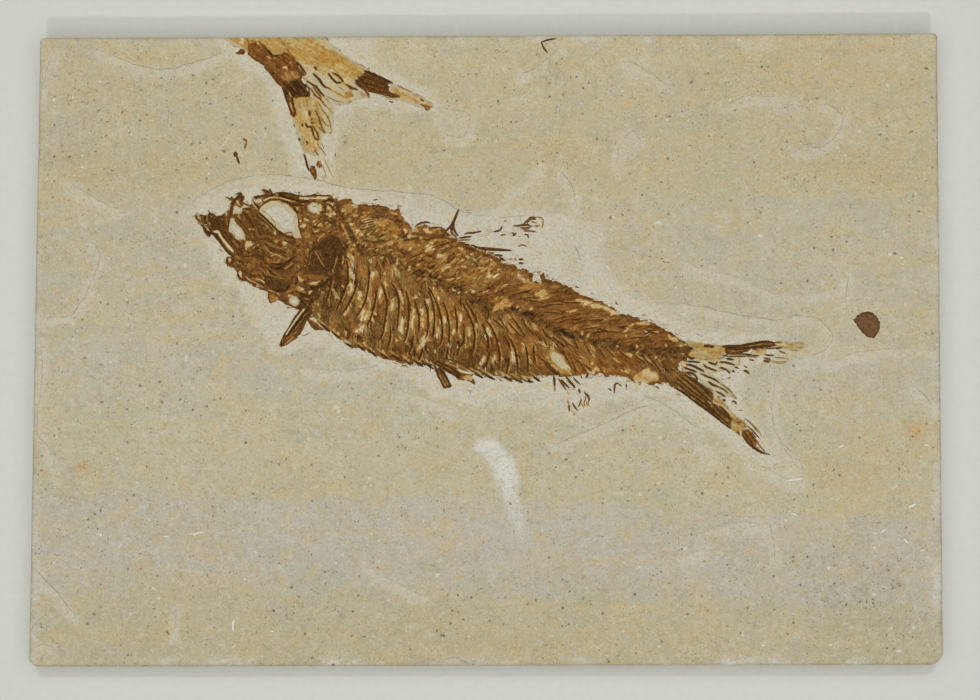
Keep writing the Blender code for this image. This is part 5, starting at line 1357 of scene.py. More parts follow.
skullEdge = [
    (-48.5, 22.3), (-48.2, 22.8), (-47.4, 22.7), (-46.4, 22.3), (-46.1, 23.1), (-45.7, 22.8), (-45.1, 22.4),
    (-44.1, 22.4), (-43.6, 22.8), (-43.2, 23.2), (-42.9, 24.2), (-42.5, 24.8), (-43.1, 25.2), (-42.5, 25.5),
    (-41.9, 25.2), (-41.4, 25.9), (-40.9, 26.4), (-40.5, 25.6), (-40.1, 25.6), (-40.5, 24.8), (-40.0, 24.3),
    (-39.3, 24.1), (-39.0, 24.8), (-39.0, 25.5), (-37.8, 25.8), (-36.9, 26.0), (-37.6, 26.9), (-36.4, 26.6),
    (-35.4, 26.2), (-34.6, 26.3), (-33.2, 26.3), (-31.4, 25.9), (-30, 25.8), (-28.4, 26.0), (-27, 25.9),
    (-25.9, 25.9), (-25.6, 25.2), (-24.8, 23.6), (-23.7, 20), (-22.8, 17.6), (-22.9, 15.6), (-23.7, 13.4),
    (-25.2, 11.5), (-26.9, 9.7), (-28.6, 7.6), (-29.3, 6.9), (-30.4, 7.0), (-31.0, 6.6), (-32.2, 7.1),
    (-33.2, 7.6), (-34.8, 8.4), (-35.1, 8.0), (-36.0, 7.8), (-36.5, 9.2), (-36.2, 9.8), (-37.5, 10.2),
    (-38.4, 10.8), (-39.2, 10.9), (-40.0, 11.5), (-40.8, 11.5), (-41.4, 12.1), (-41.5, 13.2), (-42.2, 13.8),
    (-42.9, 14.0), (-43.3, 14.6), (-43.3, 15.5), (-42.5, 15.7), (-43.2, 16.5), (-44.2, 17.7), (-45.2, 18.9),
    (-45.8, 19.2), (-46.2, 18.7), (-46.9, 19.5), (-47.1, 20.5), (-47.9, 21.1), (-48.4, 21.8),
]
orbit = [
    (-37.8, 23.1), (-37.4, 23.8), (-36.9, 24.3), (-35.8, 24.8), (-34.6, 24.8), (-33.6, 24.5), (-32.7, 23.9),
    (-31.8, 23.0), (-31.3, 22.2), (-31.3, 21.1), (-31.2, 20.2), (-30.9, 19.2), (-30.7, 18.7), (-31.8, 18.6),
    (-32.2, 19.1), (-33.3, 19.3), (-34.3, 19.7), (-35.2, 20.6), (-36.5, 21.8), (-37.2, 22.5),
]
skull = {
    "cell": 0.12,
    "regions": [  # loop, stain, rust
        ([(-31, 18), (-24, 18), (-24, 26), (-31, 26)], 0.60, 0.4),
        ([(-43.5, 22.5), (-38, 26), (-34, 19), (-39, 13), (-44, 16)], 0.66, 0.35),
        ([(-38, 19), (-29, 17), (-27, 8), (-36, 8), (-42, 13)], 0.66, 0.45),
        ([(-29, 12), (-23, 16), (-24, 11), (-29, 6.5), (-32, 7)], 0.74, 0.0),
        ([(-48.6, 23), (-44, 22.5), (-41.8, 17), (-47.4, 18.6)], 0.80, 0.0),
        ([(-41.8, 12.5), (-38, 11.5), (-36, 9.5), (-41, 11)], 0.56, 0.9),
    ],
    "holes": [
        orbit,
        [
            (-42.6, 21.9), (-42.0, 21.9), (-41.4, 20.8), (-40.6, 20.0), (-40.2, 19.1), (-40.1, 18.4),
            (-41.4, 18.3), (-42.0, 18.8), (-42.2, 19.4), (-42.8, 19.7), (-42.9, 20.7),
        ],
        [
            (-42.1, 23.9), (-41.6, 24.0), (-40.9, 23.6), (-40.4, 24.3), (-39.7, 24.0), (-39.3, 23.8),
            (-40.5, 23.3), (-41.0, 22.7), (-42.0, 22.9),
        ],
        [(-38.6, 24.9), (-38.0, 25.2), (-37.4, 25.2), (-37.4, 24.7), (-38.2, 24.4)],
        [
            (-29.8, 24.0), (-29.0, 24.5), (-28.2, 24.5), (-27.8, 23.6), (-27.8, 22.7), (-28.6, 22.8),
            (-29.4, 23.2),
        ],
        [(-32.9, 8.4), (-32.4, 9.0), (-31.6, 8.9), (-31.1, 8.3), (-31.2, 7.6), (-31.9, 7.3), (-32.6, 7.7)],
    ],
    "patches": [  # loop, stain, rust
        (
            [(-40.0, 18.1), (-39.0, 18.2), (-38.5, 17.7), (-39.1, 17.2), (-39.8, 16.9), (-40.1, 17.3)],
            0.13, 0.3,
        ),
        (
            [
                (-28.6, 17.1), (-27.9, 17.6), (-27.4, 18.4), (-26.6, 18.9), (-25.5, 19.1), (-24.3, 18.9),
                (-23.6, 18.2), (-23.2, 17.2), (-23.6, 16.2), (-24.2, 15.2), (-25.6, 14.8), (-26.4, 14.9),
                (-27.2, 16.4),
            ],
            0.86, 0.0,
        ),
        (
            [
                (-28.9, 16.6), (-29.4, 14.9), (-30, 13.2), (-30.4, 12.3), (-29.5, 12), (-27.7, 12),
                (-26.3, 13.2), (-27.1, 14.6), (-28, 16.0),
            ],
            0.80, 0.0,
        ),
        (
            [(-26.2, 13.4), (-25.6, 14.8), (-24.4, 15.2), (-23.7, 14.4), (-23.7, 13.2), (-25, 12.6)], 0.84,
            0.0,
        ),
        ([(-28.9, 17.4), (-26.0, 15.4), (-25.6, 13.0), (-28.0, 13.6), (-29.4, 16.0)], 0.84, 0.0),
        ([(-30.4, 12.5), (-27.4, 12.4), (-26.4, 12.1), (-27.0, 11.8), (-30.4, 12.0)], 0.56, 1.0),
        ([(-31.4, 12.5), (-30.9, 12.3), (-30.5, 11.6), (-30.7, 11.2), (-31.2, 11.6)], 0.2, 0.7),
        ([(-29.6, 11.2), (-28.8, 11.3), (-27.7, 11.5), (-28.2, 10.9), (-29.2, 10.8)], 0.19, 0.7),
        ([(-29.7, 9.7), (-29.0, 10.0), (-28.8, 9.5), (-29.3, 9.2)], 0.14, 0.4),
        (
            [
                (-36.9, 12.3), (-35.8, 12.4), (-33.5, 11.9), (-32.8, 11.0), (-33.3, 10.0), (-34.4, 9.7),
                (-35.5, 9.9), (-36.6, 10.9),
            ],
            0.80, 0.0,
        ),
        ([(-36.2, 14.2), (-34.4, 14.6), (-32.2, 13.8), (-32.6, 12.6), (-35.2, 12.8)], 0.76, 0.1),
        ([(-36.4, 9.2), (-35.3, 9.3), (-34.8, 8.7), (-35.1, 8.1), (-35.9, 7.9), (-36.2, 8.5)], 0.42, 1.0),
        ([(-33.9, 18.1), (-33.0, 18.1), (-32.8, 17.8), (-33.8, 17.6)], 0.05, 0.0),
        ([(-35.5, 19.6), (-35.1, 19.9), (-34.8, 19.3), (-35.2, 19.0)], 0.06, 0.2),
        ([(-27.9, 24.4), (-27.3, 24.3), (-27.4, 23.2), (-27.9, 23.2)], 0.12, 0.3),
        ([(-26.6, 24.1), (-26.1, 23.9), (-25.8, 23.4), (-26.4, 23.2)], 0.10, 0.4),
        ([(-26.9, 22.7), (-26.5, 22.8), (-26.5, 22.4)], 0.07, 0.2),
        ([(-31.8, 23.7), (-31.3, 23.8), (-31.2, 23.3), (-31.6, 23.2)], 0.08, 0.3),
        ([(-30.6, 22.5), (-30.3, 22.5), (-30.3, 21.9)], 0.08, 0.3),
        ([(-30.5, 20.8), (-30.2, 20.7), (-30.3, 20.3)], 0.08, 0.3),
        ([(-29.8, 19.4), (-29.3, 19.5), (-29.3, 18.6), (-29.7, 18.6)], 0.3, 0.8),
        ([(-26.2, 15.6), (-25.8, 15.6), (-25.9, 15.2)], 0.3, 0.0),
        ([(-39.0, 20.5), (-38.6, 20.5), (-38.6, 19.9), (-39.0, 20.0)], 0.08, 0.4),
        ([(-38.3, 20.4), (-38.0, 20.4), (-38.1, 20.0)], 0.12, 0.4),
        ([(-39.2, 19.1), (-38.7, 18.9), (-38.9, 18.5)], 0.1, 0.4),
        ([(-43.1, 24.3), (-42.6, 24.4), (-42.7, 23.3), (-43.1, 23.3)], 0.2, 0.6),
    ],
    "struts": [  # raised dark bones: points, width, stain
        ([(-47.2, 21.0), (-46.9, 20.0), (-46.4, 19.2), (-46.0, 19.0)], 0.5, 0.88),
        (
            [(-45.6, 19.4), (-44.9, 18.7), (-44.1, 17.7), (-43.4, 16.8), (-42.7, 16.0), (-42, 15.6)], 0.5,
            0.88,
        ),
        ([(-44.3, 20.8), (-43.6, 19.4), (-42.9, 18.3), (-41.8, 16.9)], 0.8, 0.80),
        ([(-45.6, 22.0), (-44.9, 20.9), (-44.4, 20.0)], 0.5, 0.84),
        (
            [
                (-41.0, 26.2), (-41.2, 25.5), (-41.9, 25.0), (-42.2, 24.3), (-42.5, 23.0), (-42.8, 21.6),
                (-43, 19.8),
            ],
            0.34, 0.86,
        ),
        ([(-43.5, 25.5), (-42.9, 25.3), (-42.4, 25.2)], 0.2, 0.84),
        ([(-40.8, 24.8), (-40.5, 25.6), (-40.2, 25.5)], 0.34, 0.9),
        ([(-41.7, 25.2), (-41.3, 25.7), (-40.9, 26.2), (-40.8, 25.4)], 0.3, 0.88),
        (
            [(-41.8, 22.4), (-41.6, 21.8), (-40.8, 20.9), (-40.0, 20.0), (-39.5, 19.2), (-39.0, 18.4)],
            0.62, 0.72,
        ),
        ([(-41.7, 22.5), (-41.3, 21.3), (-40.4, 20.2), (-39.8, 19.2)], 0.2, 0.94),
        ([(-40.7, 23.4), (-39.9, 23.6), (-39.1, 23.4)], 0.34, 0.9),
        ([(-40.6, 23.0), (-39.9, 22.4), (-39.1, 21.2), (-38.7, 20.2)], 0.3, 0.88),
        ([(-38.6, 24.3), (-38.1, 24.0), (-37.8, 23.6)], 0.3, 0.92),
        (
            [
                (-37.9, 23.1), (-37, 22.2), (-36, 21.2), (-35, 20.2), (-34.2, 19.6), (-33, 18.9),
                (-31.7, 18.5),
            ],
            0.34, 0.96,
        ),
        ([(-38.4, 22.8), (-37.6, 22.0), (-36.4, 21.0), (-35.5, 20.1)], 0.26, 0.86),
        ([(-39.0, 22.4), (-38.0, 21.2), (-37.2, 20.0), (-36.6, 19.0)], 0.3, 0.8),
        ([(-38.2, 21.0), (-37.9, 20.0), (-37.0, 18.6), (-36.2, 17.8)], 0.24, 0.84),
        ([(-36.6, 20.2), (-35.9, 19.4), (-35.6, 18.8)], 0.3, 0.84),
        ([(-38.7, 25.3), (-37.8, 25.6), (-36.9, 25.8), (-35.9, 25.7), (-35.3, 25.9)], 0.3, 0.9),
        ([(-37.5, 26.8), (-36.6, 26.5), (-35.8, 26.1), (-35.2, 25.9)], 0.26, 0.88),
        (
            [
                (-38.0, 23.5), (-37.6, 24.0), (-37.0, 24.5), (-36.2, 24.9), (-35.2, 25.1), (-34.4, 25.1),
                (-33.5, 24.8), (-32.6, 24.3), (-31.9, 23.6), (-31.5, 22.9), (-31.4, 22.0),
            ],
            0.2, 0.84,
        ),
        ([(-33.0, 24.6), (-32.2, 24.1), (-31.7, 23.2), (-31.4, 22.6)], 0.3, 0.9),
        ([(-31.3, 22.2), (-31.2, 20.8), (-31.0, 19.8), (-30.7, 18.8)], 0.2, 0.78),
        ([(-34.7, 26.1), (-33.4, 26.1), (-32.2, 25.9), (-31.4, 25.7)], 0.32, 0.92),
        ([(-31.4, 25.7), (-30, 25.6), (-28.6, 25.8), (-27, 25.7), (-26, 25.75)], 0.2, 0.9),
        ([(-34.4, 25.8), (-33.6, 25.5), (-32.6, 25.3), (-31.8, 25.0), (-31.0, 24.8)], 0.36, 0.95),
        ([(-31.4, 24.9), (-30.4, 24.7), (-29.4, 24.8)], 0.5, 0.96),
        ([(-34.2, 24.95), (-33, 24.6), (-32, 24.2), (-31.2, 24.2), (-30.4, 24.1)], 0.28, 0.92),
        ([(-27.2, 24.7), (-26.4, 24.9), (-25.8, 25.1), (-25.4, 24.5)], 0.36, 0.94),
        ([(-28.9, 23.95), (-28.2, 23.9)], 0.24, 0.6),
        ([(-27.5, 24.4), (-26.9, 24.0), (-26.8, 23.2), (-27.3, 22.8)], 0.26, 0.86),
        ([(-26.5, 24.5), (-25.6, 23.8), (-25.2, 23.6)], 0.24, 0.94),
        ([(-25.3, 24.5), (-24.7, 23.4), (-24.2, 22.4), (-23.6, 21.4)], 0.4, 0.84),
        ([(-30.7, 23.6), (-30.5, 22.4), (-30.6, 21.2)], 0.3, 0.78),
        ([(-26.6, 21.6), (-25.6, 21.2), (-25.0, 20.6)], 0.36, 0.84),
        ([(-29.9, 22.4), (-29.2, 21.6)], 0.3, 0.8),
        ([(-33.8, 19.3), (-32.8, 19.6), (-32.2, 19.4), (-32.2, 18.9)], 0.2, 0.74),
        ([(-33.6, 18.3), (-32.6, 17.8), (-31.6, 17.9)], 0.24, 0.84),
        ([(-40.0, 18.4), (-39.3, 18.4), (-38.5, 18.1), (-38.2, 17.3)], 0.22, 0.84),
        ([(-42.1, 19.6), (-41.9, 18.6), (-41.2, 17.8), (-40.9, 16.8)], 0.3, 0.84),
        ([(-40.4, 17.6), (-40.2, 16.6), (-39.6, 16.2)], 0.22, 0.86),
        ([(-41.6, 16.2), (-40.2, 15.6), (-38.6, 15.6), (-36.8, 15.0)], 0.3, 0.8),
        ([(-38.6, 15.9), (-37.4, 15.4), (-36.9, 14.9)], 0.4, 0.86),
        ([(-38.8, 17.6), (-37.6, 16.8), (-36.4, 15.6)], 0.24, 0.8),
        ([(-36.4, 18.8), (-35.4, 17.8), (-34.2, 17.4), (-32.8, 17.2)], 0.22, 0.82),
        ([(-36.9, 17.9), (-36.0, 16.8), (-34.8, 16.3), (-33.4, 16.2)], 0.22, 0.82),
        ([(-36, 13.8), (-35.2, 13.6), (-34, 13.9), (-33.2, 14.6), (-32.4, 15.1), (-31.8, 15.6)], 0.2, 0.98),
        ([(-35.8, 14.4), (-34.8, 14.3), (-33.6, 14.4), (-32.6, 14.9)], 0.18, 0.95),
        ([(-36.5, 13.5), (-35.7, 12.8), (-34.9, 12.3)], 0.24, 1.0),
        ([(-35.0, 13.3), (-34.2, 13.6), (-33.6, 13.3)], 0.2, 0.95),
        ([(-33.2, 13.4), (-32.2, 14.0), (-31.6, 14.8)], 0.22, 0.86),
        ([(-35.7, 10.1), (-34.8, 9.8), (-34.0, 9.8), (-33.1, 10.2), (-32.6, 11.0)], 0.34, 0.96),
        ([(-36.8, 12.4), (-36.7, 11.4), (-36.0, 10.5)], 0.24, 0.9),
        ([(-29.0, 16.8), (-29.6, 15.0), (-30.4, 12.5)], 0.26, 0.84),
        ([(-28.1, 16.4), (-27.4, 15.2), (-26.6, 13.8)], 0.26, 0.88),
        ([(-25.1, 15.8), (-25.5, 14.2), (-26.0, 12.8)], 0.24, 0.92),
        ([(-24.1, 16.0), (-24.4, 14.4), (-25.0, 12.9)], 0.2, 0.9),
        ([(-29.2, 10.1), (-28, 10.4), (-26.8, 11.2), (-26.1, 11.9)], 0.5, 0.92),
        ([(-31.5, 12.2), (-31.4, 11.4), (-31.9, 10.8)], 0.26, 0.9),
        ([(-31.8, 9.9), (-30.8, 9.5), (-30, 9.0), (-28.6, 9.2)], 0.28, 0.92),
        ([(-31.0, 8.9), (-30.6, 8.0), (-29.9, 7.3)], 0.34, 0.92),
        ([(-29.4, 9.0), (-28.4, 9.9), (-27.6, 10.6)], 0.34, 0.86),
        ([(-30.2, 8.4), (-29.0, 8.0), (-28.2, 8.0)], 0.26, 0.9),
        ([(-28.9, 8.4), (-29.8, 7.0), (-30.2, 6.8)], 0.4, 0.92), ([(-27.6, 9.4), (-28.2, 8.2)], 0.4, 0.88),
        (
            [(-43.2, 15.5), (-43.3, 14.8), (-42.9, 14.2), (-42.3, 14.3), (-42.1, 14.9), (-42.5, 15.5)],
            0.24, 0.84,
        ),
        ([(-42.3, 14.1), (-41.6, 13.8), (-41.1, 14.0), (-40.2, 13.4)], 0.28, 0.8),
        ([(-41.3, 13.4), (-41.4, 12.6), (-41.0, 11.9), (-40.6, 11.7)], 0.26, 0.84),
        ([(-41.9, 14.9), (-41.0, 14.9), (-40.3, 14.2)], 0.2, 0.8),
        ([(-40.5, 12.8), (-40.0, 11.8), (-39.2, 11.2), (-38.4, 11.1)], 0.22, 0.86),
        ([(-38.4, 11.5), (-37.2, 10.8), (-36.2, 10.1)], 0.24, 0.86),
        (
            [
                (-39.4, 11.0), (-38.2, 10.5), (-37.2, 10.1), (-36.0, 9.7), (-34.8, 9.0), (-33.4, 7.9),
                (-32.2, 7.2), (-31.2, 6.9),
            ],
            0.28, 0.84,
        ),
        ([(-40.0, 12.9), (-38.8, 12.2), (-37.4, 12.3)], 0.24, 0.78),
        ([(-36.2, 9.1), (-36.2, 8.3), (-35.7, 7.9)], 0.2, 0.8),
        ([(-33.2, 8.6), (-33.4, 7.9), (-32.8, 7.4)], 0.24, 0.84),
        ([(-48.1, 21.4), (-47.3, 20.9), (-46.9, 20.0)], 0.4, 0.86),
        ([(-46.2, 22.9), (-45.4, 22.3), (-44.2, 22.2), (-43.4, 22.6)], 0.3, 0.84),
    ],
    "pale": [  # light slits and lines: points, width, stain
        (
            [(-45.3, 19.9), (-44.6, 19.4), (-43.9, 18.5), (-43.2, 17.6), (-42.6, 16.9), (-42.1, 16.3)],
            0.42, 0.06,
        ),
        ([(-45.2, 19.8), (-44.7, 19.7), (-44.3, 19.2)], 0.5, 0.08),
        ([(-47.5, 21.2), (-46.7, 20.4), (-46.0, 19.8)], 0.24, 0.2),
        ([(-48.3, 21.6), (-47.8, 21.1), (-47.4, 20.9)], 0.2, 0.1),
        ([(-46.4, 22.6), (-46.5, 21.6), (-46.1, 20.9)], 0.16, 0.5),
        ([(-28.1, 18.1), (-27.6, 18.9), (-26.9, 19.4)], 0.22, 0.28),
        ([(-28.7, 16.7), (-28, 15.7), (-27.4, 14.6), (-26.9, 13.8)], 0.2, 0.36),
        ([(-28.5, 16.9), (-27.6, 15.9), (-27.0, 14.9)], 0.14, 0.5),
        ([(-29.1, 16.2), (-29.7, 14.6), (-30.2, 13.0)], 0.14, 0.42),
        ([(-24.8, 15.6), (-25.1, 14.4), (-25.6, 13.0)], 0.18, 0.34),
        ([(-23.9, 15.8), (-23.7, 15.2), (-24.0, 14.2)], 0.2, 0.2),
        ([(-37.9, 22.6), (-36.9, 21.7), (-35.9, 20.7), (-34.9, 19.7)], 0.22, 0.4),
        ([(-39.2, 25.0), (-38.6, 24.1), (-38.1, 23.4)], 0.22, 0.08),
        ([(-37.2, 24.8), (-36.4, 25.25), (-35.4, 25.45), (-34.7, 25.4)], 0.26, 0.1),
        ([(-37.8, 23.9), (-37.2, 24.6)], 0.2, 0.12),
        ([(-34.4, 25.35), (-33.4, 25.1), (-32.3, 24.8)], 0.14, 0.12),
        ([(-31.0, 25.3), (-29.6, 25.25), (-28.2, 25.3), (-26.4, 25.4)], 0.34, 0.07),
        ([(-25.9, 24.5), (-25.2, 24.0), (-25.0, 23.4)], 0.22, 0.12),
        ([(-24.9, 25.0), (-24.5, 24.4)], 0.24, 0.12), ([(-42.1, 22.6), (-41.9, 23.6)], 0.3, 0.1),
        ([(-43.3, 23.0), (-43.2, 22.4)], 0.24, 0.14), ([(-43.3, 21.8), (-43.1, 20.9)], 0.24, 0.4),
        ([(-41.3, 22.7), (-41.0, 22.0)], 0.2, 0.2),
        ([(-41.0, 21.2), (-40.2, 20.3), (-39.5, 19.4)], 0.16, 0.5),
        ([(-38.3, 21.6), (-37.6, 20.6), (-36.9, 19.6)], 0.14, 0.46),
        ([(-37.6, 19.2), (-36.8, 18.2), (-35.8, 17.4)], 0.14, 0.4),
        ([(-40.1, 17.4), (-39.9, 16.5)], 0.2, 0.1),
        ([(-38.9, 16.9), (-38.4, 17.3), (-37.9, 17.5)], 0.2, 0.08),
        ([(-36.9, 17.4), (-36.3, 16.5), (-35.4, 16.0), (-34.2, 15.9)], 0.18, 0.32),
        ([(-35.6, 17.2), (-34.8, 17.1), (-33.8, 16.8)], 0.14, 0.4),
        ([(-35.9, 15.6), (-35, 15.9), (-34, 15.5), (-33.3, 15.1), (-32.7, 15.3)], 0.2, 0.26),
        ([(-35.5, 14.7), (-34.6, 14.6)], 0.16, 0.3),
        ([(-33.5, 13.5), (-32.7, 14.1), (-32.1, 14.5)], 0.18, 0.34),
        ([(-36.1, 12.6), (-34.8, 12.1), (-33.6, 11.9)], 0.16, 0.46),
        ([(-36.4, 10.0), (-35.4, 9.7), (-34.4, 9.2)], 0.22, 0.14),
        ([(-41.7, 14.8), (-40.8, 14.2)], 0.16, 0.3), ([(-42.7, 15.3), (-42.75, 14.8)], 0.38, 0.08),
        ([(-40.95, 13.1), (-40.8, 12.2)], 0.36, 0.08), ([(-41.7, 15.7), (-41.2, 15.3)], 0.3, 0.4),
        ([(-38.4, 11.9), (-37.4, 11.6), (-36.9, 11.2)], 0.24, 0.1),
        ([(-40.1, 12.3), (-39.3, 11.6), (-38.4, 11.2)], 0.18, 0.24),
        ([(-37.9, 10.9), (-36.8, 10.4)], 0.16, 0.3),
        ([(-31.9, 10.2), (-30.9, 9.8), (-30.1, 9.5)], 0.14, 0.3),
        ([(-30.4, 8.7), (-29.6, 8.3), (-28.9, 7.6)], 0.14, 0.3), ([(-29.9, 7.6), (-29.2, 7.3)], 0.14, 0.3),
        ([(-31.2, 18.3), (-30.4, 17.2)], 0.2, 0.4),
        ([(-30.2, 19.4), (-29.9, 18.2), (-29.0, 17.6)], 0.2, 0.5),
        ([(-32.0, 17.6), (-31.4, 16.4), (-31.2, 15.2)], 0.16, 0.5),
        ([(-33.2, 9.5), (-32.6, 9.9), (-31.9, 10.4)], 0.16, 0.4),
        ([(-24.6, 19.2), (-24.0, 18.0), (-23.5, 17.0)], 0.16, 0.5),
        ([(-33.6, 19.1), (-32.6, 19.2)], 0.2, 0.3), ([(-34.9, 9.0), (-34.2, 8.6)], 0.2, 0.4),
    ],
    "specks": [
        ((-33.3, 21.5), 0.24), ((-35.7, 24.0), 0.14), ((-34.1, 24.0), 0.14), ((-31.6, 20.9), 0.14),
        ((-33.0, 22.9), 0.1), ((-35.0, 22.6), 0.1),
    ],
}


def paintSkull(sheet):
    x, y = sheet["x"], sheet["y"]
    sheet["stain"][:] = 0.66
    for loop, stain, rust in skull["regions"]:
        paintArea(sheet, loop, 0.9, 0.9, 0.6, stain=stain, rust=rust)
    snout, high = smooth(-33, -38, x), smooth(18, 20, y)
    sheet["stain"] += 0.05 * layeredNoise(x, y, 1.8, 201)
    crush(sheet, snout, -52, 1.1, 0.34, 202, 0.13, pale=0.05, dark=0.08, edge=0.1)
    crush(sheet, (1 - snout) * high, 30, 0.5, 0.34, 204, 0.2, pale=0.12, dark=0.12, edge=0.1)
    crush(sheet, (1 - snout) * (1 - high), -15, 1.0, 0.4, 206, 0.1, pale=0.03, dark=0.05, edge=0.08)
    crush(sheet, np.ones(x.shape), -40, 0.5, 0.26, 208, 0.09, pale=0.03, dark=0.05, edge=0.06)
    sheet["rust"] += 0.2 * layeredNoise(x, y, 1.6, 205)
    sheet["lift"] += 0.05 + 0.02 * layeredNoise(x, y, 0.8, 206)
    for loop, stain, rust in skull["patches"]:
        paintArea(sheet, loop, 0.92, 0.14, 0.12, stain=stain, rust=rust, lift=0.02)
    darkNape = smooth(0.84, 0.9, sheet["stain"]) * smooth(14, 16, y) * smooth(-30, -28, x)
    crush(sheet, darkNape, 60, 0.7, 0.3, 209, 0.06, edge=0.08)
    for points, width, stain in skull["struts"]:
        paintLine(sheet, points, width, 0.9, 0.06, stain=stain, rust=0.25, lift=0.05)
    for points, width, stain in skull["pale"]:
        paintLine(sheet, points, width, 0.95, 0.05, stain=stain, rust=0.4, lift=-0.05)
    for k, loop in enumerate(skull["holes"]):  # the first is the wide one
        cutHole(sheet, loop, 0.1, 0.8 if k == 0 else 0.4, 0.14)
    sheet["inside"] += 0.11 * noiseAt(x, y, 0.7, 211) + 0.09 * noiseAt(x, y, 0.32, 212)
    return sheet


def skullGrain(px, py):
    if px < -35 or (px < -30 and py < 17):
        return -50, 16, 1.6, 0.2
    if py > 18:
        return 25, 50, 0.9, 0.22
    if py < 12:
        return 35, 30, 1.4, 0.2
    return -15, 60, 1.1, 0.16


skullSheet = paintSkull(newSheet([skullEdge], skull["cell"]))
skullPlates = settle(makeFilm("skull_plates", skullSheet, fossilBone), "dark_bone", "fish_skull")
strutGuides = [(lay(skullSheet, points, 0.0, 0.06), width * 0.8, stain, 0.25)
               for points, width, stain in skull["struts"]]
strutGuides += [(lay(skullSheet, points, 0.01, 0.03), width * 0.6, stain, 0.4)
                for points, width, stain in skull["pale"] if stain > 0.25]
strutGuides += seededFibres(skullSheet, 200, 231, skullGrain)
strutGuides += [(lay(None, [(x - size / 2, y), (x + size / 2, y + 0.05)], -0.06), size, 0.9, 0.3)
                for (x, y), size in skull["specks"]]
strutGuides += crumbs(skullEdge, 150, 241, (0.25, 0.6, 0.85), 0.2)
skullStruts = settle(growStrands("skull_struts", strutGuides, fossilStrand, {"Wander": 0.1}), "dark_bone")

# the fish's own tail fin

tailPatch = [
    (33.5, 1.7), (34.9, 1.35), (36.4, 1.1), (38.6, 0.85), (39.8, 0.85), (40.2, 0.4), (40.1, -0.3),
    (39.6, -0.9), (38.8, -1.5), (38, -1.9), (36.9, -1.5), (36, -1.9), (34.9, -1.6), (33.8, -1.2),
    (33.0, -0.4), (33.0, 0.6),
]
upperBlade = [
    (39.3, 0.6), (40, 0.85), (42, 0.9), (44, 1.15), (46.2, 1.55), (46.8, 1.5), (48.2, 1.35), (48.6, 1.0),
    (48.2, 0.65), (46, 0.35), (44.2, 0.2), (43.8, -0.3), (42, -0.65), (40.1, -0.75), (39.9, 0.2),
]
upperTip = [
    (48.0, 1.35), (49.4, 1.4), (50.4, 1.3), (52.2, 1.5), (53.2, 1.3), (53.7, 0.6), (52.8, 0.2),
    (52.2, -0.2), (50, 0.0), (48.4, 0.5),
]
lowerBlade = [
    (30.4, -5.5), (32.4, -6.6), (34.2, -8.0), (36.4, -9.6), (38.4, -11.0), (40.0, -12.4), (41.0, -13.4),
    (41.2, -11.8), (40.2, -10.3), (39.4, -9.3), (38.6, -9.1), (37.9, -8.7), (38.1, -7.9), (37.8, -7.0),
    (37.2, -6.5), (36.4, -6.1), (35.6, -5.5), (35.1, -4.8), (34.2, -4.3), (33.2, -3.7), (31.6, -3.4),
    (30.4, -4.2),
]
ochreBand = [
    (37.9, -7.7), (38.6, -7.5), (39.4, -8.5), (40.2, -9.3), (41.0, -10.3), (41.8, -11.1), (43.0, -11.8),
    (43.6, -12.7), (43.2, -13.2), (42.7, -13.6), (42.4, -14.6), (41.7, -14.0), (40.8, -13.3), (40.9, -12.0),
    (40.2, -10.5), (39.4, -9.4), (38.4, -9.0), (37.8, -8.6),
]
tipBlade = [
    (42.4, -13.5), (43.0, -13.2), (43.8, -13.1), (44.6, -14.2), (45.3, -15.2), (45.1, -15.9), (45.7, -16.6),
    (46.6, -17.2), (47.4, -17.5), (45.6, -17.2), (44.4, -16.5), (43.4, -15.5), (43.0, -14.8), (42.6, -14.3),
]
middleFilm = [
    (32.2, -1.9), (35.6, -1.7), (38.8, -1.4), (40.4, -0.8), (44.0, -0.6), (44.6, 0.2), (46.6, 0.3),
    (46.6, -0.7), (44.6, -1.2), (42.4, -1.3), (42.3, -2.4), (40.9, -3.6), (38.6, -3.5), (37.4, -4.0),
    (39.2, -5.2), (41.0, -7.0), (41.0, -7.8), (39.6, -7.9), (38.2, -7.4), (36.4, -6.0), (35.2, -4.6),
    (33.2, -3.9),
]
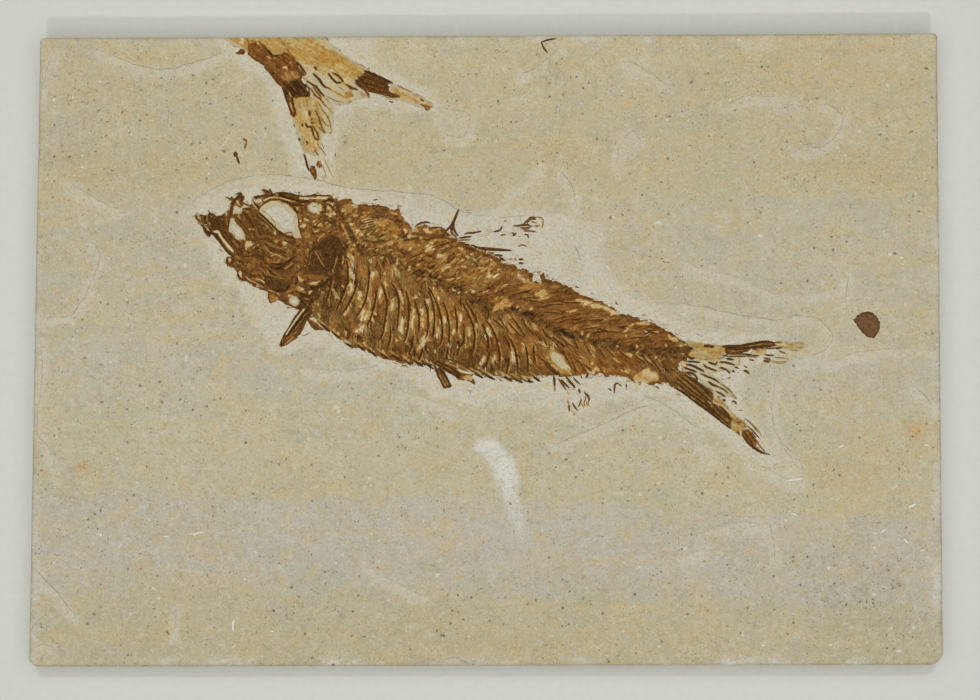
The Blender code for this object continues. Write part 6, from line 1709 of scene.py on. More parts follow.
tail = {
    "cell": 0.12,
    "patches": [  # loop, stain, rust
        (tailPatch, 0.33, 0.3),
        ([(36.3, 0.75), (37.2, 0.95), (38.1, 0.75), (37.9, 0.45), (36.8, 0.4), (36.3, 0.5)], 0.94, 0.2),
        (upperBlade, 0.66, 0.3), (upperTip, 0.2, 0.3), (lowerBlade, 0.64, 0.1), (ochreBand, 0.29, 0.32),
        (tipBlade, 0.62, 0.8),
        ([(45.2, -15.6), (45.9, -16.2), (46.8, -17.0), (46.0, -16.9), (45.0, -16.1)], 0.26, 0.8),
        ([(44.6, 0.2), (46.6, 0.2), (46.5, -0.7), (45, -0.5)], 0.24, 0.6),
        ([(31.9, -2.1), (33.2, -1.8), (33.6, -2.6), (33.2, -3.3), (32.2, -3.2)], 0.17, 0.8),
        ([(42.0, -1.3), (42.3, -1.3), (42.5, -2.4), (42.0, -2.5)], 0.24, 0.7),
        ([(31, 0.9), (33.6, 0.9), (34.2, 0.2), (33.6, -1.2), (31.4, -1.6)], 0.76, 0.0),
        ([(40.2, 0.2), (43.8, 0.2), (43.4, -0.5), (40.3, -0.6)], 0.62, 0.5),
    ],
    "rays": [  # points, width, stain
        ([(39.4, 0.6), (42, 0.65), (45, 1.15), (46.8, 1.4), (48.2, 1.2)], 0.34, 0.92),
        ([(40, 0.2), (42.5, 0.2), (44.5, 0.45), (48.4, 0.8)], 0.32, 0.9),
        ([(40.1, 0.7), (40.0, -0.6)], 0.3, 0.88), ([(40.1, -0.55), (42, -0.45), (43.6, 0.0)], 0.24, 0.8),
        ([(41.6, 0.5), (41.7, -0.3)], 0.18, 0.86),
        ([(44.3, 0.15), (45.2, 0.1), (46.2, 0.25), (47.8, 0.3), (49.4, 0.4)], 0.22, 0.8),
        ([(48.4, 0.1), (49.2, 0.45)], 0.24, 0.8), ([(48.8, 0.0), (49.2, -0.3), (50, -0.6)], 0.22, 0.6),
        ([(39.4, -0.95), (41, -0.7), (43, -0.75), (45.4, -0.95)], 0.3, 0.88),
        ([(38.8, -1.5), (39.6, -1.2), (41, -1.1), (43.6, -1.0)], 0.2, 0.82),
        ([(40, -1.4), (41.3, -1.65)], 0.3, 0.9), ([(43, -0.9), (44.2, -1.1), (45.2, -1.2)], 0.2, 0.72),
        ([(43.8, -1.6), (44.8, -1.75)], 0.24, 0.66),
        ([(46.4, -0.8), (47.4, -0.9), (48.2, -0.9)], 0.26, 0.74),
        ([(46.2, -1.3), (47.2, -1.5), (47.6, -1.9)], 0.24, 0.72), ([(46.2, -1.8), (47.4, -1.95)], 0.4, 0.7),
        ([(48.2, 1.25), (49.4, 1.25)], 0.3, 0.56), ([(49.0, 0.5), (49.5, 0.5)], 0.24, 0.7),
        ([(50.4, 0.9), (51.6, 0.9)], 0.12, 0.3), ([(51.8, 0.35), (52.9, 0.45)], 0.18, 0.36),
        ([(50.6, 0.0), (52.2, -0.15)], 0.16, 0.3), ([(33.9, 0.4), (34.5, 0.15)], 0.34, 0.95),
        ([(33.6, -1.1), (34.2, -1.4), (34.8, -1.3)], 0.36, 0.94),
        ([(33.2, -1.9), (34.4, -2.0), (35.7, -2.1)], 0.3, 0.92),
        ([(33.4, -2.4), (34.4, -2.6), (35.4, -3.1), (36.4, -3.6)], 0.32, 0.92),
        ([(33.0, -2.9), (33.8, -3.2), (35.2, -3.7)], 0.28, 0.9),
        ([(33.4, -3.7), (34.5, -3.9), (35.1, -4.4), (35.2, -5.2)], 0.34, 0.94),
        ([(36.4, -1.6), (37.3, -1.6)], 0.26, 0.7), ([(36.2, -2.3), (36.6, -2.8), (38.5, -3.5)], 0.28, 0.84),
        ([(37, -2), (37.8, -2.3), (38.5, -2.5)], 0.32, 0.82), ([(38.2, -2.4), (38.6, -1.9)], 0.26, 0.84),
        ([(38.8, -2.0), (40, -2.1), (41.5, -2.5)], 0.28, 0.84),
        ([(38.9, -2.9), (40.2, -3.3), (40.7, -4.0)], 0.3, 0.84), ([(41, -3.4), (41.5, -3.7)], 0.28, 0.8),
        ([(41.2, -2.7), (42.2, -3.1)], 0.24, 0.8), ([(41.9, -3.8), (42.2, -3.6)], 0.22, 0.76),
        ([(43, -2.6), (43.6, -3.0)], 0.24, 0.7), ([(42.9, -3.4), (43.5, -3.6), (44, -4.0)], 0.34, 0.76),
        ([(44.4, -2.7), (44.9, -2.6)], 0.22, 0.56), ([(39.4, -4.8), (39.6, -5.0)], 0.4, 0.76),
        ([(40.2, -4.7), (40.9, -4.6)], 0.24, 0.6),
        ([(35.6, -3.9), (36.6, -4.3), (38.2, -5.0), (39.0, -5.6)], 0.24, 0.88),
        ([(38.8, -5.5), (40.2, -6.4), (41.2, -7.4), (41.9, -8.3)], 0.2, 0.5),
        ([(37, -5.2), (37.6, -5.7), (38.8, -6.2)], 0.3, 0.86),
        ([(38.6, -6.1), (39.6, -6.6), (40.4, -7.3)], 0.24, 0.64),
        ([(38.4, -6.9), (39.2, -7.3), (39.9, -7.8)], 0.28, 0.82),
        ([(40.3, -6.8), (41.2, -7.6), (41.6, -8.2)], 0.4, 0.22), ([(39.4, -8.2), (40, -8.5)], 0.38, 0.84),
        ([(38.6, -7.8), (39.1, -7.9)], 0.28, 0.8), ([(40.9, -8.5), (41.6, -8.7), (41.7, -9.1)], 0.3, 0.74),
        ([(41.5, -9.4), (41.8, -9.6)], 0.24, 0.66), ([(36.4, -6.1), (37.2, -6.4), (37.8, -6.8)], 0.3, 0.88),
        ([(27.2, -1.4), (28.6, -3.3), (30, -4.9), (31.4, -6.1)], 0.24, 0.9),
        ([(31.0, -6.0), (33, -7.2), (35, -8.7), (37.6, -10.6), (40.8, -13.2)], 0.32, 0.95),
        ([(31.4, -5.3), (34, -7.3), (37.2, -9.6), (40.4, -12.4)], 0.26, 0.92),
        ([(31.8, -4.8), (34.4, -6.9), (37.4, -9.2)], 0.24, 0.9),
        ([(32.4, -4.4), (35, -6.5), (37.6, -8.7)], 0.24, 0.9),
        ([(33, -4.1), (35.6, -6.0), (37.8, -7.9)], 0.24, 0.88),
        ([(34.0, -4.5), (36.2, -6.1), (37.8, -7.4)], 0.26, 0.88),
        ([(37.6, -9.0), (39.0, -10.2), (40.6, -11.6)], 0.26, 0.86),
        ([(38.9, -9.3), (40.2, -10.6), (41, -11.8)], 0.3, 0.84),
        ([(41.8, -12.1), (42.5, -12.1)], 0.24, 0.74), ([(41.9, -12.4), (42.4, -12.4)], 0.16, 0.6),
        ([(43, -12.6), (43.3, -12.8)], 0.3, 0.78), ([(41.9, -13.7), (42.2, -14.0)], 0.36, 0.94),
        ([(42.6, -13.9), (43.2, -14.9), (44.2, -15.9), (45.4, -16.8), (47.4, -17.5)], 0.26, 0.9),
        ([(43.0, -13.5), (43.6, -14.6), (44.6, -15.7)], 0.24, 0.84),
        ([(43.5, -13.3), (44.4, -14.4), (45.1, -15.4)], 0.24, 0.84),
        ([(43.5, -12.6), (44.4, -13.4), (45.2, -14.3), (45.6, -14.8)], 0.22, 0.7),
        ([(44.2, -13.6), (45.0, -14.7)], 0.2, 0.72),
        ([(43, -11.3), (43.9, -12), (44.7, -12.9), (45.4, -13.8)], 0.18, 0.5),
        ([(44.2, -12.2), (45.4, -13.4), (46, -14.6)], 0.16, 0.34),
        ([(41.9, -10.0), (43.0, -10.1)], 0.14, 0.36),
        ([(45.2, -15.3), (45.8, -16.2), (46.6, -17.0)], 0.2, 0.5), ([(48.0, -1.2), (50, -1.4)], 0.18, 0.36),
        ([(47.6, -1.9), (48.8, -2.1), (50.2, -2.0)], 0.34, 0.26),
        ([(44.6, -11.0), (44.9, -11.1)], 0.2, 0.4),
    ],
    "slits": [  # points, width, stain
        ([(36.6, -4.7), (38.4, -5.5), (39.8, -6.4)], 0.26, 0.07), ([(37.6, -9.2), (38.0, -9.4)], 0.24, 0.1),
        ([(44.0, 0.65), (44.4, 0.7)], 0.24, 0.1), ([(44.9, 0.85), (46.2, 1.05)], 0.16, 0.4),
        ([(41.2, 0.25), (41.4, -0.1)], 0.16, 0.24), ([(39, -1.7), (42, -1.9)], 0.2, 0.07),
        ([(39.4, -2.6), (41.6, -2.9)], 0.24, 0.07), ([(42.4, -13.4), (42.5, -14.2)], 0.3, 0.06),
        ([(40.4, -1.0), (43.8, -0.9)], 0.1, 0.2),
        ([(38.6, -9.9), (39.6, -10.8), (40.5, -11.9)], 0.14, 0.34),
        ([(34.4, -7.0), (35.4, -7.8), (36.4, -8.7)], 0.14, 0.24), ([(37.8, -4.3), (39.4, -5.2)], 0.2, 0.08),
        ([(40.6, -3.0), (41.2, -3.2)], 0.3, 0.06),
    ],
}


def paintTail(sheet):
    x, y = sheet["x"], sheet["y"]
    sheet["stain"][:], sheet["rust"][:] = 0.3, 0.5
    paintArea(sheet, middleFilm, 1.0, 0.2, 0.2, stain=0.13, rust=0.3, wear=0.7)
    for loop, stain, rust in tail["patches"]:
        paintArea(sheet, loop, 0.95, 0.13, 0.14, stain=stain, rust=rust, wear=0.0)
    down = smooth(-2.5, -4, y)
    pale = smooth(0.45, 0.35, sheet["stain"])
    sheet["stain"] += 0.05 * layeredNoise(x, y, 1.0, 301) + pale * 0.1 * noiseAt(x, y, 0.35, 306)
    sheet["rust"] += 0.35 * layeredNoise(x, y, 1.2, 307)
    worn = 0.3 * noiseAt(x, y, 0.7, 308) + 0.35 * smooth(48.5, 53.5, x)
    sheet["wear"] += pale * worn - 0.4 * pale * streaks(x, y, -20, 3.0, 0.3, 309)
    sheet["lift"] += 0.04
    crush(sheet, smooth(0.4, 0.6, sheet["stain"]), -30, 0.7, 0.3, 305, 0.06, pale=0.03, dark=0.03, edge=0.04)
    lowStreaks, highStreaks = streaks(x, y, -38, 3.0, 0.3, 302), streaks(x, y, 2, 3, 0.26, 303)
    sheet["stain"] += down * 0.2 * lowStreaks + (1 - down) * 0.08 * highStreaks
    sheet["lift"] += down * 0.04 * streaks(x, y, -38, 3.0, 0.26, 302)
    for points, width, stain in tail["rays"]:
        paintLine(sheet, points, width, 0.85, 0.08, stain=stain, rust=0.2, lift=0.02)
    for shift in range(6):  # pale grooves between the long rays of the lower blade
        line = [(31.6 + 0.42 * shift, -5.6 + 0.42 * shift), (34.2 + 0.5 * shift, -7.55 + 0.42 * shift),
                (36.6 + 0.4 * shift, -9.35 + 0.5 * shift)]
        paintLine(sheet, line, 0.14, 0.85, 0.08, stain=0.36, rust=0.2, lift=-0.04)
    for points, width, stain in tail["slits"]:
        paintLine(sheet, points, width, 0.9, 0.08, stain=stain, rust=0.3)
    sheet["inside"] += 0.1 * noiseAt(x, y, 0.6, 311) + 0.07 * noiseAt(x, y, 0.3, 312)
    sheet["reach"] = 0.2
    return sheet


tailLoops = [tailPatch, upperBlade, upperTip, lowerBlade, ochreBand, tipBlade, middleFilm]
tailSheet = paintTail(newSheet(tailLoops, tail["cell"]))
tailFilm = settle(makeFilm("tail_fin_film", tailSheet, fossilBone), "bone", "tail_fin")
tailRayGuides = [(lay(tailSheet, points, 0.0, 0.03), width * 1.3, stain, 0.2)
                 for points, width, stain in tail["rays"]]
tailRays = settle(growStrands("tail_fin_rays", tailRayGuides, fossilStrand), "dark_bone")

# the tail of a second fish, cut by the slab's edge

darkLobe = [
    (-39.6, 51), (-39, 51.2), (-38.3, 51.3), (-37.5, 51.2), (-37, 50.8), (-36.5, 50.2), (-36, 49.6),
    (-35, 48.9), (-34.3, 49.3), (-33.5, 49.6), (-32.8, 49.5), (-32.2, 49.1), (-31.8, 48.6), (-31.4, 47.8),
    (-30.8, 47), (-30, 45.8), (-30.6, 45.6), (-30.8, 45), (-30.3, 44.5), (-30, 43.8), (-29.3, 42.4),
    (-30.3, 42.1), (-32, 42), (-32.2, 41), (-31.9, 40), (-31.7, 39.2), (-32.1, 38.9), (-32.5, 39.8),
    (-33, 41), (-33.6, 42.4), (-34.1, 44), (-34.9, 44.5), (-35.2, 45.3), (-36, 46.2), (-37, 47.3),
    (-38, 48), (-39, 48.6), (-39.7, 49.2), (-39.8, 50),
]
smallTriangle = [(-41.8, 49.4), (-41, 50.1), (-40.4, 50.3), (-40.1, 50), (-40.2, 49.2)]
ochreTop = [
    (-44.2, 53), (-43.4, 51.7), (-42.0, 50.6), (-41.0, 50.2), (-39.6, 49.5), (-35, 48.2), (-31.6, 47.6),
    (-30.5, 46.9), (-29.0, 47.2), (-28.2, 46.6), (-27.0, 46.4), (-26, 45.8), (-25, 45.2), (-23.5, 44.3),
    (-22, 44.5), (-21.0, 45.3), (-20.0, 46), (-19.4, 46.9), (-21, 47.6), (-22.5, 48.5), (-24, 49.6),
    (-25, 50.4), (-26, 51.2), (-27.4, 53),
]
darkBlock = [
    (-20.0, 46.7), (-18, 45.8), (-16.5, 45.1), (-15.3, 44.5), (-16.3, 44.35), (-16.0, 43.8), (-16.2, 43.3),
    (-15.3, 42.8), (-14.2, 42.2), (-15.0, 42.0), (-16.4, 42.2), (-18, 42.7), (-19.6, 43.1), (-21.0, 43.8),
    (-21.8, 44.4), (-21.7, 44.9), (-21, 45.3), (-20.5, 45.9),
]
paleTip = [
    (-16.0, 44.6), (-14.6, 44.1), (-13, 43.4), (-11, 42.4), (-9.0, 41.2), (-8.4, 40.5), (-9.6, 40.2),
    (-11.4, 40.5), (-13, 41.2), (-15, 41.7), (-18.4, 42.5), (-18.0, 43.0), (-16.0, 43),
]
lowerLobe = [
    (-33.6, 43.6), (-31.2, 42.6), (-28.8, 42.5), (-27.4, 41.4), (-26.9, 39.6), (-26.8, 38.0), (-27.0, 36.4),
    (-27.4, 35.0), (-27.4, 33.6), (-27.9, 32.5), (-29.2, 32.5), (-30.4, 32.8), (-31.0, 34.2), (-31.7, 36.4),
    (-32.4, 38.6), (-33.2, 41.4),
]
webFilm = [
    (-31.5, 47.8), (-30.4, 45.4), (-29.4, 42.6), (-28.4, 40.6), (-27.6, 38.6), (-27.4, 36.4), (-26.0, 36.0),
    (-25.3, 37.6), (-25.2, 39.6), (-25.4, 40.9), (-23.2, 40.9), (-21.6, 41.9), (-19.4, 42.0), (-20.6, 43.6),
    (-21.8, 44.8), (-24, 45.6), (-27, 47.2),
]
tanPatches = [
    [(-11, 41.1), (-9.6, 40.8), (-8.9, 40.5), (-9.7, 39.8), (-10.4, 40.3)],
    [(-28.2, 31.4), (-27.6, 31.5), (-27.4, 30.4), (-27.9, 30.1)],
    [
        (-29.4, 29.9), (-29.2, 30.7), (-28.5, 30.7), (-28.3, 29.6), (-28.1, 28.8), (-28.6, 28.3),
        (-29.0, 29.1),
    ],
    [(-23.6, 42.9), (-22.9, 43.3), (-22.1, 42.6), (-22.7, 42.0), (-23.3, 42.0)],
    [(-21.0, 43.0), (-20.2, 43.2), (-19.4, 42.6), (-19.7, 42.0), (-20.6, 42.2)],
    [(-27.3, 29.0), (-26.6, 29.2), (-26.4, 28.4), (-27.1, 28.3)],
]
secondTail = {
    "cell": 0.13,
    "patches": [  # loop, stain, rust
        (ochreTop, 0.27, 0.42), (lowerLobe, 0.22, 0.3), (paleTip, 0.2, 0.35),
        ([(-27.6, 49.6), (-25, 49.0), (-23.6, 47.9), (-25.6, 47.5), (-28.4, 48.2)], 0.36, 0.8),
        ([(-34, 53), (-28, 53), (-27, 50.4), (-31, 50), (-34, 50.6)], 0.24, 0.4),
        ([(-30.6, 48.0), (-26, 46.8), (-22.6, 45.2), (-22, 44.2), (-26.6, 45.5), (-30.4, 46.8)], 0.17, 0.5),
        (darkLobe, 0.68, 0.75), (smallTriangle, 0.72, 0.6), (darkBlock, 0.78, 0.3),
        ([(-33.9, 44.4), (-31.4, 45.2), (-29.6, 44.0), (-29.2, 42.3), (-33.6, 42.2)], 0.86, 0.0),
        ([(-39.4, 51.0), (-37.4, 51.0), (-36.4, 49.8), (-37.6, 48.6), (-39.4, 49.2)], 0.64, 0.8),
        ([(-21, 44.4), (-17.4, 43.6), (-14.6, 42.3), (-16.4, 42.3), (-19.6, 43.2)], 0.66, 1.0),
        ([(-33.6, 46.6), (-31.6, 46.4), (-30.8, 45.4), (-33.0, 44.8), (-34.4, 45.4)], 0.52, 0.3),
        ([(-41.0, 52.6), (-40.3, 52.6), (-40.3, 50.9), (-40.8, 50.9)], 0.08, 0.4),
        (tanPatches[0], 0.5, 0.7), (tanPatches[1], 0.5, 0.6), (tanPatches[2], 0.62, 0.8),
        (tanPatches[3], 0.36, 0.5), (tanPatches[4], 0.42, 0.6), (tanPatches[5], 0.3, 0.7),
    ],
    "pale": [  # points, width, stain
        ([(-33.9, 47.0), (-33.2, 47.2)], 0.34, 0.12), ([(-33.6, 46.3), (-32.6, 45.2)], 0.14, 0.24),
        ([(-32.6, 46.6), (-31.6, 45.2)], 0.14, 0.24), ([(-31.2, 47.4), (-30.6, 46.4)], 0.16, 0.2),
        ([(-33.2, 45.6), (-32.9, 44.6)], 0.16, 0.24), ([(-35.4, 47.9), (-35.1, 46.8)], 0.12, 0.36),
        ([(-31.8, 46.0), (-31.2, 45.2)], 0.14, 0.24), ([(-34.2, 45.7), (-33.4, 45.0)], 0.14, 0.3),
        ([(-32.9, 43.2), (-32.5, 42.2)], 0.2, 0.2),
        ([(-32.6, 41.2), (-32.4, 40.2), (-32.2, 39.8)], 0.26, 0.08),
        ([(-20.9, 46.1), (-19.6, 45.4)], 0.1, 0.5), ([(-32.4, 44.2), (-31.8, 43.2)], 0.1, 0.5),
        ([(-30.4, 46.6), (-29.8, 45.6)], 0.24, 0.1), ([(-25.8, 45.8), (-24.9, 45.0)], 0.3, 0.09),
        ([(-36.6, 48.6), (-35.4, 47.6)], 0.1, 0.5), ([(-27.0, 51.6), (-24.4, 49.6)], 0.2, 0.14),
    ],
    "rays": [  # points, width, stain
        ([(-28.9, 46.1), (-27.8, 45.1), (-27.2, 44.2), (-26.6, 43.6)], 0.34, 0.94),
        ([(-28.6, 47.2), (-28.2, 46.7)], 0.36, 0.92), ([(-26.7, 43.9), (-25.8, 43.4)], 0.2, 0.66),
        ([(-26.3, 46.1), (-25.6, 45.2), (-24.8, 44.5), (-24.1, 44.6)], 0.3, 0.92),
        ([(-25.6, 46.2), (-24.6, 45.7), (-23.8, 44.8)], 0.26, 0.9),
        ([(-24.1, 44.7), (-23.8, 44.7)], 0.3, 0.9),
        ([(-29.9, 44.8), (-28.4, 43.9), (-27.6, 43.0), (-26.9, 42.2)], 0.28, 0.9),
        ([(-29.2, 43.6), (-28.5, 42.5), (-27.6, 41.8), (-26.9, 41.0)], 0.2, 0.84),
        ([(-28.9, 43.9), (-28.0, 42.8), (-27.4, 42.0)], 0.18, 0.84),
        ([(-28.4, 44.1), (-28.0, 44.0)], 0.3, 0.92),
        ([(-23.3, 44.2), (-22.3, 43.7), (-21.3, 43.3)], 0.3, 0.88),
        ([(-22.9, 43.7), (-22.0, 43.4)], 0.24, 0.8),
        ([(-21.6, 44.1), (-20.4, 43.5), (-19.8, 42.8), (-19.4, 42.1)], 0.26, 0.84),
        ([(-31.6, 48.1), (-30.8, 47.2), (-29.9, 45.9)], 0.28, 0.86),
        ([(-31.4, 46.8), (-30.7, 45.7)], 0.26, 0.86), ([(-31.0, 47.2), (-30.4, 46.2)], 0.16, 0.8),
        ([(-39.9, 51.9), (-39.5, 51.1)], 0.2, 0.8),
        ([(-36.4, 50), (-35.4, 48.9), (-34.6, 49.1)], 0.3, 0.94),
        ([(-36.8, 50.4), (-36.4, 49.8)], 0.3, 0.9),
        ([(-37, 47.2), (-35.8, 46), (-34.8, 44.6), (-34, 43.9)], 0.3, 0.84),
        ([(-33.9, 43.8), (-33.4, 42.2), (-32.7, 40.4), (-32.2, 39.0)], 0.3, 0.94),
        ([(-32.3, 42), (-32.1, 40.6), (-31.8, 39.4), (-32.1, 38.9)], 0.28, 0.92),
        ([(-33, 44.2), (-32.4, 43.2), (-32.0, 42.2)], 0.4, 0.98),
        ([(-32.2, 44.4), (-31.4, 43.6), (-30.8, 42.6)], 0.26, 0.94),
        ([(-33.4, 44.0), (-32.9, 43.0)], 0.26, 0.92),
        ([(-30.8, 44.8), (-30.2, 43.6), (-29.6, 42.6)], 0.26, 0.88),
        ([(-20.2, 46.5), (-18, 45.6), (-15.5, 44.5)], 0.34, 0.97),
        ([(-20.6, 45.7), (-18.4, 44.9), (-16.4, 44.1)], 0.22, 0.92),
        ([(-21.6, 45.0), (-19, 44.2), (-16.4, 43.3)], 0.22, 0.9),
        ([(-21.6, 44.4), (-18.6, 43.4), (-15.4, 42.6)], 0.22, 0.88),
        ([(-20, 43.4), (-17.6, 42.8), (-14.4, 42.2)], 0.3, 0.84),
        ([(-21.8, 44.9), (-21.2, 44.5)], 0.26, 0.96), ([(-21.3, 45.5), (-20.7, 45.1)], 0.26, 0.94),
        ([(-16.2, 41.5), (-15.4, 41.2)], 0.22, 0.66), ([(-10.9, 41.8), (-10.4, 41.5)], 0.28, 0.74),
        ([(-13.5, 42.5), (-13.3, 42.4)], 0.2, 0.8),
        ([(-10.9, 40.9), (-9.8, 40.6), (-9.2, 40.5)], 0.24, 0.66),
        ([(-29.5, 39.9), (-29.3, 39.0)], 0.28, 0.9),
        ([(-28.5, 40.0), (-27.9, 38.8), (-27.4, 37.2), (-26.8, 36.2)], 0.2, 0.72),
        ([(-29.1, 38.6), (-29.0, 38.2)], 0.2, 0.84), ([(-29.2, 37.9), (-28.8, 37.8)], 0.34, 0.92),
        ([(-30.7, 37.8), (-30.5, 37.2)], 0.26, 0.9),
        ([(-30.1, 37.8), (-29.8, 37.2), (-29.2, 37.2), (-28.9, 36.4), (-28.7, 35.6)], 0.28, 0.88),
        ([(-28.9, 37.4), (-28.4, 36.6), (-28.0, 35.8), (-27.9, 35.0)], 0.22, 0.8),
        ([(-28.7, 35.6), (-28.4, 35.2), (-28.0, 35.0)], 0.2, 0.84),
        ([(-31.2, 35.4), (-31.0, 34.8)], 0.4, 0.94), ([(-29.9, 34.8), (-29.7, 34.3)], 0.34, 0.92),
        ([(-28.1, 34.4), (-27.9, 34.0)], 0.2, 0.66), ([(-28.7, 33.5), (-28.0, 32.6)], 0.16, 0.62),
        ([(-28.8, 32.8), (-28.2, 33.5)], 0.14, 0.56),
        ([(-30.4, 32.8), (-30.0, 31.6), (-29.7, 30.4), (-29.5, 29.8)], 0.3, 0.95),
        ([(-29.4, 30.4), (-29, 29.4), (-28.4, 28.5)], 0.24, 0.82),
        ([(-28.6, 30.6), (-28.3, 29.4)], 0.16, 0.7), ([(-28.2, 31.3), (-28.1, 30.3)], 0.14, 0.76),
        ([(-27.6, 31.3), (-27.4, 30.4)], 0.14, 0.72),
        ([(-27.8, 42.4), (-26.6, 40.6), (-25.4, 39.5)], 0.14, 0.42),
        ([(-28.2, 41.5), (-27, 39.7), (-26.1, 38.2), (-25.9, 36.8)], 0.14, 0.5),
        ([(-27.5, 38.8), (-26.6, 37.5), (-25.9, 37.2)], 0.14, 0.6),
        ([(-28.0, 37.2), (-27.2, 36.4), (-26.6, 36.1)], 0.2, 0.62),
        ([(-26.6, 42.3), (-25.2, 41.6), (-23.6, 41.2)], 0.14, 0.5),
        ([(-27.9, 34), (-27.2, 33.2), (-26.6, 32.2)], 0.14, 0.52),
        ([(-27.4, 34.6), (-27.0, 33.4)], 0.14, 0.42),
        ([(-27.0, 32.0), (-26.4, 30.6), (-25.4, 28.6)], 0.14, 0.34),
        ([(-27.7, 31.5), (-27.1, 30.3), (-26.6, 29.0)], 0.16, 0.3),
        ([(-27.0, 39.8), (-26.0, 38.6)], 0.12, 0.36), ([(-26.9, 42.0), (-26.0, 41.2)], 0.14, 0.45),
        ([(-27.4, 41.4), (-26.6, 40.4)], 0.14, 0.5), ([(-30.6, 41.8), (-30.2, 40.4)], 0.1, 0.38),
        ([(-31.2, 41.6), (-31.0, 40.2)], 0.1, 0.38), ([(-30.0, 41.9), (-29.6, 40.6)], 0.1, 0.38),
        ([(-25.4, 43.2), (-24.2, 42.4), (-23.4, 42.0)], 0.12, 0.4),
        ([(-24.6, 43.9), (-23.6, 43.2)], 0.12, 0.4), ([(-22.6, 42.6), (-22.0, 42.3)], 0.16, 0.5),
        ([(-35.7, 41.7), (-35.4, 41.4)], 0.4, 0.85), ([(-25.1, 32.9), (-25.1, 32.2)], 0.24, 0.6),
        ([(-33.0, 51.2), (-32.6, 51.0)], 0.24, 0.56), ([(-33.2, 50.2), (-32.6, 49.4)], 0.16, 0.6),
        ([(-34.0, 51.4), (-33.4, 50.8)], 0.14, 0.5), ([(-41.8, 52.0), (-41.2, 51.0)], 0.14, 0.36),
        ([(-24.3, 48.8), (-23.5, 48.4)], 0.2, 0.36), ([(-27.4, 50.8), (-26.8, 50.2)], 0.14, 0.4),
        ([(-39.2, 51.6), (-38.4, 51.3)], 0.14, 0.6),
    ],
}


def paintSecondTail(sheet):
    x, y = sheet["x"], sheet["y"]
    paintArea(sheet, webFilm, 1.0, 0.3, 0.3, stain=0.15, rust=0.35, wear=0.6)
    for loop, stain, rust in secondTail["patches"]:
        paintArea(sheet, loop, 0.95, 0.14, 0.2, stain=stain, rust=rust, wear=0.0)
    lowLobe = smooth(43, 41.5, y) * smooth(-24, -26, x)
    grain = lowLobe * streaks(x, y, -76, 3.2, 0.22, 402) + (1 - lowLobe) * streaks(x, y, -32, 3.4, 0.22, 403)
    pale = smooth(0.45, 0.35, sheet["stain"])
    speckle = noiseAt(x, y, 0.35, 406)
    sheet["stain"] += 0.035 * layeredNoise(x, y, 1.1, 401) + 0.075 * grain + pale * 0.08 * speckle
    sheet["rust"] += 0.4 * layeredNoise(x, y, 1.2, 407)
    sheet["wear"] += (sheet["wear"] > 0.3) * (0.5 * noiseAt(x, y, 0.9, 408) - 0.6 * grain)
    crush(sheet, smooth(0.4, 0.6, sheet["stain"]), -40, 0.6, 0.3, 405, 0.13, pale=0.015, dark=0.06, edge=0.08)
    sheet["lift"] += 0.015 * grain
    for points, width, stain in secondTail["pale"]:
        paintLine(sheet, points, width, 0.9, 0.08, stain=stain, rust=0.4)
    for points, width, stain in secondTail["rays"]:
        paintLine(sheet, points, width, 0.85, 0.08, stain=stain, rust=0.35, lift=0.02)
    sheet["inside"] += 0.12 * noiseAt(x, y, 0.6, 411) + 0.1 * noiseAt(x, y, 0.3, 412)
    sheet["whole"], sheet["reach"] = sheet["inside"] + 0.25 * grain, 0.65
    slabEdge = 52.02 + 0.0054 * (x + 35)  # the film ends with the slab
    sheet["inside"] = np.minimum(sheet["inside"], slabEdge - y)
    return sheet


secondLoops = [darkLobe, smallTriangle, ochreTop, darkBlock, paleTip, lowerLobe, webFilm] + tanPatches
secondSheet = paintSecondTail(newSheet(secondLoops, secondTail["cell"]))
secondFilm = settle(makeFilm("second_tail_film", secondSheet, fossilBone), "ochre_bone", "second_fish_tail")
secondRayGuides = [(lay(secondSheet, points, 0.0, 0.02), width * 1.25, stain - 0.03, 0.45)
                   for points, width, stain in secondTail["rays"]]
secondRays = settle(growStrands("second_tail_rays", secondRayGuides, fossilStrand), "dark_bone")

# paired fins, dorsal and anal fin

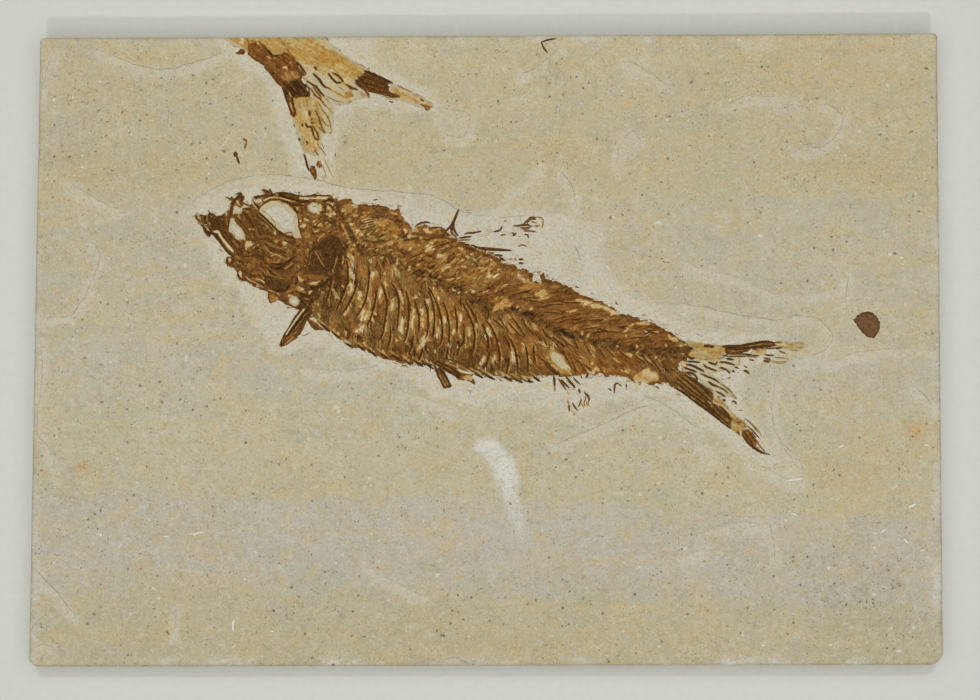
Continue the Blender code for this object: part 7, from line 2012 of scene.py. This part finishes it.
pectoral = {
    "cell": 0.1,
    "grain": 52,
    "edges": [
        [
            (-29.0, 7.4), (-30.4, 7.3), (-31.1, 6.7), (-31.9, 5.6), (-32.7, 4.2), (-33.5, 3.0),
            (-34.0, 2.0), (-34.5, 0.8), (-34.2, 0.5), (-33.0, 0.9), (-31.8, 1.8), (-30.9, 2.7),
            (-30.3, 3.8), (-29.9, 4.9), (-28.9, 6),
        ],
        [
            (-29.9, 5.1), (-29.3, 5.6), (-28.7, 5.8), (-28.0, 4.9), (-27.0, 4.0), (-26.6, 3.5),
            (-27.6, 3.3), (-28.6, 3.3), (-29.3, 4.0),
        ],
    ],
    "patches": [
        (
            [
                (-29.8, 5.0), (-29.2, 4.9), (-28.4, 4.3), (-27.5, 3.7), (-27.7, 3.3), (-28.6, 3.4),
                (-29.3, 4.1),
            ],
            0.66, 0.7,
        ),
        ([(-34.4, 0.8), (-33.6, 2.2), (-32.4, 2.6), (-31.6, 1.9), (-33.0, 0.9)], 0.52, 0.5),
    ],
    "rays": [  # points, width, stain
        (
            [
                (-30.2, 7.1), (-30.9, 6.8), (-31.6, 5.8), (-32.4, 4.4), (-33.2, 3.2), (-33.8, 2.1),
                (-34.3, 0.9),
            ],
            0.3, 0.88,
        ),
        ([(-29.4, 7.0), (-30.2, 6.2), (-31, 5.2), (-32, 4.0), (-32.7, 3.0), (-33.3, 2.2)], 0.46, 0.98),
        ([(-29.3, 6.4), (-30.1, 5.4), (-31.0, 4.3), (-32.2, 2.8)], 0.26, 0.86),
        ([(-29.6, 5.6), (-30.4, 4.4), (-30.9, 3.4), (-31.7, 2.2)], 0.26, 0.8),
        ([(-29.3, 6.0), (-30.2, 4.9), (-31.2, 3.4), (-32.0, 2.4)], 0.2, 0.84),
        ([(-32.4, 2.4), (-33.2, 1.5), (-34.0, 0.9)], 0.24, 0.8),
        ([(-33.2, 2.3), (-33.6, 1.6), (-34.2, 0.8)], 0.24, 0.84),
        ([(-31.2, 2.2), (-32.2, 1.6), (-33.2, 1.0)], 0.2, 0.74),
        ([(-34.35, 0.8), (-34.1, 0.75)], 0.4, 0.95),
        ([(-29.4, 4.6), (-28.6, 3.9), (-27.7, 3.5)], 0.26, 0.84),
        ([(-29.0, 4.0), (-28.2, 3.4), (-27.8, 3.4)], 0.2, 0.74),
        ([(-28.4, 5.3), (-27.6, 4.3), (-26.8, 3.9), (-26.0, 3.2)], 0.3, 0.9),
        ([(-29.4, 3.1), (-29.7, 2.7), (-30.3, 2.4), (-30.7, 2.5)], 0.22, 0.6),
        ([(-29.3, 2.0), (-28.8, 2.0)], 0.26, 0.74), ([(-29.6, 1.6), (-29.55, 1.3)], 0.28, 0.7),
        ([(-32.2, 6.1), (-32.1, 5.9)], 0.34, 0.6), ([(-34.1, 2.8), (-33.9, 2.5)], 0.34, 0.4),
    ],
    "slits": [  # points, width, stain
        ([(-30.3, 6.8), (-31.2, 5.7), (-32.0, 4.5), (-32.9, 3.3), (-33.3, 2.5)], 0.3, 0.08),
        ([(-30.6, 4.9), (-31.4, 3.9), (-31.9, 3.3)], 0.12, 0.34), ([(-31.2, 3.5), (-31.8, 2.7)], 0.14, 0.2),
        ([(-32.4, 2.0), (-33.2, 1.3)], 0.14, 0.3), ([(-33.8, 2.0), (-34.0, 1.3)], 0.14, 0.4),
        ([(-29.3, 5.2), (-28.8, 5.2), (-28.2, 4.6)], 0.5, 0.07),
        ([(-28.4, 4.8), (-27.5, 4.0), (-26.8, 3.6)], 0.26, 0.12), ([(-29.9, 6.2), (-30.6, 5.4)], 0.1, 0.5),
        ([(-30.1, 4.8), (-30.7, 3.7)], 0.1, 0.5),
    ],
}
pelvic = {
    "cell": 0.1,
    "grain": -58,
    "edges": [
        [
            (-8.6, -3.4), (-8.3, -2.7), (-7.4, -2.9), (-6.9, -3.7), (-6.3, -4.9), (-5.7, -6.0),
            (-5.9, -6.4), (-6.5, -6.3), (-7.1, -6.4), (-7.5, -5.6), (-8.0, -4.6),
        ],
        [
            (-9.8, -1.7), (-8.6, -1.5), (-6.4, -2.2), (-5.0, -2.9), (-4.6, -3.0), (-3.2, -3.4),
            (-1.8, -3.7), (-1.6, -4.0), (-2.4, -4.2), (-2.2, -4.7), (-1.7, -5.4), (-1.9, -5.8),
            (-2.8, -5.3), (-3.5, -5.1), (-4.4, -5.0), (-5.6, -4.2), (-6.6, -3.6), (-7.6, -3.1),
            (-9.2, -2.6),
        ],
    ],
    "patches": [
        (
            [
                (-4.9, -3.1), (-4, -3.4), (-3.2, -3.5), (-1.8, -3.8), (-2.4, -4.1), (-3.4, -4.0),
                (-4.4, -3.7),
            ],
            0.08, 0.5,
        ),
        ([(-4.3, -4.2), (-3.7, -4.2), (-3.7, -4.9), (-4.3, -4.9)], 0.6, 0.9),
        ([(-3.8, -4.6), (-3.4, -4.2), (-2.8, -4.1), (-2.3, -4.6), (-2.4, -5.1), (-3.4, -5.1)], 0.22, 0.9),
    ],
    "rays": [  # points, width, stain
        ([(-8.2, -3.3), (-8.0, -4.2), (-7.5, -5.2), (-6.9, -6.2)], 0.28, 0.86),
        ([(-7.6, -3.9), (-7.0, -5.0), (-6.5, -6.0)], 0.24, 0.86),
        ([(-7.7, -3.1), (-7.0, -4.0), (-6.5, -4.9), (-6.0, -5.9)], 0.34, 0.95),
        ([(-7.1, -6.2), (-6.8, -6.3)], 0.3, 0.84), ([(-6.3, -6.1), (-5.8, -6.2)], 0.34, 0.94),
        ([(-9.9, -2.1), (-8.9, -2.5), (-8.2, -3.1)], 0.3, 0.93),
        ([(-9.6, -1.9), (-8, -2.5), (-6.8, -3.1), (-5.6, -3.9), (-4.3, -4.7)], 0.4, 0.94),
        ([(-8.4, -1.8), (-6.9, -2.5), (-5.9, -3.0), (-5.0, -3.6), (-4.1, -4.2)], 0.44, 0.96),
        ([(-8.6, -1.1), (-6, -1.6), (-3.4, -2.4), (-0.6, -3.6)], 0.5, 0.8),
        ([(-5.4, -5.6), (-5.1, -5.6)], 0.34, 0.84), ([(-5.1, -6.3), (-4.9, -6.3)], 0.36, 0.76),
        ([(-2.7, -5.2), (-2.1, -5.6), (-1.8, -5.6)], 0.28, 0.7), ([(-1.6, -5.8), (-1.2, -6.0)], 0.2, 0.4),
        ([(-1.3, -6.1), (-0.7, -6.3)], 0.2, 0.34), ([(-3.4, -6.5), (-2.5, -6.9), (-2.2, -6.6)], 0.16, 0.6),
        ([(-2.7, -6.8), (-2.4, -7.5)], 0.24, 0.72),
        ([(-9.2, -2.7), (-9.3, -3.2), (-9.2, -3.7)], 0.26, 0.62),
        ([(-15.6, -2.1), (-14.6, -2.4)], 0.24, 0.5), ([(-14, -2.5), (-12.8, -2.9)], 0.26, 0.45),
        ([(-1.9, -4.0), (-1.4, -4.2)], 0.3, 0.86), ([(0.0, -3.9), (0.4, -4.4)], 0.34, 0.86),
    ],
    "slits": [  # points, width, stain
        ([(-8.7, -2.0), (-7.4, -2.5), (-6.2, -3.1), (-5.4, -3.5)], 0.16, 0.5),
        ([(-6.3, -2.6), (-5.6, -2.8), (-4.9, -3.1)], 0.16, 0.3),
        ([(-8.4, -1.5), (-7.8, -1.9), (-7.5, -2.1)], 0.2, 0.07), ([(-9.8, -1.7), (-9.1, -1.5)], 0.3, 0.12),
        ([(-7.8, -4.0), (-7.2, -5.1), (-6.7, -6.0)], 0.14, 0.2),
        ([(-7.3, -4.0), (-6.7, -5.1), (-6.3, -5.8)], 0.12, 0.4),
    ],
}
dorsalRays = [
    (
        [
            (-4.55, 23.5), (-4.9, 22.6), (-5.3, 21.6), (-5.7, 20.8), (-5.75, 20.2), (-5.7, 19.5),
            (-5.3, 19.1), (-4.8, 18.8),
        ],
        0.34, 0.92,
    ),
    ([(-5.3, 21.3), (-5.4, 20.4), (-5.1, 19.6), (-4.6, 19.0)], 0.3, 0.9),
    ([(-5.7, 21), (-6.1, 20.4), (-6.6, 19.9), (-6.9, 19.6), (-6.8, 19)], 0.28, 0.88),
    ([(-9, 20.3), (-7.7, 20.4), (-6.7, 20)], 0.22, 0.72),
    ([(-8.2, 19.6), (-7.4, 19.9), (-6.4, 19.4)], 0.24, 0.74),
    ([(-3.7, 19.3), (-3, 19.5), (-2.3, 19.5), (-0.7, 19.8)], 0.26, 0.88),
    ([(-4.6, 18.6), (-3.5, 18.8), (-2.4, 18.9)], 0.26, 0.9), ([(-4.5, 18.3), (-2.5, 18.4)], 0.22, 0.6),
    ([(1.2, 19.7), (2.2, 19.9), (2.5, 20.2), (2.7, 20.7)], 0.26, 0.9),
    ([(3.0, 21.5), (3.4, 21.5)], 0.5, 0.8), ([(2.3, 19.1), (3.3, 19.25)], 0.22, 0.76),
    (
        [(-2.6, 17.2), (-2.3, 17.5), (-1.8, 17.2), (-1.1, 17), (0, 16.85), (2, 16.7), (4.3, 16.6)], 0.36,
        0.94,
    ),
    ([(-0.8, 17.15), (1.2, 16.95), (3.6, 16.75)], 0.16, 0.7),
    ([(5.3, 17.2), (5.9, 17.5), (6.5, 17.4), (6.9, 17.2)], 0.18, 0.72),
    ([(7.1, 17.2), (7.6, 17.0)], 0.14, 0.4), ([(0.2, 16.1), (1.4, 16.2)], 0.24, 0.86),
    ([(1.3, 15.85), (2.9, 15.7)], 0.28, 0.88), ([(2.2, 15.5), (3.2, 14.85)], 0.3, 0.88),
    ([(4.4, 20.7), (5.3, 20.7), (6.2, 20.9), (7.1, 21)], 0.24, 0.86),
    ([(6.2, 20.9), (6.9, 21.6), (7.4, 22.1), (8.4, 22.1)], 0.22, 0.84),
    ([(8.3, 22.15), (9.1, 22.1), (9.5, 21.7), (9.5, 21), (9.3, 20.3)], 0.18, 0.5),
    ([(6.9, 21.1), (7.2, 21.7), (7.7, 22)], 0.2, 0.86),
    ([(5.6, 20.4), (6.5, 20.3), (7.5, 20.45)], 0.24, 0.84), ([(7.9, 20.65), (9, 20.7)], 0.18, 0.78),
    ([(7.5, 21.3), (8.3, 21.3)], 0.16, 0.8), ([(6.3, 19.8), (7.3, 19.85), (8.4, 19.65)], 0.2, 0.8),
    ([(4.4, 19), (5.1, 19.5)], 0.28, 0.84), ([(4.2, 19.6), (4.8, 19.3)], 0.26, 0.84),
    ([(6.3, 19.2), (6.9, 19.2), (7.1, 18.6)], 0.22, 0.84), ([(5.5, 18.9), (5.8, 18.9)], 0.26, 0.84),
    ([(4.1, 18.5), (4.3, 18.5)], 0.2, 0.8), ([(5.4, 15.1), (6.3, 15.1)], 0.3, 0.86),
    ([(5.4, 14.5), (6.3, 14.4)], 0.3, 0.84), ([(4.6, 15.3), (5.2, 14.9)], 0.2, 0.6),
    ([(5.0, 15.9), (5.4, 15.7)], 0.16, 0.5), ([(0, 19.9), (1.2, 19.8)], 0.4, 0.18),
    ([(-1.4, 19.0), (0.6, 19.3)], 0.3, 0.14), ([(-11.3, 22.2), (-10.8, 22.4)], 0.5, 0.2),
    ([(0.4, 20.4), (0.9, 20.7)], 0.3, 0.16), ([(6.4, 21.2), (7.6, 21.9), (8.4, 21.8)], 0.34, 0.8),
    ([(5.8, 20.7), (7.0, 20.8), (7.8, 20.6)], 0.26, 0.84), ([(6.0, 20.0), (7.2, 20.2)], 0.2, 0.6),
    ([(7.6, 21.5), (8.6, 21.0)], 0.14, 0.5),
    ([(-11.8, 20.6), (-11, 21.1), (-9.8, 21.3), (-9.2, 21.1)], 0.26, 0.86),
    ([(-11.4, 20.4), (-10.6, 20.6)], 0.3, 0.76), ([(-10.6, 19.9), (-9.6, 20.0)], 0.24, 0.66),
    ([(8.4, 13.0), (9.0, 13.0)], 0.2, 0.4),
]
analRays = [
    ([(11.3, -4.2), (11.4, -5.4), (11.45, -6.2)], 0.3, 0.9), ([(11.45, -6.0), (11.5, -6.9)], 0.24, 0.45),
    ([(12.1, -4.7), (12.7, -5.7), (13.4, -6.7)], 0.26, 0.8),
    ([(12.5, -4.5), (13.3, -5.3), (13.9, -6.0)], 0.3, 0.06),
    ([(12.5, -4.9), (13.2, -5.7), (13.9, -6.3)], 0.24, 0.94), ([(13.7, -6.4), (14.0, -6.2)], 0.3, 0.9),
    ([(13.2, -4.2), (13.9, -5.2), (14.9, -6.3)], 0.32, 0.94), ([(13.1, -4.1), (13.8, -4.8)], 0.2, 0.12),
    ([(14.2, -4.7), (14.8, -5.4), (15.2, -5.9)], 0.28, 0.06),
    ([(14.5, -4.5), (15.2, -5.3), (15.8, -5.8)], 0.2, 0.88), ([(15.0, -4.3), (15.4, -4.5)], 0.26, 0.06),
    ([(15.8, -4.2), (16.0, -4.8)], 0.18, 0.94), ([(16.3, -4.3), (16.2, -4.8)], 0.22, 0.04),
    ([(17, -3.8), (16.9, -4.3), (16.6, -4.7)], 0.26, 0.88),
    ([(12.0, -4.4), (13.4, -4.2), (14.8, -4.2)], 0.3, 0.8), ([(14.2, -6.5), (15.0, -6.4)], 0.34, 0.22),
    ([(15.4, -6.4), (15.6, -6.9), (15.7, -7.3)], 0.3, 0.8),
    ([(16.4, -6.9), (16.6, -7.3), (17.1, -7.8), (17.2, -8.6)], 0.3, 0.76),
    ([(16.5, -7.6), (16.6, -8.2), (16.3, -8.9), (16.6, -9.4)], 0.16, 0.66),
    ([(17.1, -8.4), (17.0, -9.0), (17.3, -9.5)], 0.16, 0.4),
    ([(15.9, -8.1), (15.7, -8.8), (15.4, -9.5)], 0.22, 0.7), ([(15.9, -8.8), (16.3, -9.7)], 0.14, 0.4),
    ([(16.7, -8.5), (16.9, -9.4)], 0.14, 0.46), ([(13.6, -8.3), (13.8, -9.2)], 0.22, 0.4),
    ([(13.8, -9.0), (13.9, -10.3)], 0.26, 0.7), ([(14.4, -8.7), (14.8, -9.5), (15.3, -10.1)], 0.24, 0.8),
    ([(13.9, -10.0), (14.3, -10.2)], 0.2, 0.4), ([(14.7, -10.4), (14.7, -11)], 0.26, 0.34),
    ([(13.5, -6.9), (13.8, -7.6)], 0.14, 0.3), ([(16.2, -8.5), (16.2, -9.2)], 0.2, 0.04),
    ([(20.4, -6.4), (21.0, -6.8)], 0.26, 0.72),
    ([(21.4, -7.1), (21.4, -6.3), (21.5, -5.8), (21.8, -5.5), (22.2, -5.7)], 0.26, 0.86),
    ([(22.1, -5.6), (22.6, -6.1)], 0.24, 0.7), ([(21.3, -7.1), (21.5, -7.1)], 0.4, 0.9),
    ([(23.4, -5.6), (23.4, -6.3)], 0.26, 0.76), ([(23.3, -6.5), (23.5, -6.5)], 0.44, 0.92),
    ([(23.1, -7.2), (23.2, -7.7)], 0.14, 0.24),
]


def paintFin(fin, seed):
    sheet = newSheet(fin["edges"], fin["cell"])
    x, y = sheet["x"], sheet["y"]
    sheet["stain"][:], sheet["rust"][:] = 0.72, 0.1
    for loop, stain, rust in fin["patches"]:
        paintArea(sheet, loop, 0.95, 0.1, 0.12, stain=stain, rust=rust)
    sheet["stain"] += 0.08 * streaks(x, y, fin["grain"], 2.2, 0.2, seed)
    for points, width, stain in fin["rays"]:
        paintLine(sheet, points, width, 0.85, 0.07, stain=stain, rust=0.2, lift=0.02)
    for points, width, stain in fin["slits"]:
        paintLine(sheet, points, width, 0.95, 0.06, stain=stain, rust=0.3, lift=-0.03)
    sheet["inside"] += 0.08 * noiseAt(x, y, 0.5, seed + 1) + 0.05 * noiseAt(x, y, 0.25, seed + 2)
    return sheet


pectoralSheet, pelvicSheet = paintFin(pectoral, 501), paintFin(pelvic, 511)
pectoralFilm = settle(makeFilm("pectoral_fin_film", pectoralSheet, fossilBone), "dark_bone", "pectoral_fin")
pelvicFilm = settle(makeFilm("pelvic_fin_film", pelvicSheet, fossilBone), "bone", "pelvic_fin")
pairedRays = [(lay(pectoralSheet, points, 0.03, 0.05), width * 0.7, stain, 0.2)
              for points, width, stain in pectoral["rays"]]
for points, width, stain in pelvic["rays"]:  # those that start on the belly lie on the trunk
    under = trunkSheet if points[0][1] > -2.8 else pelvicSheet
    pairedRays.append((lay(under, points, 0.03, 0.04), width * 0.75, stain, 0.25))
pairedFinRays = settle(growStrands("paired_fin_rays", pairedRays, fossilStrand), "dark_bone")
dorsalGuides = [(lay(None, points, -0.04), width * 1.35, stain - 0.06, 0.45)
                for points, width, stain in dorsalRays]
dorsalFin = settle(growStrands("dorsal_fin_rays", dorsalGuides, fossilStrand), "dark_bone",
                   "dorsal_spine", "dorsal_fin_rear", *[f"dorsal_ray_{k}" for k in (1, 2, 3, 4)])
analGuides = [(lay(None, points, -0.04), width * 1.35, stain - 0.04, 0.5)
              for points, width, stain in analRays]
analFin = settle(growStrands("anal_fin_rays", analGuides, fossilStrand), "dark_bone",
                 "anal_fin", "anal_spine", *[f"anal_ray_{k}" for k in (1, 2, 3)])

# fine ledges and flecks on the slab, the scale and the loose scraps

# from powdery cream to grey brown, all dull; the darker tones colour the ledge lines as painted shade
laminaStops = [(0.0, "#dddace"), (0.25, "#cdc8b4"), (0.5, "#a39a7b"), (0.75, "#7d7452"), (1.0, "#4f472c")]
laminaEdge = boneMaterial("split edge of a limestone lamina", laminaStops, 0.92, 0.5, 0.12)
flecks = [  # loose calcite and shell: the ends of each in grid steps
    ((98, 534), (103, 535)), ((118, 547), (122, 544)), ((147, 519), (150, 522)), ((149, 528), (152, 527)),
    ((164, 536), (170, 537)), ((190, 534), (204, 533)), ((152, 588), (155, 590)), ((158, 600), (160, 597)),
    ((233, 620), (233, 632)), ((219, 631), (222, 630)), ((270, 631), (274, 632)), ((838, 447), (844, 445)),
    ((924, 445), (929, 446)), ((791, 513), (799, 516)), ((908, 507), (916, 504)), ((904, 539), (908, 544)),
    ((920, 551), (925, 551)), ((761, 645), (766, 645)), ((828, 646), (833, 645)), ((897, 651), (902, 651)),
    ((880, 533), (887, 529)), ((872, 546), (876, 549)), ((788, 628), (790, 630)), ((814, 628), (816, 630)),
    ((786, 481), (803, 479)),
]
specks = [  # dark flecks: places in grid steps
    (149, 499), (168, 504), (212, 506), (102, 585), (211, 571), (163, 613), (835, 474), (867, 534),
    (748, 607), (726, 516), (682, 549), (704, 561), (730, 582), (634, 251), (662, 259), (664, 262),
    (607, 356), (662, 373), (107, 122), (136, 93), (115, 81), (108, 83), (75, 88), (79, 90), (161, 79),
    (226, 97), (237, 97), (99, 111), (105, 170), (113, 171), (177, 170), (134, 106), (129, 133), (95, 145),
    (101, 138), (105, 136), (794, 422), (797, 425), (690, 145), (700, 157), (735, 111), (785, 108),
    (836, 108),
]


def stoneStrand(points, width, stain):
    return (lay(None, points, 0.0), width, stain, 0.4)


rng = np.random.default_rng(601)
# each ledge is a thin strand painted darker than the stone: painted shadow along the small step
stoneLines = [stoneStrand(fromGrid(*points), 0.13, rng.uniform(0.36, 0.52)) for points in ledges]
for points in ledges:  # a pale line beside each, a painted highlight on the ledge's lit lip
    beside = [(x + 0.12, y + 0.16) for x, y in fromGrid(*points)]
    stoneLines.append(stoneStrand(beside, 0.12, 0.3))
stoneLines += [stoneStrand(fromGrid(*ends), rng.uniform(0.3, 0.5), 0.0) for ends in flecks]
for x, y in specks:
    ends = fromGrid((x - 1.2, y), (x + 1.2, y + rng.uniform(-1.4, 1.4)))
    stoneLines.append(stoneStrand(ends, rng.uniform(0.34, 0.5), 0.95))
ledgeSizes = {"Flatness": 0.2, "Wander": 0.7, "WanderSize": 1.6}
laminaEdges = settle(growStrands("lamina_edges", stoneLines, laminaEdge, ledgeSizes), "limestone")

# loose scraps of bone: points, width, stain, rust
scrapLines = [
    ([(-41.7, 33.1), (-41.8, 32.7), (-41.5, 32.1)], 0.75, 0.8, 0.8),
    ([(-41.5, 32.3), (-41.4, 31.8), (-41.1, 31.0)], 0.45, 0.8, 0.8),
    ([(-40.6, 35.2), (-40.1, 35.0), (-39.8, 34.6)], 0.4, 0.5, 1.0),
    ([(-39.9, 34.6), (-40.1, 34.1), (-40.2, 33.5)], 0.4, 0.5, 1.0),
]
splinterLines = [
    ([(11.7, 51.9), (10.4, 51.7), (9.2, 51.3)], 0.3, 0.86, 0.2),
    ([(9.2, 51.4), (9.6, 50.4), (10.3, 49.5)], 0.3, 0.86, 0.2),
]
scrapGuides = [(lay(None, points, -0.06), *rest) for points, *rest in scrapLines]
scraps = settle(growStrands("loose_scraps", scrapGuides, fossilStrand), "dark_bone",
                "bone_fleck_1", "bone_fleck_2", "bone_fleck_3")
splinterGuides = [(lay(None, points, -0.06), *rest) for points, *rest in splinterLines]
splinter = settle(growStrands("bone_splinter_strokes", splinterGuides, fossilStrand), "dark_bone",
                  "bone_splinter")

# the brown scale at the right: a disc drawn out to a point, a little domed, with faint rings
scaleStops = [
    (0.0, "#b19a78"), (0.3, "#916e48"), (0.5, "#7f5a3a"), (0.64, "#6f4e30"), (0.8, "#5b3f27"),
    (1.0, "#392617"),
]
wornScale = boneMaterial("worn brown fish scale", scaleStops, 0.6, 0.5, 0.1)
scaleDisc = {
    "centre": (63.8, 4.1),
    "cell": 0.1,
    "radius": 2.3,
    "dome": 0.18,
    "edge": [
        (60.9, 5.15), (61.7, 5.7), (62.6, 6.2), (63.7, 6.4), (64.5, 6.2), (65.2, 5.5), (65.65, 4.7),
        (65.65, 3.75), (65.3, 2.8), (64.8, 1.95), (64.2, 1.85), (63.4, 2.2), (62.6, 3.05), (61.9, 3.9),
        (61.3, 4.55),
    ],
}
discSheet = newSheet([scaleDisc["edge"]], scaleDisc["cell"])
discX, discY = discSheet["x"], discSheet["y"]
ringDistance = np.hypot(discX - scaleDisc["centre"][0], discY - scaleDisc["centre"][1])
discSheet["stain"][:], discSheet["rust"][:] = 0.6, 0.3
discSheet["stain"] += 0.05 * np.sin(ringDistance * 7) + 0.06 * layeredNoise(discX, discY, 0.7, 611)
dome = np.clip(1 - (ringDistance / scaleDisc["radius"]) ** 2, 0, 1)
discSheet["lift"] += scaleDisc["dome"] * dome + 0.015 * np.sin(ringDistance * 11)
discSheet["stain"] += 0.14 * smooth(0.5, 0.1, discSheet["inside"])
crush(discSheet, np.ones(ringDistance.shape), 20, 0.5, 0.35, 612, 0.04, dark=0.02, edge=0.03)
discSheet["inside"] += 0.08 * noiseAt(discX, discY, 0.4, 613)
fishScale = settle(makeFilm("fish_scale_disc", discSheet, wornScale), "scale", "fish_scale")
